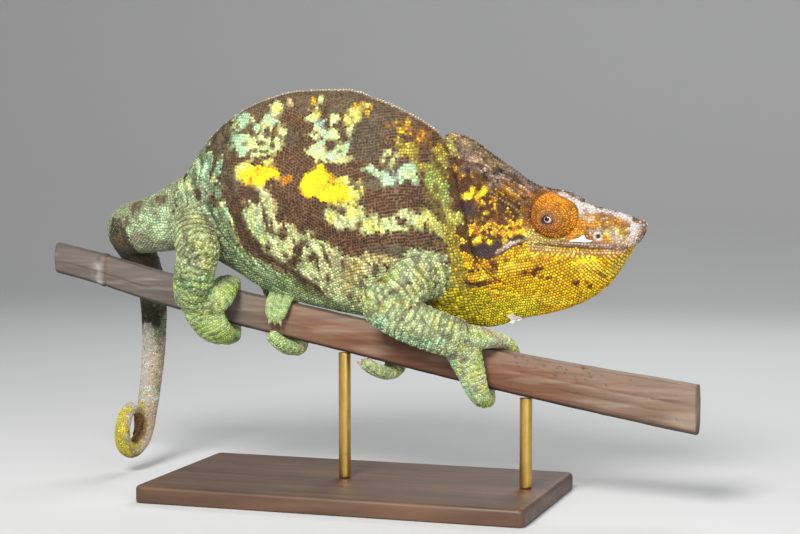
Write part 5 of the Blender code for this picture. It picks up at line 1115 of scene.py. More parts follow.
FORELEG_MARKS = [
    ("leg_pale", 1.0, [((54, 120, 5), (47, 130, 6), (40, 135, 4)), (57, 126, 4, 8), (48, 117, 6, 4)]),
    ("leg_yellow", 0.9, [(45, 129, 3, 6), (56, 132, 2.6, 5), (51, 122, 2, 5), (42, 121, 4, 3), (34, 113, 6, 3), (22, 111, 4, 3), (14, 114, 4, 5), (52, 104, 4, 3), (63, 102, 5, 2.4)]),
    ("leg_grey", 0.8, [(35, 126, 4, 2.6), (50, 134, 1.2, 6), (58, 138, 1.6, 4), (12, 121, 4, 2), (20, 121.6, 3, 1.0), (48, 113.6, 3, 1.6), (47, 103, 3.4, 2.6), (43, 137, 2, 3), (8, 116, 1.6, 4), (54, 127, 0.8, 5), (61, 96, 4, 1.0), (68, 100, 3, 0.9), (64, 92, 5, 1.0)]),
    ("leg_tan", 0.8, [(38, 121, 3, 1.8), (43, 125, 2, 1.2), ((22, 113, 0.6), (28, 119, 0.8), (34, 121, 0.6)), ((34, 106, 0.8), (39, 112, 1.0), (46, 113, 0.7))]),
    ("umber", 0.6, [((20, 112, 0.5), (27, 118, 0.6), (33, 120.6, 0.4)), ((33, 104, 0.6), (38, 110, 0.7), (44, 112.6, 0.5)), ((26, 104, 0.4), (31, 111, 0.5)), (39, 124, 2.6, 0.8), (36, 104, 1.4, 1.0)]),
    ("green", 0.8, [(24, 127, 9, 4.2), (17, 125.6, 4, 2.4), (30, 131, 5, 1.6)]),
    ("pale_green", 0.7, [(19, 125.6, 4.4, 2.4), (28, 124, 3, 2), (26, 129.6, 4, 1.4), (58, 128, 1.6, 6), (46, 116, 3, 1.4), (52, 140, 2.4, 1.2)]),
    ("red_brown", 0.3, [(23, 125.2, 2.9, 1.3)]),
    ("teal", 1.1, [((6, 108, 3), (12, 101, 4), (24, 96, 4.5), (38, 91.6, 4), (50, 90, 2.6)), (22, 102, 5, 3), (9, 112, 3, 3)]),
    ("mint", 0.9, [(24, 96, 4, 2.4), (17, 101, 3, 2), (33, 93, 4, 1.6), (44, 90, 4, 1.4), (8, 107, 2, 3), (26, 103, 2, 1.6), (56, 92, 3, 2)]),
    ("leg_yellow", 0.7, [(56, 101.6, 1.0, 0.9), (64, 96, 1.2, 1.3), (62.6, 93.6, 1.3, 0.9), (57.6, 103, 0.8, 1.3), (53, 99, 0.8, 0.6), (66.6, 91.6, 0.9, 0.8), (43, 98, 0.9, 0.7), (30, 99.6, 0.8, 0.7)]),
    ("crest", 0.7, [((62, 107, 0.9), (70, 104, 1.6), (78, 101, 1.4)), (47, 115, 1.6, 0.9), (58, 112.6, 1.6, 0.7)]),
]
FOREFOOT_MARKS = [
    ("leg_yellow", 1.2, [(66, 88, 5, 6), (76, 76, 4, 8), (80, 70, 3, 7), (70, 98, 6, 2), (66, 80, 3, 5), (85, 60, 3, 3)]),
    ("leg_grey", 0.9, [(63, 86, 3, 2.4), (68, 94, 4, 1.2), (70, 84, 3, 1.4), (76, 83, 1.2, 2), (73, 92, 4, 1.2), (69, 76, 1.2, 3), (76, 68, 2, 3), (72, 88, 2, 1)]),
    ("teal", 0.8, [(64, 80, 2, 4), (72, 66, 3, 4), (79, 63, 3, 1.8), (84, 94, 4, 2.4), (66, 72, 2, 3)]),
    ("green", 0.8, [(78, 82, 1.6, 6), (84, 59, 4, 1.6), (75, 73, 2, 2), (81, 97, 4, 1.6)]),
    ("pale_green", 0.7, [(88, 97, 6, 2.2), (96, 93, 5, 2.4), (78, 100, 4, 1.4), (82, 76, 1.2, 4), (78, 63, 1.6, 2)]),
    ("crest", 0.8, [((74, 104, 1.2), (84, 99, 1.6), (92, 94, 1.4)), (88, 92, 5, 1.6), (84, 90.6, 4, 1.2), (80, 72, 1.2, 1.6)]),
    ("slate", 0.4, [(63, 84.6, 2, 1.4), (66, 87.4, 1.0, 0.9), (68.6, 82, 1.2, 0.8)]),
    ("leg_yellow", 0.7, [(64, 94, 1.2, 1.3), (70, 90, 1.0, 0.8), (74, 79, 0.9, 1.2), (71, 73, 0.8, 0.8), (77, 88, 0.8, 1.6)]),
]
HINDLEG_MARKS = [
    ("leg_yellow", 1.1, [(-88, 157, 7, 3), (-86, 142, 9, 5), (-80, 134, 4, 5), (-89, 148, 3, 3), (-90, 128, 5, 3), (-88, 120, 6, 1.8), (-87, 111, 7, 2)]),
    ("leg_tan", 1.0, [(-84, 151, 6, 2), (-86, 159, 6, 1.2), (-78, 146, 3, 5), (-92, 153, 3, 1.4), (-86, 132, 5, 2), (-84, 155, 5, 0.9)]),
    ("leg_grey", 0.9, [(-92, 135.6, 4, 3.6), (-95, 146, 2.4, 5), (-95, 158, 3, 4), (-77, 153, 2.4, 4), (-79, 160, 3, 2.4), (-73, 137, 1.6, 5), (-89, 131, 4, 1.6), (-86, 147, 5, 1.0)]),
    ("green", 0.8, [(-88, 152.6, 3, 1.0), (-85, 143, 4, 2), (-92, 125.6, 4, 1.6), (-84, 118.6, 5, 1.2), (-81, 138, 2, 2), (-90, 114, 4, 1.4), (-97, 120, 1.6, 5)]),
    ("teal", 0.8, [(-84, 124, 5, 2.4), (-93, 119.6, 2.4, 3), (-82, 116.6, 4, 1.6), (-90, 130, 4, 1.0), (-94, 132, 1.6, 2)]),
    ("teal_dark", 0.5, [((-92, 116.6, 0.7), (-86, 115.4, 1.2), (-81, 116.4, 0.8)), ((-90, 124.6, 0.6), (-84, 122.6, 0.9), (-80, 123.6, 0.5)), (-89.4, 141.4, 1.2, 1.1), (-83.2, 141.4, 1.0, 0.9), ((-98, 133, 0.5), (-97, 124, 0.8), (-96, 116, 0.5)), (-94, 138, 2.4, 0.8)]),
    ("crest", 0.4, [(-86.6, 131, 1.4, 1.0), ((-75, 147, 0.6), (-72.6, 139, 0.9), (-75, 130, 0.6)), (-80, 153, 1.2, 3)]),
    ("lemon", 0.7, [(-80, 131, 1.4, 3), (-102, 121, 1.2, 3)]),
]
HINDFOOT_MARKS = [
    ("leg_yellow", 1.2, [(-84, 104, 7, 4), (-76, 98, 6, 4), (-74, 112, 3, 8), (-66, 95, 4, 5), (-80, 90, 5, 2.4)]),
    ("green", 1.0, [(-84, 96, 6, 3), (-72, 92, 6, 3), (-66, 118, 5, 4), (-68, 101, 3, 3), (-78, 104, 3, 2), (-64, 97, 2, 4)]),
    ("lemon", 0.8, [(-72, 116, 1.6, 5), (-73, 108, 1.2, 3), (-78, 95, 3, 0.7)]),
    ("leg_tan", 0.8, [(-72.6, 116, 1.2, 3.4), (-71.6, 120, 1.6, 1.2), (-74, 111, 0.8, 2), (-82, 104, 2, 0.6)]),
    ("leg_grey", 0.9, [(-67, 124, 5, 2.4), (-74, 102, 1.6, 2.6), (-84, 100, 3, 1), (-70, 97, 2.4, 1.4), (-74, 121, 1.4, 1.6), (-90, 94, 2, 4), (-78, 92, 2, 0.8), (-63, 90, 2, 2)]),
    ("umber", 0.6, [((-91, 106, 0.5), (-85, 103.6, 0.6), (-79, 104.6, 0.6), (-75, 108, 0.5)), ((-88, 109, 0.4), (-82, 106.6, 0.6), (-77, 109, 0.5)), (-80, 100.6, 2.4, 0.5)]),
]
TAIL_MARKS = [
    ("tail_grey", 0.6, [(-118, 150, 34, 24)]),
    ("mint_dull", 1.0, [(-127, 157, 5, 3.4), (-131, 151, 4, 3), (-114, 161, 4, 4), (-104, 158, 3, 8), (-118, 147, 6, 4), (-140, 150, 3, 4), (-108, 150, 4, 5)]),
    ("mint_dull", 1.0, [(-117, 150.6, 6, 5.6), (-106, 151, 3, 8), (-126, 157, 6, 4), (-101, 158, 1.6, 6)]),
    ("umber", 0.9, [(-137, 162, 4, 3.6), (-119, 167, 5, 2.6), (-104, 169, 4, 4), (-143, 154, 3, 3), (-98, 168, 5, 4)]),
    ("leg_grey", 0.8, [(-150, 151, 4, 6), (-121, 141, 16, 3), (-134, 144, 5, 4)]),
    ("tail_shade", 1.0, [(-152, 118, 14, 38)]),
    ("umber", 0.8, [(-154, 140, 8, 6), (-150, 126, 8, 5)]),
    ("tail_white", 0.9, [((-151, 84, 6), (-152, 74, 9), (-153, 60, 9), (-154, 50, 9))]),
    ("tail_tan", 0.9, [((-140, 80, 3.2), (-142, 68, 3.6), (-144, 54, 3.6))]),
    ("tail_pink", 0.7, [(-147, 70, 2.0, 1.8), (-147, 64, 1.8, 2.2), (-142, 60, 2, 3), (-149, 56, 1.4, 3), (-145, 77, 1.6, 1.4), (-144, 71, 1.2, 2)]),
]


def mouth_edge(x):
    """Height of the mouth line, and of its way on to the neck, at x."""
    return np.interp(x, [66, 72, 76, 81, 86.6, 90, 95, 102, 120, 143, 152, 161], [141, 140, 137.6, 137.4, 139.6, 141.8, 144.8, 146.4, 145, 143.9, 143.6, 146])


def coil_paint(paint):
    """The curled end: yellow outside, dark in the curl, pinkish at its top and inner side, with painted shade under its
    lowest turn.
    """
    p = paint.p
    rel = p - np.array(COIL_CENTRE)
    r = np.hypot(rel[:, 1], rel[:, 2])
    here = step(-p[:, 2], -50, -44)
    inner = step(-(r + 1.4 * paint.big), -10.5, -7.5)
    paint.lay("coil", here)
    paint.lay("tail_pink", here * step(p[:, 0] + 1.6 * paint.small, -152.5, -149.5))
    paint.lay("tail_white", here * step(p[:, 2] + 2 * paint.big, 39, 43) * step(p[:, 0], -162, -158))
    paint.lay("coil_dark", here * inner)
    # painted shade under the coil's lowest turn
    paint.lay("coil_dark", here * step(-(p[:, 2] + 2.5 * paint.big), -14.5, -9.5) * 0.7)


def coloured(p, n, weights, crisp, seed):
    """Scale, other scale and net colours at points p with normals n, region by region."""
    rng = np.random.default_rng(seed)
    count = len(p)
    dither = rng.uniform(0.08, 0.92, count)
    total = np.zeros((count, 3, 3))
    w = weights.copy()
    if crisp:
        pick = np.argmax(w + rng.uniform(0, 0.22, w.shape) * (w > 0.05), axis=1)
        w = np.eye(w.shape[1])[pick]
    w = w / w.sum(1, keepdims=True)
    for r, region in enumerate(REGIONS):
        at = np.where(w[:, r] > 0.02)[0]
        if len(at) == 0:
            continue
        q, m = p[at], n[at]
        hind = q[:, 0] < -20
        if region == "body":
            paint = Paint(q, crisp, dither[at], "brown", 20)
            marks = BODY_MARKS
        elif region == "head":
            paint = Paint(q, crisp, dither[at], "cheek", 16)
            marks = HEAD_MARKS
        elif region == "tail":
            paint = Paint(q, crisp, dither[at], "tail_grey", 0)
            marks = TAIL_MARKS
        else:
            paint = Paint(q, crisp, dither[at], "leg", 26)
            marks = []
        for entry in marks:
            paint.shapes(*entry)
        if region == "body":
            paint.lay("belly", step(-m[:, 2], 0.35, 0.7) * step(-paint.x, -52, -44))
            paint.lay("crest", step(m[:, 2], 0.3, 0.7) * step(-np.abs(q[:, 1]), -2.0, -0.7))
            low = step(-(paint.z + 2 * paint.big), -124, -118) * step(paint.x, 46, 54)
            paint.lay("throat_green", low)
        if region == "head":
            # the jaw and throat, below the mouth line
            edge = mouth_edge(paint.x)
            jaw = step(edge - paint.z + 0.3 * paint.small, -0.25, 0.25)
            cheek = step(-np.hypot((paint.x - 86) / 17, (paint.z - 161) / 15), -1.0, -0.75)
            paint.lay("rust", 0.8 * cheek * step(noise(q, 3.0, 45, 2), 0.56, 0.64))
            paint.lay("gold", cheek * step(noise(q, 2.3, 46, 2, (1.3, 1, 0.8)) + 0.004 * (165 - paint.z), 0.62, 0.70))
            paint.lay("cheek", 0.9 * cheek * step(noise(q, 2.6, 48, 2, (0.8, 1, 1.2)), 0.56, 0.64))
            paint.lay("fleck", 0.7 * step(noise(q, 2.4, 49, 2, (0.5, 1, 1)), 0.60, 0.72) * step((q[:, 0] - 60) * 0.575 + (q[:, 2] - 205) * 0.818, -14, -6) * step(-q[:, 0], -108, -96))
            under = Paint(q, crisp, dither[at], "throat", 16)
            for entry in THROAT_MARKS:
                under.shapes(*entry)
            if crisp:
                swap = jaw > 0.5
                paint.col[swap] = under.col[swap]
            else:
                paint.col += jaw[:, None, None] * (under.col - paint.col)
            for centre, out in eye_axes.values():
                rel = q - centre
                high = rel @ out
                wide = round_the_eye(rel, out)
                ringed = (high > -9) * step(-wide, -EYE_RADIUS - 4.6, -EYE_RADIUS - 2.6)
                back = step(centre[0] - q[:, 0], 0, 6) * step(q[:, 2] - centre[2], -10, -5)
                paint.lay("rust", ringed * back)
                paint.lay("orange", 0.9 * ringed * step(q[:, 0] - centre[0], 5, 9) * step(centre[2] - q[:, 2], -1, 3))
                paint.lay("rust_brown", ringed * back * step(np.sin(wide * 2 * math.pi / 1.5 + 3 * noise(q, 3.0, 58, 1)), 0.2, 0.7))
                paint.lay("tan", 0.9 * ringed * step(np.sin(wide * 2 * math.pi / 1.9 + 1.0), 0.3, 0.8) * step(centre[2] - q[:, 2], 3, 8) * step(centre[0] - q[:, 0], -9, -5))
            hole = np.hypot(q[:, 0] - NOSTRIL[0], q[:, 2] - NOSTRIL[1])
            paint.lay("white", step(-np.abs(hole - 1.9), -0.9, -0.4))
            # the nostril's pit: painted shade
            paint.lay("speck_and_shade", step(-hole, -1.1, -0.7))
        if region == "tail":
            coil_paint(paint)
            paint.lay("crest", 0.8 * step(m[:, 2], 0.5, 0.9) * step(-np.abs(q[:, 1] - np.interp(-q[:, 0], [100, 109, 120, 134, 148], [0, 0.3, 2, 6.8, 16])), -1.8, -0.7) * step(q[:, 2], 158, 162))
        if region in ("leg", "foot"):
            other = q[:, 1] > 0  # the far side's limbs stand elsewhere; their marks keep to plain blotches
            blotch = noise(q, 6.5, 71, 2)
            sets = (FORELEG_MARKS, HINDLEG_MARKS) if region == "leg" else (FOREFOOT_MARKS, HINDFOOT_MARKS)
            keep = paint.x.copy()
            for marks, mine in zip(sets, (~hind & ~other, hind & ~other)):
                paint.x = np.where(mine, keep, 1e4)
                for entry in marks:
                    paint.shapes(*entry)
            paint.x = keep
            far = other.astype(float)
            paint.lay("leg_yellow", far * step(blotch, 0.5, 0.6))
            paint.lay("leg_grey", far * step(-blotch, -0.42, -0.34))
            paint.lay("teal", far * step(noise(q, 7.5, 72, 2), 0.58, 0.66))
            paint.lay("leg_pale", far * step(noise(q, 5.0, 73, 2), 0.6, 0.68))
            calm = np.where(hind, 0.40, 0.12)[:, None, None] * np.ones_like(paint.col)
            paint.col += calm * (np.array([[168.0, 174, 124], [160, 168, 116], [136, 140, 100]]) - paint.col)
            low = (hind & ~other) * step(-q[:, 2], -134, -122)
            paint.col *= 1 - low[:, None, None] * np.array([0.07, 0.01, 0.08])
            paint.lay("tan_flank", 0.5 * (hind & other) * step(noise(q, 4.0, 74, 2), 0.4, 0.6))
        total[at] += w[at, r][:, None, None] * paint.col
    return total


def streaked(p, weights):
    """Dark brush marks between pale ones: down the flanks, along the belly, over the casque."""
    low_flank = weights[:, 0] * step(-p[:, 2], -176, -160) * step(-p[:, 0], -44, -20)
    belly = weights[:, 0] * step(-(p[:, 2] + 0.42 * p[:, 0]), -112, -102)
    down = creases(p, 3.0, 221, -66, 3.4, 0.34)
    under = creases(p, 2.3, 222, -38, 3.0, 0.5)
    neck = weights[:, 0] * step(p[:, 0], 30, 46)
    slope = (p[:, 0] - 60) * 0.575 + (p[:, 2] - 205) * 0.818
    crown = weights[:, 1] * step(slope, -18, -9) * step(-p[:, 0], -114, -100)
    amount = 0.30 * low_flank * (1 - belly) * down + 0.30 * belly * under
    rear = weights[:, 0] * step(-p[:, 0], 62, 76)
    amount = amount * (1 - rear) + 0.42 * rear * creases(p, 3.0, 225, -58, 3.2, 0.42)
    amount = amount + 0.30 * neck * creases(p, 2.4, 223, 68, 3.2, 0.45)
    amount = amount + 0.50 * crown * creases(p, 2.2, 224, -36, 5.0, 0.5)
    return np.clip(amount, 0, 0.62)[:, None]


# ---------------------------------------------------------------- colour of the skin itself, with painted shade in its hollows and wrinkles
hollow = np.einsum("ij,ij->i", averaged(skin_co) - skin_co, normals)
for _ in range(2):
    hollow = averaged(hollow[:, None])[:, 0]
three = coloured(skin_co, normals, shares, False, 7)
patchy = noise(skin_co, 4.0, 3, 3)[:, None]
limbs = shares[:, 3:].sum(1, keepdims=True)
part_scale = 0.38 + 0.22 * limbs
skin_colour = three[:, 2] * (1 - part_scale) + part_scale * (three[:, 0] * patchy + three[:, 1] * (1 - patchy))
skin_colour *= (0.84 + 0.16 * noise(skin_co, 1.7, 9, 2))[:, None]
# painted shade: the skin darkens where it lies in a hollow, at folds, creases and where parts join
skin_colour *= (1 - 0.55 * step(hollow, 0.03, 0.12))[:, None]
skin_colour *= 1 - 0.8 * streaked(skin_co, shares)
# painted shade along the limbs' wrinkles and slanting creases
skin_colour *= (1 - 0.55 * wrinkle_shade)[:, None]


# ---------------------------------------------------------------- scales in rows over the skin
tree = BVHTree.FromPolygons(skin_co.tolist(), skin_quads.tolist())


def lattice(rings, anchor, pitch, row):
    """Places in quincunx rows round closed rings, counted both ways from the anchor column."""
    m, k = rings.shape[:2]
    rings = np.roll(rings, -anchor, axis=1)
    ring_step = np.linalg.norm(np.diff(rings, axis=0), axis=2).mean(1)
    gone = np.concatenate([[0], np.cumsum(ring_step)])
    want = [0.4]
    while want[-1] < gone[-1] - 0.3:
        want.append(want[-1] + (row(want[-1] / gone[-1]) if callable(row) else row))
    out = []
    for r, d in enumerate(want[:-1]):
        f = np.interp(d, gone, np.arange(m))
        i = min(int(f), m - 2)
        ring = rings[i] * (1 - f + i) + rings[i + 1] * (f - i)
        way = (rings[i + 1] - rings[i]) / max(gone[i + 1] - gone[i], 1e-6)
        closed = np.concatenate([ring, ring[:1]])
        arc = np.concatenate([[0], np.cumsum(np.linalg.norm(np.diff(closed, axis=0), axis=1))])
        girth = arc[-1]
        here = pitch(d / gone[-1]) if callable(pitch) else pitch
        half = int(girth / 2 / here + 0.25)
        places = np.arange(-half, half + 1) if r % 2 == 0 else np.arange(-half, half) + 0.5
        s = places * here
        s = s[np.abs(s) < girth / 2 - here * 0.3]
        at = np.mod(s, girth)
        j = np.interp(at, arc, np.arange(k + 1))
        j0 = np.clip(j.astype(int), 0, k - 1)
        fr = (j - j0)[:, None]
        p = closed[j0] * (1 - fr) + closed[j0 + 1] * fr
        w = np.concatenate([way, way[:1]])
        t = w[j0] * (1 - fr) + w[j0 + 1] * fr
        gap = want[r + 1] - d
        out.append(np.concatenate([p, t, (np.linalg.norm(t, axis=1) * gap)[:, None], np.full((len(p), 1), here), np.full((len(p), 1), d), s[:, None]], 1))
    return np.concatenate(out)


class Scales:
    """Everything known of one set of scales, as rows of arrays."""

    def __init__(self, p, t, high, wide, tall, uv, piece, stud=None):
        self.p, self.t, self.row, self.wide, self.tall, self.uv, self.piece = p, t, high, wide, tall, uv, piece
        self.stud = np.full(len(p), -1) if stud is None else stud


def wandering(p, seed, far=1.3, near=0.15):
    """Draws rows of places out of true, as grown scales are, and each place a little by itself."""
    drift = np.stack([noise(p, 8.0, seed + k, 2) - 0.5 for k in range(3)], 1) * 2 * far
    return p + drift + np.random.default_rng(seed).normal(0, near, p.shape)


def settle(p, limit, face_out=None, least=0.4):
    """Moves places onto the skin; gives the point, its normal, nearest vertex and whether it holds."""
    q, nrm, vert, good = np.empty_like(p), np.empty_like(p), np.zeros(len(p), int), np.zeros(len(p), bool)
    for i, point in enumerate(p.tolist()):
        hit, normal, face, far = tree.find_nearest(point)
        q[i], nrm[i] = hit, normal
        quad = skin_quads[face]
        d = skin_co[quad] - q[i]
        vert[i] = quad[np.argmin((d * d).sum(1))]
        good[i] = far < limit
    d0 = skin_co[skin_quads[:, 0]]
    smooth_n = normals[vert]
    if face_out is not None:
        good &= np.einsum("ij,ij->i", smooth_n, face_out) > least
    return q, smooth_n, vert, good


def outward(rings, data):
    """The rough way out of a loft at each place."""
    middle = rings.mean(1)
    gone = np.concatenate([[0], np.cumsum(np.linalg.norm(np.diff(rings, axis=0), axis=2).mean(1))])
    c = np.stack([np.interp(data[:, 8], gone, middle[:, a]) for a in range(3)], 1)
    return unit(data[:, :3] - c)


BODY_PITCH, HEAD_PITCH = 1.72, 1.5
plans = [
    ("head", lofts["head"], 0, HEAD_PITCH, HEAD_PITCH * 0.866, 3.4, 0.22),
    ("throat", lofts["head"], 0, 3.1, 0.86, 3.4, 0.42),
    ("body", lofts["body"], 80, BODY_PITCH, BODY_PITCH * 0.866, 2.6, 0.23),
    ("tail", lofts["tail"], 72, lambda f: 1.62 - 0.6 * f, lambda f: (1.62 - 0.6 * f) * 0.866, 1.2, 0.28),
]
for name, rings in lofts.items():
    if "leg" in name:
        plans.append((name, rings, 0, 1.75, 1.14, 1.2, 0.16))
    if "foot" in name:
        plans.append((name, rings, 14, lambda f: 1.4 - 0.3 * f, lambda f: 1.22 - 0.26 * f, 1.2, 0.19))
THROAT_PLAN = [plan[0] for plan in plans].index("throat")

def under_jaw(p):
    mark_x = p[:, 0] + (16 - np.abs(p[:, 1])) * (349 - p[:, 0]) / 996
    mark_z = p[:, 2] + (16 - np.abs(p[:, 1])) * (204 - p[:, 2]) / 996
    return mark_z < mouth_edge(mark_x) - 1.6


cell = 2.0
taken = {}


def crowded(point, limit):
    i, j, k = (int(math.floor(c / cell)) for c in point)
    near = limit * limit
    for a in (i - 1, i, i + 1):
        for b in (j - 1, j, j + 1):
            for c in (k - 1, k, k + 1):
                for q in taken.get((a, b, c), ()):
                    if (q[0] - point[0]) ** 2 + (q[1] - point[1]) ** 2 + (q[2] - point[2]) ** 2 < near * q[3]:
                        return True
    return False


def take(point, weight=1.0):
    key = tuple(int(math.floor(c / cell)) for c in point)
    taken.setdefault(key, []).append((*point, weight))


def in_turret(p):
    out = np.zeros(len(p), bool)
    for centre, axis in eye_axes.values():
        rel = p - centre
        high = rel @ axis
        wide = round_the_eye(rel, axis)
        out |= (high > -7) & (wide < EYE_RADIUS - 0.3)
    return out


# rows of bigger, paler studs along the ridges: line in (x, z), spacing, width, height, colour
STUDS = [
    ("top", [(-98, 0), (48, 0)], 1.75, 1.6, 0.75, "crest"),
    ("top", [(56, 0), (106, 0)], 2.0, 1.6, 0.5, "casque_tan"),
    ("side", LATERAL_CREST[2:-2], 1.6, 1.6, 0.6, "casque_tan"),
    ("side", [(106.5, 176.6), (110, 176.4), (114, 175.8), (118, 174.4), (121, 172.6), (124, 171.2), (127, 169.4)], 1.7, 1.5, 0.5, "fleck"),
    ("side", [(104, 143.8), (112, 143.2), (120, 142.8), (130, 142.2), (140, 141.8), (150, 141.8)], 1.75, 1.75, 0.6, "lip_row"),
    ("side", [(106, 141.4), (116, 140.6), (128, 139.8), (140, 139.6)], 2.4, 1.8, 0.5, "throat_pale"),
    ("side", [(118, 147.1), (124, 146.8), (130, 146.4), (142, 146.0), (154, 145.8)], 1.6, 1.55, 0.5, "lip"),
    ("side", [(161.5, 158.2), (164, 156), (165, 153), (164.4, 150)], 1.7, 1.8, 0.8, "snout_grey"),
    ("side", [(146, 157.6), (151, 155.6), (156, 153)], 2.4, 2.0, 0.6, "snout"),
    ("side", [(145, 153.4), (150, 151.4), (154, 150)], 2.2, 1.9, 0.5, "casque_tan"),
]
studs = []
for how, line, spacing, wide, tall, colour in STUDS:
    line = np.asarray(line, float)
    gone = np.concatenate([[0], np.cumsum(np.linalg.norm(np.diff(line, axis=0), axis=1))])
    count = max(2, int(gone[-1] / spacing))
    if how == "top":  # by real length over the back
        fine_x = np.linspace(line[0, 0], line[1, 0], 900)
        hits = [tree.ray_cast(Vector((v, 0.0, 400.0)), Vector((0, 0, -1)))[0] for v in fine_x]
        hits = np.array([h[:] for h in hits])
        gone = np.concatenate([[0], np.cumsum(np.linalg.norm(np.diff(hits, axis=0), axis=1))])
        want = np.arange(0.5, gone[-1], spacing)
        got = np.stack([np.interp(want, gone, hits[:, c]) for c in range(3)], 1)
        for p in got:
            studs.append((*p, wide, tall, list(COLOURS).index(colour), 1))
    else:
        want = np.linspace(0, gone[-1], count)
        for px, pz in zip(np.interp(want, gone, line[:, 0]), np.interp(want, gone, line[:, 1])):
            for sign in (-1, 1):
                hit = tree.ray_cast(Vector((px, sign * 90.0, pz)), Vector((0, -sign, 0)))[0]
                if hit is not None:
                    studs.append((*hit[:], wide, tall, list(COLOURS).index(colour), 0))
studs = np.array(studs)

places = []  # p, t, row, pitch, height, u, v, plan, stud colour
q, nn, vert, good = settle(studs[:, :3], 3.0)
keep = good & ~in_turret(q)
for i in np.where(keep)[0]:
    if not crowded(q[i], 0.72 * studs[i, 3]):
        take(q[i], 1.25)
        along_x = np.array([1.0, 0.0, -0.2])
        places.append((q[i], along_x, studs[i, 3] * 0.9, studs[i, 3], studs[i, 4], vert[i], q[i][0], q[i][2], -1, int(studs[i, 5])))

for n, (name, rings, anchor, pitch, row, limit, tall) in enumerate(plans):
    data = lattice(rings, anchor, pitch, row)
    out = outward(rings, data)
    q, nn, vert, good = settle(wandering(data[:, :3], 300 + n, *((0.5, 0.10) if name == "throat" else ())), limit, out, 0.3)
    if name in ("head", "throat"):
        good &= shares[vert, 1] > 0.4
        good &= under_jaw(q) == (name == "throat")
    if name == "body":
        good &= shares[vert, 1] < 0.75
    good &= ~in_turret(q)
    clear, _ = cane_clearance(q)
    good &= clear > 0.25
    for i in np.where(good)[0]:
        size, high = data[i, 7], data[i, 6]
        if name == "throat":  # rows lie along the jaw, so what was across is along
            size, high = 2 * data[i, 6], 0.5 * data[i, 7]
        if not crowded(q[i], size * 0.64):
            take(q[i])
            places.append((q[i], data[i, 3:6], high, size, tall, vert[i], data[i, 8], data[i, 9], n, -1))

# whatever is still bare between them
bare = 0
order = np.random.default_rng(5).permutation(len(skin_co))
clear, _ = cane_clearance(skin_co)
eye_zone = in_turret(skin_co)
inside_gap = clear > 0.25
for v in order:
    if not inside_gap[v] or eye_zone[v]:
        continue
    small = 1.25 if shares[v, 4] > 0.4 else 1.5
    if not crowded(skin_co[v], small * 0.86):
        take(skin_co[v])
        n = {0: 2, 1: 0, 2: 3, 3: 4, 4: 5}[int(np.argmax(shares[v]))]
        places.append((skin_co[v], np.array([1.0, 0.0, -0.3]), small * 0.84, small * 0.95, 0.3, v, -1.0, 0.0, n, -1))
        bare += 1
print("scales", len(places), "of them", bare, "to fill")

P = np.array([s[0] for s in places])
T = np.array([s[1] for s in places])
ROW = np.array([s[2] for s in places])
WIDE = np.array([s[3] for s in places])
TALL = np.array([s[4] for s in places])
VERT = np.array([s[5] for s in places])
U = np.array([s[6] for s in places])
V = np.array([s[7] for s in places])
PLAN = np.array([s[8] for s in places])
STUD = np.array([s[9] for s in places])
N = normals[VERT]
rng = np.random.default_rng(11)
ROW = np.clip(ROW, WIDE * 0.62, WIDE * 1.25)
size = rng.normal(1.0, 0.055, len(P)).clip(0.84, 1.14)
spin = rng.normal(0, 0.10, len(P))
lift = rng.normal(1.0, 0.20, len(P)).clip(0.5, 1.6)
T = unit(T - N * np.einsum("ij,ij->i", T, N)[:, None])
S = np.cross(N, T)
T, S = (np.cos(spin)[:, None] * T + np.sin(spin)[:, None] * S, np.cos(spin)[:, None] * S - np.sin(spin)[:, None] * T)
along_jaw = (PLAN == THROAT_PLAN)[:, None]
T, S = np.where(along_jaw, S, T), np.where(along_jaw, -T, S)

# where the darker net lies between the rows (1), or between the columns (-1); on the throat the dark between rows is
# painted shade under each row of beads, over the net's own colour
ROWED = np.where(PLAN == THROAT_PLAN, 1, np.where(shares[VERT][:, 3:].sum(1) > 0.5, 2, 0))
ROWED = np.where((shares[VERT][:, 0] > 0.5) & ((P[:, 2] < 158) | (P[:, 0] > 44)) & (np.abs(N[:, 1]) > 0.4), 1, ROWED)
ROWED = np.where((shares[VERT][:, 1] > 0.5) & ((P[:, 0] - 60) * 0.575 + (P[:, 2] - 205) * 0.818 > -16) & (P[:, 0] < 110), -1, ROWED)
scale_colours = coloured(P, N, shares[VERT], True, 21)
streaks = streaked(P, shares[VERT])
mix = np.clip(0.5 + 1.2 * (noise(P, 5.0, 61, 2) - 0.5) + rng.normal(0, 0.16, len(P)), 0, 1)[:, None]
top = scale_colours[:, 0] * (1 - mix) + scale_colours[:, 1] * mix
net = scale_colours[:, 2].copy()
studded = STUD >= 0
names = list(COLOURS)
for i in np.where(studded)[0]:
    a, b, c = COLOURS[names[STUD[i]]]
    top[i] = a * (1 - mix[i]) + b * mix[i]
    net[i] = 0.5 * c + 0.5 * net[i]
top *= 1 + 0.26 * (noise(P, 3.2, 64, 2)[:, None] - 0.5) + 0.24 * (noise(P, 1.3, 65, 1)[:, None] - 0.5)
calm = 1 - 0.45 * shares[VERT][:, 3:].sum(1, keepdims=True) - 0.3 * step(top.mean(1), 130, 190)[:, None]
top *= 1 + calm * (rng.normal(0, 0.07, (len(P), 1)).clip(-0.2, 0.18))
odd = rng.uniform(0, 1, (len(P), 1))
top *= np.where(odd < 0.03, 1 - 0.25 * calm, np.where(odd > 0.98, 1 + 0.16 * calm, 1.0))
top += rng.normal(0, 2.2, (len(P), 3))
top *= 1 - streaks
net *= 1 - 0.8 * streaks
shade = (1 - 0.35 * step(hollow[VERT], 0.04, 0.14)) * (1 - 0.50 * wrinkle_shade[VERT])
top *= shade[:, None]
net *= shade[:, None]


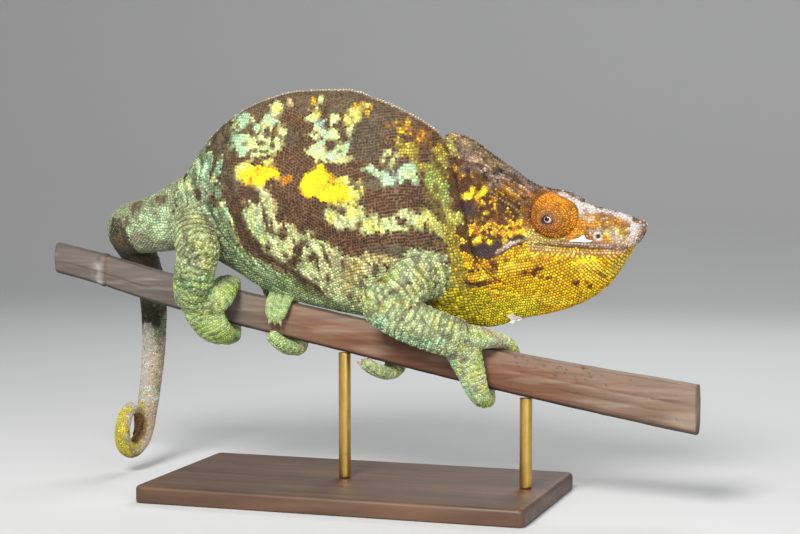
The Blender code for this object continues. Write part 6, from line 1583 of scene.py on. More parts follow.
def tiles(p, n, t, s, row, wide, tall, size, top, net, uv, shrink=0.90, rowed=None):
    """Low hexagonal domes: 13 vertices and 22 triangles each, closed underneath."""
    count = len(p)
    k = (row**2 + wide**2 / 4) / (2 * row)
    j = (row**2 - wide**2 / 4) / (2 * row)
    zero = np.zeros(count)
    a = np.stack([k, j, -j, -k, -j, j], 1) * (shrink * size)[:, None]
    b = np.stack([zero, wide / 2, wide / 2, zero, -wide / 2, -wide / 2], 1) * (shrink * size)[:, None]
    flat = t[:, None, :] * a[:, :, None] + s[:, None, :] * b[:, :, None]
    base = p[:, None] + flat - n[:, None] * 0.14
    ring = p[:, None] + flat * 0.76 + n[:, None] * (0.82 * tall)[:, None, None]
    tip = p[:, None] + n[:, None] * tall[:, None, None]
    co = np.concatenate([base, ring, tip], 1)
    first = np.arange(count)[:, None] * 13
    quads, tris, hexes = [], [], first + np.array([[5, 4, 3, 2, 1, 0]])
    for m in range(6):
        o = (m + 1) % 6
        quads.append(first + np.array([[m, o, 6 + o, 6 + m]]))
        tris.append(first + np.array([[6 + m, 6 + o, 12]]))
    quads = np.stack(quads, 1).reshape(-1, 4)
    tris = np.stack(tris, 1).reshape(-1, 3)
    lighter = (net.mean(1) > top.mean(1))[:, None]
    part_net = np.repeat(np.where(lighter, 0.80, 0.32), 6, 1)
    # rowed tiles gather the net's colour between rows or columns: on the throat this is painted shade between the rows
    # of beads
    if rowed is not None:
        part_net[rowed > 0] = [0.95, 0.36, 0.36, 0.95, 0.36, 0.36]
        part_net[rowed > 1] = [0.55, 0.12, 0.12, 0.55, 0.12, 0.12]
        part_net[rowed < 0] = [0.30, 0.90, 0.90, 0.30, 0.90, 0.90]
    low = part_net[:, :, None] * net[:, None] + (1 - part_net[:, :, None]) * top[:, None]
    # each tile's tip is 5% lighter than its ring: a painted highlight on the dome's top
    tint = np.concatenate([low, np.repeat(top[:, None], 6, 1), top[:, None] * 1.05], 1)
    ring_uv = np.stack([a, b], 2) / np.maximum(np.abs(a).max(1), 1e-6)[:, None, None]
    corner = np.concatenate([uv[:, None] + ring_uv * 0.0015, uv[:, None] + ring_uv * 0.00105, uv[:, None] + 0 * ring_uv[:, :1]], 1)
    under = uv[:, None] + ring_uv * 0.0002
    flat_uv = corner.reshape(-1, 2)
    order_uv = np.concatenate([flat_uv[tris.ravel()], flat_uv[quads.ravel()], under[:, ::-1].reshape(-1, 2)])
    return co.reshape(-1, 3), [tris, quads, hexes], tint.reshape(-1, 3), order_uv


# ---------------------------------------------------------------- materials, all procedural
def nodes_of(name):
    m = bpy.data.materials.new(name)
    m.use_nodes = True
    tree_ = m.node_tree
    return m, tree_, tree_.nodes["Principled BSDF"]


def add(tree_, kind, **inputs):
    node = tree_.nodes.new(kind)
    for key, value in inputs.items():
        if key in node.inputs:
            node.inputs[key].default_value = value
        else:
            setattr(node, key, value)
    return node


def spots(tree_, scale, detail=3.0, rough=0.55, stretch=None):
    """A noise texture in the object's own metres, stretched along an axis if asked."""
    where = add(tree_, "ShaderNodeTexCoord").outputs["Object"]
    if stretch:
        turn = add(tree_, "ShaderNodeMapping")
        turn.inputs["Scale"].default_value = stretch
        tree_.links.new(where, turn.inputs["Vector"])
        where = turn.outputs["Vector"]
    n = add(tree_, "ShaderNodeTexNoise")
    n.inputs["Scale"].default_value = scale
    n.inputs["Detail"].default_value = detail
    n.inputs["Roughness"].default_value = rough
    tree_.links.new(where, n.inputs["Vector"])
    return n.outputs["Fac"]


def ranged(tree_, value, low, high, at=(0.3, 0.7)):
    r = add(tree_, "ShaderNodeMapRange")
    for key, v in (("From Min", at[0]), ("From Max", at[1]), ("To Min", low), ("To Max", high)):
        r.inputs[key].default_value = v
    tree_.links.new(value, r.inputs["Value"])
    return r.outputs["Result"]


def tinted(tree_, bsdf, value, low, high):
    """Base colour: the painted colour, lightened and darkened by a pattern."""
    paint = add(tree_, "ShaderNodeVertexColor", layer_name="Tint")
    mixer = add(tree_, "ShaderNodeMix", data_type="RGBA", blend_type="MULTIPLY")
    mixer.inputs["Factor"].default_value = 1.0
    grey = add(tree_, "ShaderNodeCombineColor")
    amount = ranged(tree_, value, low, high)
    for c in ("Red", "Green", "Blue"):
        tree_.links.new(amount, grey.inputs[c])
    tree_.links.new(paint.outputs["Color"], mixer.inputs["A"])
    tree_.links.new(grey.outputs["Color"], mixer.inputs["B"])
    tree_.links.new(mixer.outputs["Result"], bsdf.inputs["Base Color"])


def bumped(tree_, bsdf, value, strength, distance):
    b = add(tree_, "ShaderNodeBump")
    b.inputs["Strength"].default_value = strength
    b.inputs["Distance"].default_value = distance
    tree_.links.new(value, b.inputs["Height"])
    tree_.links.new(b.outputs["Normal"], bsdf.inputs["Normal"])


def scaly(name, rough=(0.46, 0.64), level=0.24, pattern=900.0):
    m, t, b = nodes_of(name)
    tinted(t, b, spots(t, pattern), 0.84, 1.12)
    t.links.new(ranged(t, spots(t, 420.0), *rough), b.inputs["Roughness"])
    b.inputs["Specular IOR Level"].default_value = level
    bumped(t, b, spots(t, 2600.0, 2.0), 0.35, 0.00012)
    return m


skin_matter = scaly("chameleon_skin", (0.55, 0.7), 0.2)
body_matter = scaly("body_scales")
head_matter = scaly("head_scales", (0.48, 0.66), 0.20)
leg_matter = scaly("leg_scales")
tail_matter = scaly("tail_scales", (0.44, 0.62))
turret_matter = scaly("turret_scales", (0.5, 0.66), 0.16, 1300.0)

claw_matter, t, b = nodes_of("claw_horn")
tinted(t, b, spots(t, 1500.0, stretch=(1, 1, 0.4)), 0.85, 1.1)
t.links.new(ranged(t, spots(t, 800.0), 0.22, 0.38), b.inputs["Roughness"])
bumped(t, b, spots(t, 3000.0), 0.2, 0.00008)

eye_matter, t, b = nodes_of("wet_eye")
tinted(t, b, spots(t, 2600.0), 0.9, 1.08)
t.links.new(ranged(t, spots(t, 900.0), 0.05, 0.09), b.inputs["Roughness"])
b.inputs["Specular IOR Level"].default_value = 0.5
b.inputs["Coat Weight"].default_value = 0.5
b.inputs["Coat Roughness"].default_value = 0.05

cane_matter, t, b = nodes_of("dry_cane")
tinted(t, b, spots(t, 260.0, 5.0, 0.65, (0.05, 1.0, 1.0)), 0.80, 1.16)
t.links.new(ranged(t, spots(t, 500.0, 4.0, 0.6, (0.06, 1.0, 1.0)), 0.48, 0.72), b.inputs["Roughness"])
b.inputs["Specular IOR Level"].default_value = 0.32
bumped(t, b, spots(t, 900.0, 4.0, 0.6, (0.04, 1.0, 1.0)), 0.5, 0.00025)

rod_matter, t, b = nodes_of("brushed_brass")
tinted(t, b, spots(t, 300.0, stretch=(1.0, 1.0, 0.1)), 0.9, 1.06)
b.inputs["Metallic"].default_value = 1.0
t.links.new(ranged(t, spots(t, 1400.0, 3.0, 0.6, (0.02, 0.02, 1.0)), 0.26, 0.42), b.inputs["Roughness"])
bumped(t, b, spots(t, 3000.0, 2.0, 0.5, (0.02, 0.02, 1.0)), 0.15, 0.00003)

board_matter, t, b = nodes_of("stained_board")
tinted(t, b, spots(t, 60.0, 6.0, 0.62, (0.12, 1.0, 1.0)), 0.66, 1.3)
t.links.new(ranged(t, spots(t, 240.0, 4.0, 0.6, (0.1, 1.0, 1.0)), 0.38, 0.58), b.inputs["Roughness"])
bumped(t, b, spots(t, 520.0, 4.0, 0.6, (0.05, 1.0, 1.0)), 0.4, 0.0002)


# ---------------------------------------------------------------- skin and coat pieces
skin = mesh_piece("skin", skin_co, [skin_quads], linear(skin_colour), material=skin_matter)
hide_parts(*FLESH_NODES)

part = np.argmax(shares[VERT], axis=1)
right = P[:, 1] < 0
front = P[:, 0] > -20
group = np.empty(len(P), object)
for i in range(len(P)):
    side_name = "right" if right[i] else "left"
    if part[i] == 1:
        group[i] = f"coat_head_{side_name}"
    elif part[i] == 0:
        group[i] = f"coat_{'front' if P[i, 0] > -28 else 'rear'}_{side_name}"
    elif part[i] == 2:
        group[i] = "coat_tail"
    else:
        group[i] = f"coat_{'foreleg' if front[i] else 'hindleg'}_{side_name}"
SLOT_OF = {"head": ("skin_head", head_matter), "front": ("skin_body", body_matter), "rear": ("skin_body", body_matter), "tail": ("skin_tail", tail_matter), "foreleg": ("skin_leg", leg_matter), "hindleg": ("skin_leg", leg_matter)}

for name in sorted(set(group)):
    at = np.where(group == name)[0]
    laid = at[(PLAN[at] >= 0) & (U[at] >= 0)]
    # an unwrap of the lofts: length along, arc from the crest, one band for each loft
    bands, top_v = {}, 0.0
    long = 0.0
    for k in sorted(set(PLAN[laid])):
        m = laid[PLAN[laid] == k]
        bands[k] = (U[m].min(), V[m].min(), top_v)
        top_v += V[m].max() - V[m].min() + 3.0
        long = max(long, U[m].max() - U[m].min())
    s = 0.97 / max(long, top_v)
    uv = np.zeros((len(P), 2))
    for k, (u0, v0, start_v) in bands.items():
        m = laid[PLAN[laid] == k]
        uv[m] = np.stack([0.015 + s * (U[m] - u0), 0.015 + s * (V[m] - v0 + start_v)], 1)
    finder = KDTree(len(laid))
    for i in laid.tolist():
        finder.insert(P[i].tolist(), i)
    finder.balance()
    for i in at:
        if PLAN[i] < 0 or U[i] < 0:
            _, near, _ = finder.find(P[i].tolist())
            uv[i] = uv[near] + s * 0.5
    slot, matter = SLOT_OF[name.split("_")[1]]
    co, faces, tint, corner_uv = tiles(P[at], N[at], T[at], S[at], ROW[at], WIDE[at], TALL[at] * lift[at], size[at], linear(top[at]), linear(net[at]), uv[at], rowed=ROWED[at])
    piece = mesh_piece(name, co, faces, tint, corner_uv, matter)
    print(name, len(at), "scales", len(at) * 22, "triangles")


# ---------------------------------------------------------------- eyes
OPENING = (3.0, 2.35)
RIM_HEIGHT = 6.9
profile = [(-5.5, 13.2), (-3.4, 13.3), (-1.8, 13.1), (-0.2, 12.5), (1.4, 11.5), (3.2, 10.0), (4.8, 8.0), (5.9, 6.1), (6.6, 4.7), (6.9, 3.75), (6.85, 3.2), (6.5, 2.85), (5.7, 2.75), (4.3, 3.0), (2.9, 3.4)]


def turret_point(sign, h, r, angle):
    """A point of the turret at height h, radius r and angle; the rings lean back to the gaze."""
    centre, axis = eye_axes[sign]
    ex = unit(np.array([1.0, 0, 0]) - axis * axis[0])
    ez = unit(np.array([0, 0, 1.0]) - axis * axis[2])
    lean = np.clip(h / RIM_HEIGHT, 0, 1) ** 1.7
    oval = np.clip((9.0 - r) / 5.6, 0, 1)
    wide = 1 + oval * (OPENING[0] / 3.05 - 1)
    high = 1 + oval * (OPENING[1] / 3.05 - 1)
    shift = np.multiply.outer(lean, GAZE[0] * ex + GAZE[2] * ez)
    r = r * brow_cut(angle, r)
    return centre + np.multiply.outer(h, axis) + shift + np.multiply.outer(r * wide * np.cos(angle), ex) + np.multiply.outer(r * high * np.sin(angle), ez)


def turret_colour(sign, p, spread, seed):
    """Rust and orange, browner behind and below, with dark rings; spread is the ring radius. The brown lower rear and
    the orange upper front are partly the turret's own mottling, partly painted light and shade across the dome.
    """
    centre, _ = eye_axes[sign]
    d = (p - centre) * [1, 0, 1]
    blot = noise(p, 2.6, seed, 2)
    # warm and bright lean to the upper front: partly mottling, partly painted light on the dome's top and painted shade
    # on its lower rear
    warm = step(d[:, 0] * 0.6 + d[:, 2] * 0.8 + 11 * (blot - 0.5), -4.5, 5.0)[:, None]
    a = COLOURS["rust_brown"][0] * (1 - warm) + COLOURS["orange"][0] * warm * 0.6 + COLOURS["rust"][0] * warm * 0.4
    a = a * np.array([1.16, 1.06, 0.62])
    bright = step(noise(p, 3.0, seed + 1, 2) + 0.02 * d[:, 0], 0.56, 0.72)[:, None]
    a = a * (1 - 0.7 * bright) + 0.7 * bright * COLOURS["orange"][0]
    dark = step(noise(p, 1.9, seed + 2, 2), 0.56, 0.70)[:, None]
    a = a * (1 - 0.5 * dark) + 0.5 * dark * COLOURS["rust"][2]
    turn = np.arctan2(d[:, 2], d[:, 0])
    lines = np.sin((spread + 0.5 * noise(p, 3.0, seed + 3, 2)) * 2 * math.pi / 1.35 + 0.6 * np.sin(3 * turn))
    a = a * (1 - 0.24 * step(lines, 0.1, 0.9) * step(-spread, -11.8, -10.0) * (0.4 + 0.9 * noise(p, 4.0, seed + 5, 2)))[:, None]
    brow = step(-d[:, 0], 6.5, 11.0)[:, None] * step(spread, 7.0, 10.0)[:, None]
    a = a * (1 - 0.5 * brow) + 0.5 * brow * COLOURS["lid"][0]
    middle = step(-spread, -9.0, -5.0)[:, None]
    a = a * (1 - 0.35 * middle) + 0.35 * middle * COLOURS["lid"][0]
    near = step(-spread, -5.6, -4.2)[:, None]
    a = a * (1 - near) + near * COLOURS["lid"][0]
    # the lid's margin: partly its own dark brown, partly painted shadow of the gap round the eyeball
    rim = step(-spread, -3.9, -3.4)[:, None]
    return a * (1 - rim) + rim * np.array([92.0, 56, 44])


dense = np.array(catmull([(h, r, 0.0) for h, r in profile], 110))[:, :2]
arc = np.concatenate([[0], np.cumsum(np.linalg.norm(np.diff(dense, axis=0), axis=1))])
for sign, side_name in ((-1, "right"), (1, "left")):
    angles = np.linspace(0, 2 * math.pi, 96, endpoint=False)
    rings = np.stack([turret_point(sign, np.full(96, h), np.full(96, r), angles) for h, r in dense])
    centre, axis = eye_axes[sign]
    co, faces = loft(rings)
    spread = np.concatenate([np.repeat(dense[:, 1], 96), [13.0, 3.0]])
    after_rim = (np.arange(len(dense)) > np.argmax(dense[:, 0])) & (dense[:, 1] < 3.3)
    inner = np.concatenate([np.repeat(after_rim, 96), [False, True]])
    tint = turret_colour(sign, co, spread, 81) * 0.62 + 14
    # inside the lids: painted shade in the opening round the eyeball
    tint[inner] = [60, 38, 34]
    bumps = 0.14 * np.sin(np.concatenate([np.repeat(arc, 96), [0, 0]]) * 2 * math.pi / 1.22)
    middle = co[:-2].mean(0)
    away = unit(co - (centre - axis * 2))
    co = co + away * (bumps * (spread > 3.6))[:, None]
    parts = [(co, faces, linear(tint))]
    # granules in rings
    gp, gn, gt, gsz, gring = [], [], [], [], []
    grain_rng = np.random.default_rng(41)
    rim_arc = arc[np.argmax(dense[:, 0])]
    ring_at = np.arange(rim_arc - 0.1, np.interp(0.0, dense[:, 0], arc), -1.18)
    for k, d in enumerate(ring_at):
        h, r = np.interp(d, arc, dense[:, 0]), np.interp(d, arc, dense[:, 1])
        wide = 0.92 + 0.03 * k
        count = max(8, int(round(2 * math.pi * r / (wide + 0.25))))
        a = (np.arange(count) + grain_rng.uniform(0, 1) + grain_rng.normal(0, 0.16, count)) * 2 * math.pi / count
        one = np.ones(count)
        wave = 0.22 * np.sin(a * 3 + 1.3 * k) + grain_rng.normal(0, 0.10, count)
        hw, rw = np.interp(d + wave, arc, dense[:, 0]), np.interp(d + wave, arc, dense[:, 1])
        hw2, rw2 = np.interp(d + wave - 0.4, arc, dense[:, 0]), np.interp(d + wave - 0.4, arc, dense[:, 1])
        p0 = turret_point(sign, hw, rw, a)
        p1 = turret_point(sign, hw2, rw2, a)
        p2 = turret_point(sign, hw, rw, a + 0.02)
        tt = unit(p1 - p0)
        nn = unit(np.cross(p2 - p0, tt))
        nn *= np.sign(np.einsum("ij,ij->i", nn, p0 - (centre - axis * 4)))[:, None]
        gp.append(p0 + nn * 0.02)
        gn.append(nn)
        gt.append(tt)
        gsz.append((wide + 0.2) * grain_rng.uniform(0.8, 1.12, count))
        gring.append(np.full(count, r))
    gp, gn, gt, gsz, gring = (np.concatenate(v) for v in (gp, gn, gt, gsz, gring))
    gs = np.cross(gn, gt)
    shade_ = turret_colour(sign, gp, gring, 81) * np.random.default_rng(4).normal(1, 0.07, (len(gp), 1))
    dull = np.full((len(gp), 3), [136.0, 84, 40])
    uv = np.stack([0.02 + 0.94 * (0.5 + 0.5 * np.arctan2(gp[:, 2] - centre[2], gp[:, 0] - centre[0]) / math.pi), 0.05 + 0.9 * gring / 14], 1)
    gc, gf, gtint, _ = tiles(gp, gn, gt, gs, np.full(len(gp), 1.1), gsz, np.full(len(gp), 0.34), np.ones(len(gp)), linear(shade_), linear(dull), uv, 0.88)
    base_n = len(co)
    all_co = np.concatenate([co, gc])
    all_faces = [*faces, *[f + base_n for f in gf]]
    turret = mesh_piece(f"eye_turret_{side_name}", all_co, all_faces, np.concatenate([linear(tint), gtint]), material=turret_matter)
    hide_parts(f"eye_{side_name}")

    # the ball behind the lids, looking a little back
    radius = 4.2
    tip = turret_point(sign, np.array([RIM_HEIGHT - 0.75]), np.array([0.0]), np.array([0.0]))[0]
    look = unit(axis + np.array([-0.16, 0, 0.02]))
    ball = tip - axis * radius
    ex = unit(np.array([1.0, 0, 0]) - look * look[0])
    ez = np.cross(look, ex)
    polar = np.concatenate([np.linspace(0.02, 0.9, 40), np.linspace(0.96, 3.05, 26)])
    around = np.linspace(0, 2 * math.pi, 72, endpoint=False)
    rings = np.stack([
        ball + radius * (math.cos(a) * look + math.sin(a) * (np.cos(around)[:, None] * ex + np.sin(around)[:, None] * ez))
        for a in polar
    ])
    far_r = np.concatenate([np.repeat(radius * np.sin(np.minimum(polar, 1.5)), 72), [0.0, radius]])
    co, faces = loft(rings)
    iris = np.interp(far_r[:, None] + 0 * co[:, :1], [0, 1.12, 1.24, 1.36, 1.62, 2.2, 2.8, 3.3], np.arange(8))[:, 0]
    steps_ = np.array([(8, 6, 6), (10, 8, 8), (66, 44, 40), (206, 172, 166), (200, 156, 148), (182, 132, 122), (128, 84, 74), (80, 50, 42)], float)
    tint = np.stack([np.interp(iris, np.arange(8), steps_[:, c]) for c in range(3)], 1)
    streak = noise(co, 0.5, 91, 2)[:, None]
    tint = np.where(far_r[:, None] > 1.4, tint * (0.88 + 0.24 * streak), tint)
    eyeball = mesh_piece(f"eyeball_{side_name}", co, faces, linear(tint), material=eye_matter)


# ---------------------------------------------------------------- two scraps of shed skin
shed_matter, t, b = nodes_of("shed_skin")
tinted(t, b, spots(t, 900.0), 0.9, 1.06)
t.links.new(ranged(t, spots(t, 420.0), 0.5, 0.7), b.inputs["Roughness"])
b.inputs["Specular IOR Level"].default_value = 0.25
bumped(t, b, spots(t, 2600.0, 2.0), 0.35, 0.00012)


def scrap(name, outline, heart, depth, seed):
    """A dry flake lying on the scales: a thin closed sheet with curled, uneven edges."""
    edge = np.concatenate([np.asarray(outline, float), np.asarray(outline[:1], float)])
    gone = np.concatenate([[0], np.cumsum(np.linalg.norm(np.diff(edge, axis=0), axis=1))])
    want = np.linspace(0, gone[-1], 73)[:-1]
    edge = np.stack([np.interp(want, gone, edge[:, c]) for c in range(2)], 1)
    heart = np.asarray(heart, float)
    rim = edge - heart
    edge = heart + rim * (1 + 0.16 * (noise(np.stack([edge[:, 0], 0 * want, edge[:, 1]], 1), 0.8, seed, 2) - 0.5))[:, None]
    tops, lows = [], []
    for share in (0.04, 0.25, 0.5, 0.75, 0.92, 1.0):
        flat = heart + (edge - heart) * share
        row = []
        for fx, fz in flat:
            hit, way, _, _ = tree.ray_cast(Vector((fx, -90.0, fz)), Vector((0, 1, 0)))
            row.append((*hit[:], *way[:]) if hit is not None and hit[1] < 0 else (fx, depth, fz, 0.0, -1.0, -0.2))
        row = np.array(row)
        curl = 0.62 + 0.5 * share**3 * (noise(row[:, :3], 1.6, seed + 1, 2))
        place = row[:, :3] + unit(row[:, 3:]) * curl[:, None]
        tops.append(place)
        lows.append(place - unit(row[:, 3:]) * 0.2)
    co, faces = loft(np.stack(tops + lows[::-1]))
    tone = noise(co, 1.2, seed + 2, 2)[:, None]
    tint = np.array([214.0, 208, 198]) * (0.86 + 0.2 * tone)
    piece = mesh_piece(name, co, faces, linear(tint), material=shed_matter)


scrap("shed_scrap_eye", [(124.3, 148.0), (126.9, 149.0), (129.3, 149.5), (130.8, 150.6), (132.1, 151.5), (132.9, 150.3), (133.5, 149.0), (135.4, 148.4), (137.3, 148.1), (135.8, 147.2), (132.1, 147.1), (128.9, 147.5), (125.9, 147.3)], (131.4, 148.5), -12.0, 131)
scrap("shed_scrap_throat", [(88.5, 106.4), (90.5, 107.2), (91.8, 107.8), (93.4, 106.6), (95.6, 105.9), (97.2, 104.9), (95.8, 103.8), (93.4, 104.0), (92.4, 102.1), (90.2, 102.3), (89.7, 104.4)], (92.0, 105.2), -6.0, 141)


# ---------------------------------------------------------------- claws
for foot_name, foot in FEET.items():
    made, tints = [], []
    for which in ("upper", "lower"):
        path, toes, side = bundle_paths[f"{foot_name}_{which}"]
        tip, before = path[-1], path[-2]
        forward = unit(tip[:3] - before[:3])
        across = unit(np.array([1.0, 0, 0]) - forward * forward[0])
        for k in range(toes):
            spread = (k - (toes - 1) / 2) / max(1, (toes - 1) / 2)
            root = tip[:3] + across * spread * (tip[3] - 1.6) - forward * 0.6
            way = unit(forward + across * spread * 0.25)
            shares_ = np.linspace(-0.45, 1.0, 15)
            points = root + np.multiply.outer(shares_ * CLAW_LENGTH, way)
            axis_z = smooth(CANE, points[:, 0])[:, 0] - smooth(CANE, points[:, 0])[:, 1] / 2
            inward = unit(np.stack([np.zeros(15), -points[:, 1], axis_z - points[:, 2]], 1))
            points = points + inward * (0.9 * np.clip(shares_, 0, 1) ** 2)[:, None]
            thick = CLAW_RADIUS * np.interp(shares_, [-0.45, 0.0, 0.35, 0.7, 1.0], [1.0, 1.04, 0.84, 0.5, 0.12])
            clear, _ = cane_clearance(points)
            points = points - inward * np.maximum(thick + 0.12 - clear, 0)[:, None]
            rows = np.concatenate([points, np.stack([thick * 0.82, thick * 1.12], 1)], 1)
            rings = tube_rings(rows, 20, across)
            co, faces = loft(rings)
            made.append((co, faces))
            f = np.concatenate([np.repeat(shares_, 20), [-0.45, 1.0]])
            pale, dark = np.array([206.0, 194, 164]), np.array([120.0, 98, 74])
            tone = step(f, 0.1, 1.0)[:, None]
            tints.append((pale * (1 - tone) + dark * tone) * (0.9 + 0.2 * noise(co, 1.1, 95, 2))[:, None])
    co, faces = joined(made)
    claw = mesh_piece(f"claws_{foot_name}", co, faces, linear(np.concatenate(tints)), material=claw_matter)


# ---------------------------------------------------------------- the cane
count, around = 520, 112
xs = np.linspace(CANE_ENDS[0] + 0.3, CANE_ENDS[1] - 0.3, count)
rings = np.zeros((count, around, 3))
for i, xx in enumerate(xs):
    yy, zz, mid = cane_outline(xx, around)
    rings[i] = np.stack([np.full(around, xx), yy, zz + mid], 1)
mids = smooth(CANE, xs)
centre_line = np.stack([xs, 0 * xs, mids[:, 0] - mids[:, 1] / 2], 1)
flat = rings.reshape(-1, 3)
away = unit(flat - np.repeat(centre_line, around, 0))
share_up = ((flat[:, 2] - np.repeat(centre_line[:, 2], around)) / np.repeat(mids[:, 1], around)) + 0.5
fibre = noise(flat, 1.1, 51, 3, (42, 1, 1))
rough_bits = noise(flat, 2.2, 52, 3, (7, 1, 1))
lift_c = 0.16 * (fibre - 0.5) * 2 + 0.10 * (rough_bits - 0.5) * 2
node = np.exp(-(((flat[:, 0] - CANE_NODE_X) / 1.6) ** 2)) * 0.55 - 0.5 * np.exp(-(((flat[:, 0] - CANE_NODE_X - 2.6) / 0.6) ** 2))
lift_c += node
# lengthwise cracks, and pits on the upper face
for cx0, cx1, at_share, deep in ((84, 192, 0.60, 0.42), (20, 180, 0.12, 0.4), (110, 192, 0.36, 0.3), (-186, -120, 0.42, 0.35), (-60, 40, 0.52, 0.22), (60, 150, 0.80, 0.25)):
    run = step(flat[:, 0], cx0, cx0 + 14) * step(-flat[:, 0], -cx1, -cx1 + 14)
    where_c = at_share + 0.03 * (noise(flat * [1, 0, 0], 26.0, int(60 + cx0) % 97, 2) - 0.5)
    lift_c -= deep * run * np.exp(-(((share_up - where_c) * 20 / 0.5) ** 2)) * (flat[:, 1] < 2)
prng = np.random.default_rng(31)
pits = np.zeros(len(flat))
for _ in range(22):
    px, pa, pr = prng.uniform(92, 150), prng.uniform(0.66, 0.98), prng.uniform(0.3, 0.6)
    pits = np.maximum(pits, np.exp(-((flat[:, 0] - px) / (pr * 1.3)) ** 2 - ((share_up - pa) * 20 / (pr * 0.8)) ** 2) * (flat[:, 1] < 4))
for _ in range(24):
    px, pa, pr = prng.uniform(-186, 190), prng.uniform(0.05, 0.98), prng.uniform(0.25, 0.5)
    pits = np.maximum(pits, np.exp(-((flat[:, 0] - px) / (pr * 1.6)) ** 2 - ((share_up - pa) * 20 / (pr * 0.8)) ** 2) * (np.sign(flat[:, 1]) == prng.choice([-1, 1])))
lift_c -= 0.35 * pits
lift_c -= 0.22 * step(-np.abs(share_up - 0.02), -0.05, 0)
flat = flat + away * lift_c[:, None]
rings = flat.reshape(count, around, 3)
co, faces = loft(rings)
tone = noise(flat, 9.0, 53, 3, (9, 1, 1))[:, None]
grain = noise(flat, 1.0, 54, 3, (30, 1, 1))[:, None]
pink, tan_c, grey_c = np.array([128.0, 100, 84]), np.array([146.0, 122, 98]), np.array([108.0, 103, 100])
far_left = step(-flat[:, 0], 30, 90)[:, None]
pale_right = step(flat[:, 0], 90, 170)[:, None]
colour = pink * (1 - tone) + tan_c * tone
colour = colour * (1 - 0.85 * far_left) + 0.85 * far_left * grey_c
colour = colour * (1 - 0.4 * pale_right) + 0.4 * pale_right * np.array([160.0, 136, 118])
redder = (step(flat[:, 0], -60, 0) * step(-flat[:, 0], -150, -96) * step(-share_up, -0.86, -0.70))[:, None]
colour = colour * (1 - redder * np.array([0.02, 0.17, 0.26]))
colour *= (0.67 + 0.24 * grain) * np.array([1.01, 0.985, 0.965])
weather = step(noise(flat, 5.0, 56, 3, (9, 1, 1)), 0.56, 0.72)[:, None]
colour = colour * (1 - 0.3 * weather) + 0.3 * weather * np.array([170.0, 164, 154])
colour = colour * (1 - 0.75 * pits[:, None]) + 0.75 * pits[:, None] * np.array([60.0, 40, 34])
ringed = np.exp(-(((flat[:, 0] - CANE_NODE_X - 2.6) / 0.9) ** 2))[:, None]
colour = colour * (1 - 0.5 * ringed) + 0.5 * ringed * np.array([90.0, 66, 58])
whitish = np.exp(-(((flat[:, 0] - CANE_NODE_X + 1.6) / 3.0) ** 2))[:, None] * step(noise(flat, 3.4, 55, 3), 0.24, 0.56)[:, None] * step(-share_up, -0.8, -0.6)[:, None]
colour = colour * (1 - 0.6 * whitish) + 0.6 * whitish * np.array([176.0, 176, 178])
# painted shade on the cane's lower face
underside_shade = step(-share_up, -0.16, -0.02)[:, None]
colour *= 1 - 0.45 * underside_shade
# painted shade in cracks, pits and the node's groove, by how deep the surface is sunk
sunk_shade = step(-lift_c, 0.16, 0.5)[:, None]
colour = colour * (1 - 0.55 * sunk_shade) + 0.55 * sunk_shade * np.array([92.0, 62, 52])
ends = np.array([[112.0, 92, 78], [140.0, 116, 94]])
cane = mesh_piece("cane", co, faces, linear(np.concatenate([colour, ends])), material=cane_matter)
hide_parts("perch_cane")


# ---------------------------------------------------------------- the stand
for k in (1, 2):
    low, high = (np.array(v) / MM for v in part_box(f"stand_rod_{k}"))
    middle = (low + high) / 2
    radius = (high[0] - low[0]) / 2
    heights = np.concatenate([[low[2] + 0.02], np.linspace(low[2] + 0.3, high[2] - 1.4, 60), [high[2] - 1.2]])
    spread_r = np.full(len(heights), radius - 0.02)
    spread_r[0] -= 0.3
    spread_r += 0.012 * np.sin(np.arange(len(heights)) * 2.1)
    a = np.linspace(0, 2 * math.pi, 48, endpoint=False)
    rings = np.stack([np.stack([middle[0] + r * np.cos(a), middle[1] + r * np.sin(a), np.full(48, h)], 1) for h, r in zip(heights, spread_r)])
    co, faces = loft(rings)
    tint = np.array([206.0, 170, 92]) * (0.92 + 0.12 * noise(co, 4.0, 97, 2))[:, None]
    rod = mesh_piece(f"rod_{k}", co, faces, linear(tint), material=rod_matter)
    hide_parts(f"stand_rod_{k}")

low, high = (np.array(v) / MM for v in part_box("stand_base"))
middle, half = (low + high) / 2, (high - low) / 2


def board_outline(inset, corner, z, per=14):
    """A rounded rectangle's points, inset from the board's edge."""
    points = []
    hx, hy = half[0] - inset, half[1] - inset
    r = max(corner - inset, 0.6)
    straight_x, straight_y = np.linspace(-(hx - r), hx - r, 60), np.linspace(-(hy - r), hy - r, 34)
    for n in range(4):
        a0 = math.pi / 2 * n
        cx = (hx - r) * (1 if n in (0, 3) else -1)
        cy = (hy - r) * (1 if n in (0, 1) else -1)
        for a in np.linspace(a0, a0 + math.pi / 2, per):
            points.append((cx + r * math.cos(a), cy + r * math.sin(a)))
        run = {0: [(v, hy) for v in straight_x[::-1]], 1: [(-hx, v) for v in straight_y[::-1]], 2: [(v, -hy) for v in straight_x], 3: [(hx, v) for v in straight_y]}[n]
        points += run[1:-1]
    return np.array([(middle[0] + px, middle[1] + py, z) for px, py in points])


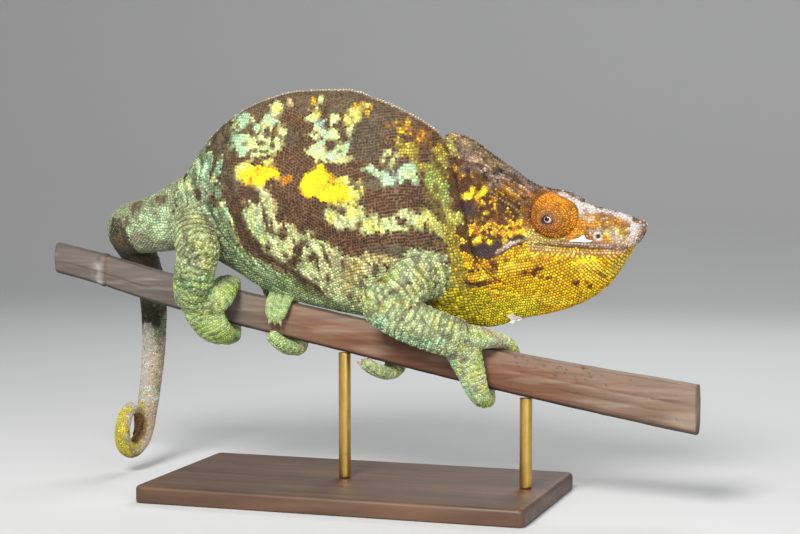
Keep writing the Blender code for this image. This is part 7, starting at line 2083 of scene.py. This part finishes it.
levels = [(1.2, low[2] + 0.02), (0.3, low[2] + 0.5), (0.05, low[2] + 1.4), (0.02, (low[2] + high[2]) / 2), (0.05, high[2] - 2.6)]
levels += [(0.05 + 2.4 * (1 - math.cos(a)), high[2] - 2.6 + 2.55 * math.sin(a)) for a in np.linspace(0.15, math.pi / 2, 9)]
levels += [(v, high[2] - 0.05) for v in np.linspace(4.0, half[1] - 2.0, 26)]
rings = np.stack([board_outline(inset, 4.0, z) for inset, z in levels])
co, faces = loft(rings)
grain = noise(co, 3.0, 57, 3, (16, 1, 1))[:, None]
broad = noise(co, 22.0, 58, 2, (5, 1, 1))[:, None]
tint = np.array([66.0, 46, 34]) * (1 - grain) + np.array([104.0, 74, 52]) * grain
board = mesh_piece("board", co, faces, linear(tint * (0.8 + 0.35 * broad)), material=board_matter)
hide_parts("stand_base")


# ---------------------------------------------------------------- camera, light and floor
scene = bpy.context.scene
scene.view_settings.view_transform = "Standard"
camera = bpy.data.objects.new("camera", bpy.data.cameras.new("camera"))
scene.collection.objects.link(camera)
camera.data.lens, camera.data.sensor_width = 84.375, 36.0
camera.location = (0.34868, -0.99618, 0.20424)
camera.rotation_euler = (Vector(camera.location) - Vector((0.025, 0, 0.131))).to_track_quat("Z", "Y").to_euler()
scene.camera = camera

world = bpy.data.worlds.new("studio")
world.use_nodes = True
scene.world = world
world.node_tree.nodes["Background"].inputs["Color"].default_value = (0.9, 0.89, 0.87, 1)
world.node_tree.nodes["Background"].inputs["Strength"].default_value = 0.38


def area(name, at, look_at, size_m, energy, colour=(1, 1, 1)):
    lamp = bpy.data.objects.new(name, bpy.data.lights.new(name, "AREA"))
    lamp.data.shape, lamp.data.size, lamp.data.energy, lamp.data.color = "DISK", size_m, energy, colour
    lamp.location = at
    lamp.rotation_euler = (Vector(at) - Vector(look_at)).to_track_quat("Z", "Y").to_euler()
    scene.collection.objects.link(lamp)
    return lamp


area("key", (0.0, -1.0, 0.82), (0.0, 0.0, 0.14), 0.42, 20.0, (1.0, 0.985, 0.95))
area("fill", (0.8, -0.95, 0.42), (0.04, 0.0, 0.13), 0.7, 6.5, (0.98, 0.99, 1.0))
area("back", (0.1, 0.9, 0.9), (0.0, 0.0, 0.18), 0.6, 6.0)

floor_matter, t, b = nodes_of("studio_floor")
b.inputs["Base Color"].default_value = (0.56, 0.57, 0.58, 1)
b.inputs["Roughness"].default_value = 0.9
depth = np.concatenate([np.linspace(-2.6, 1.2, 20), 1.2 + 0.8 * np.sin(np.linspace(0.1, math.pi / 2, 16)), np.full(10, 2.0)])
rise = np.concatenate([np.zeros(20), 0.8 - 0.8 * np.cos(np.linspace(0.1, math.pi / 2, 16)), np.linspace(0.9, 3.4, 10)])
wide_x = np.linspace(-3.2, 3.2, 33)
grid = np.stack([np.stack([wide_x, np.full(33, d), np.full(33, r)], 1) for d, r in zip(depth, rise)]).reshape(-1, 3) / MM
i, j = np.meshgrid(np.arange(len(depth) - 1), np.arange(32), indexing="ij")
i, j = i.ravel(), j.ravel()
floor = mesh_piece("studio_sweep", grid, [np.stack([i * 33 + j, i * 33 + j + 1, (i + 1) * 33 + j + 1, (i + 1) * 33 + j], 1)], material=floor_matter, body=None)
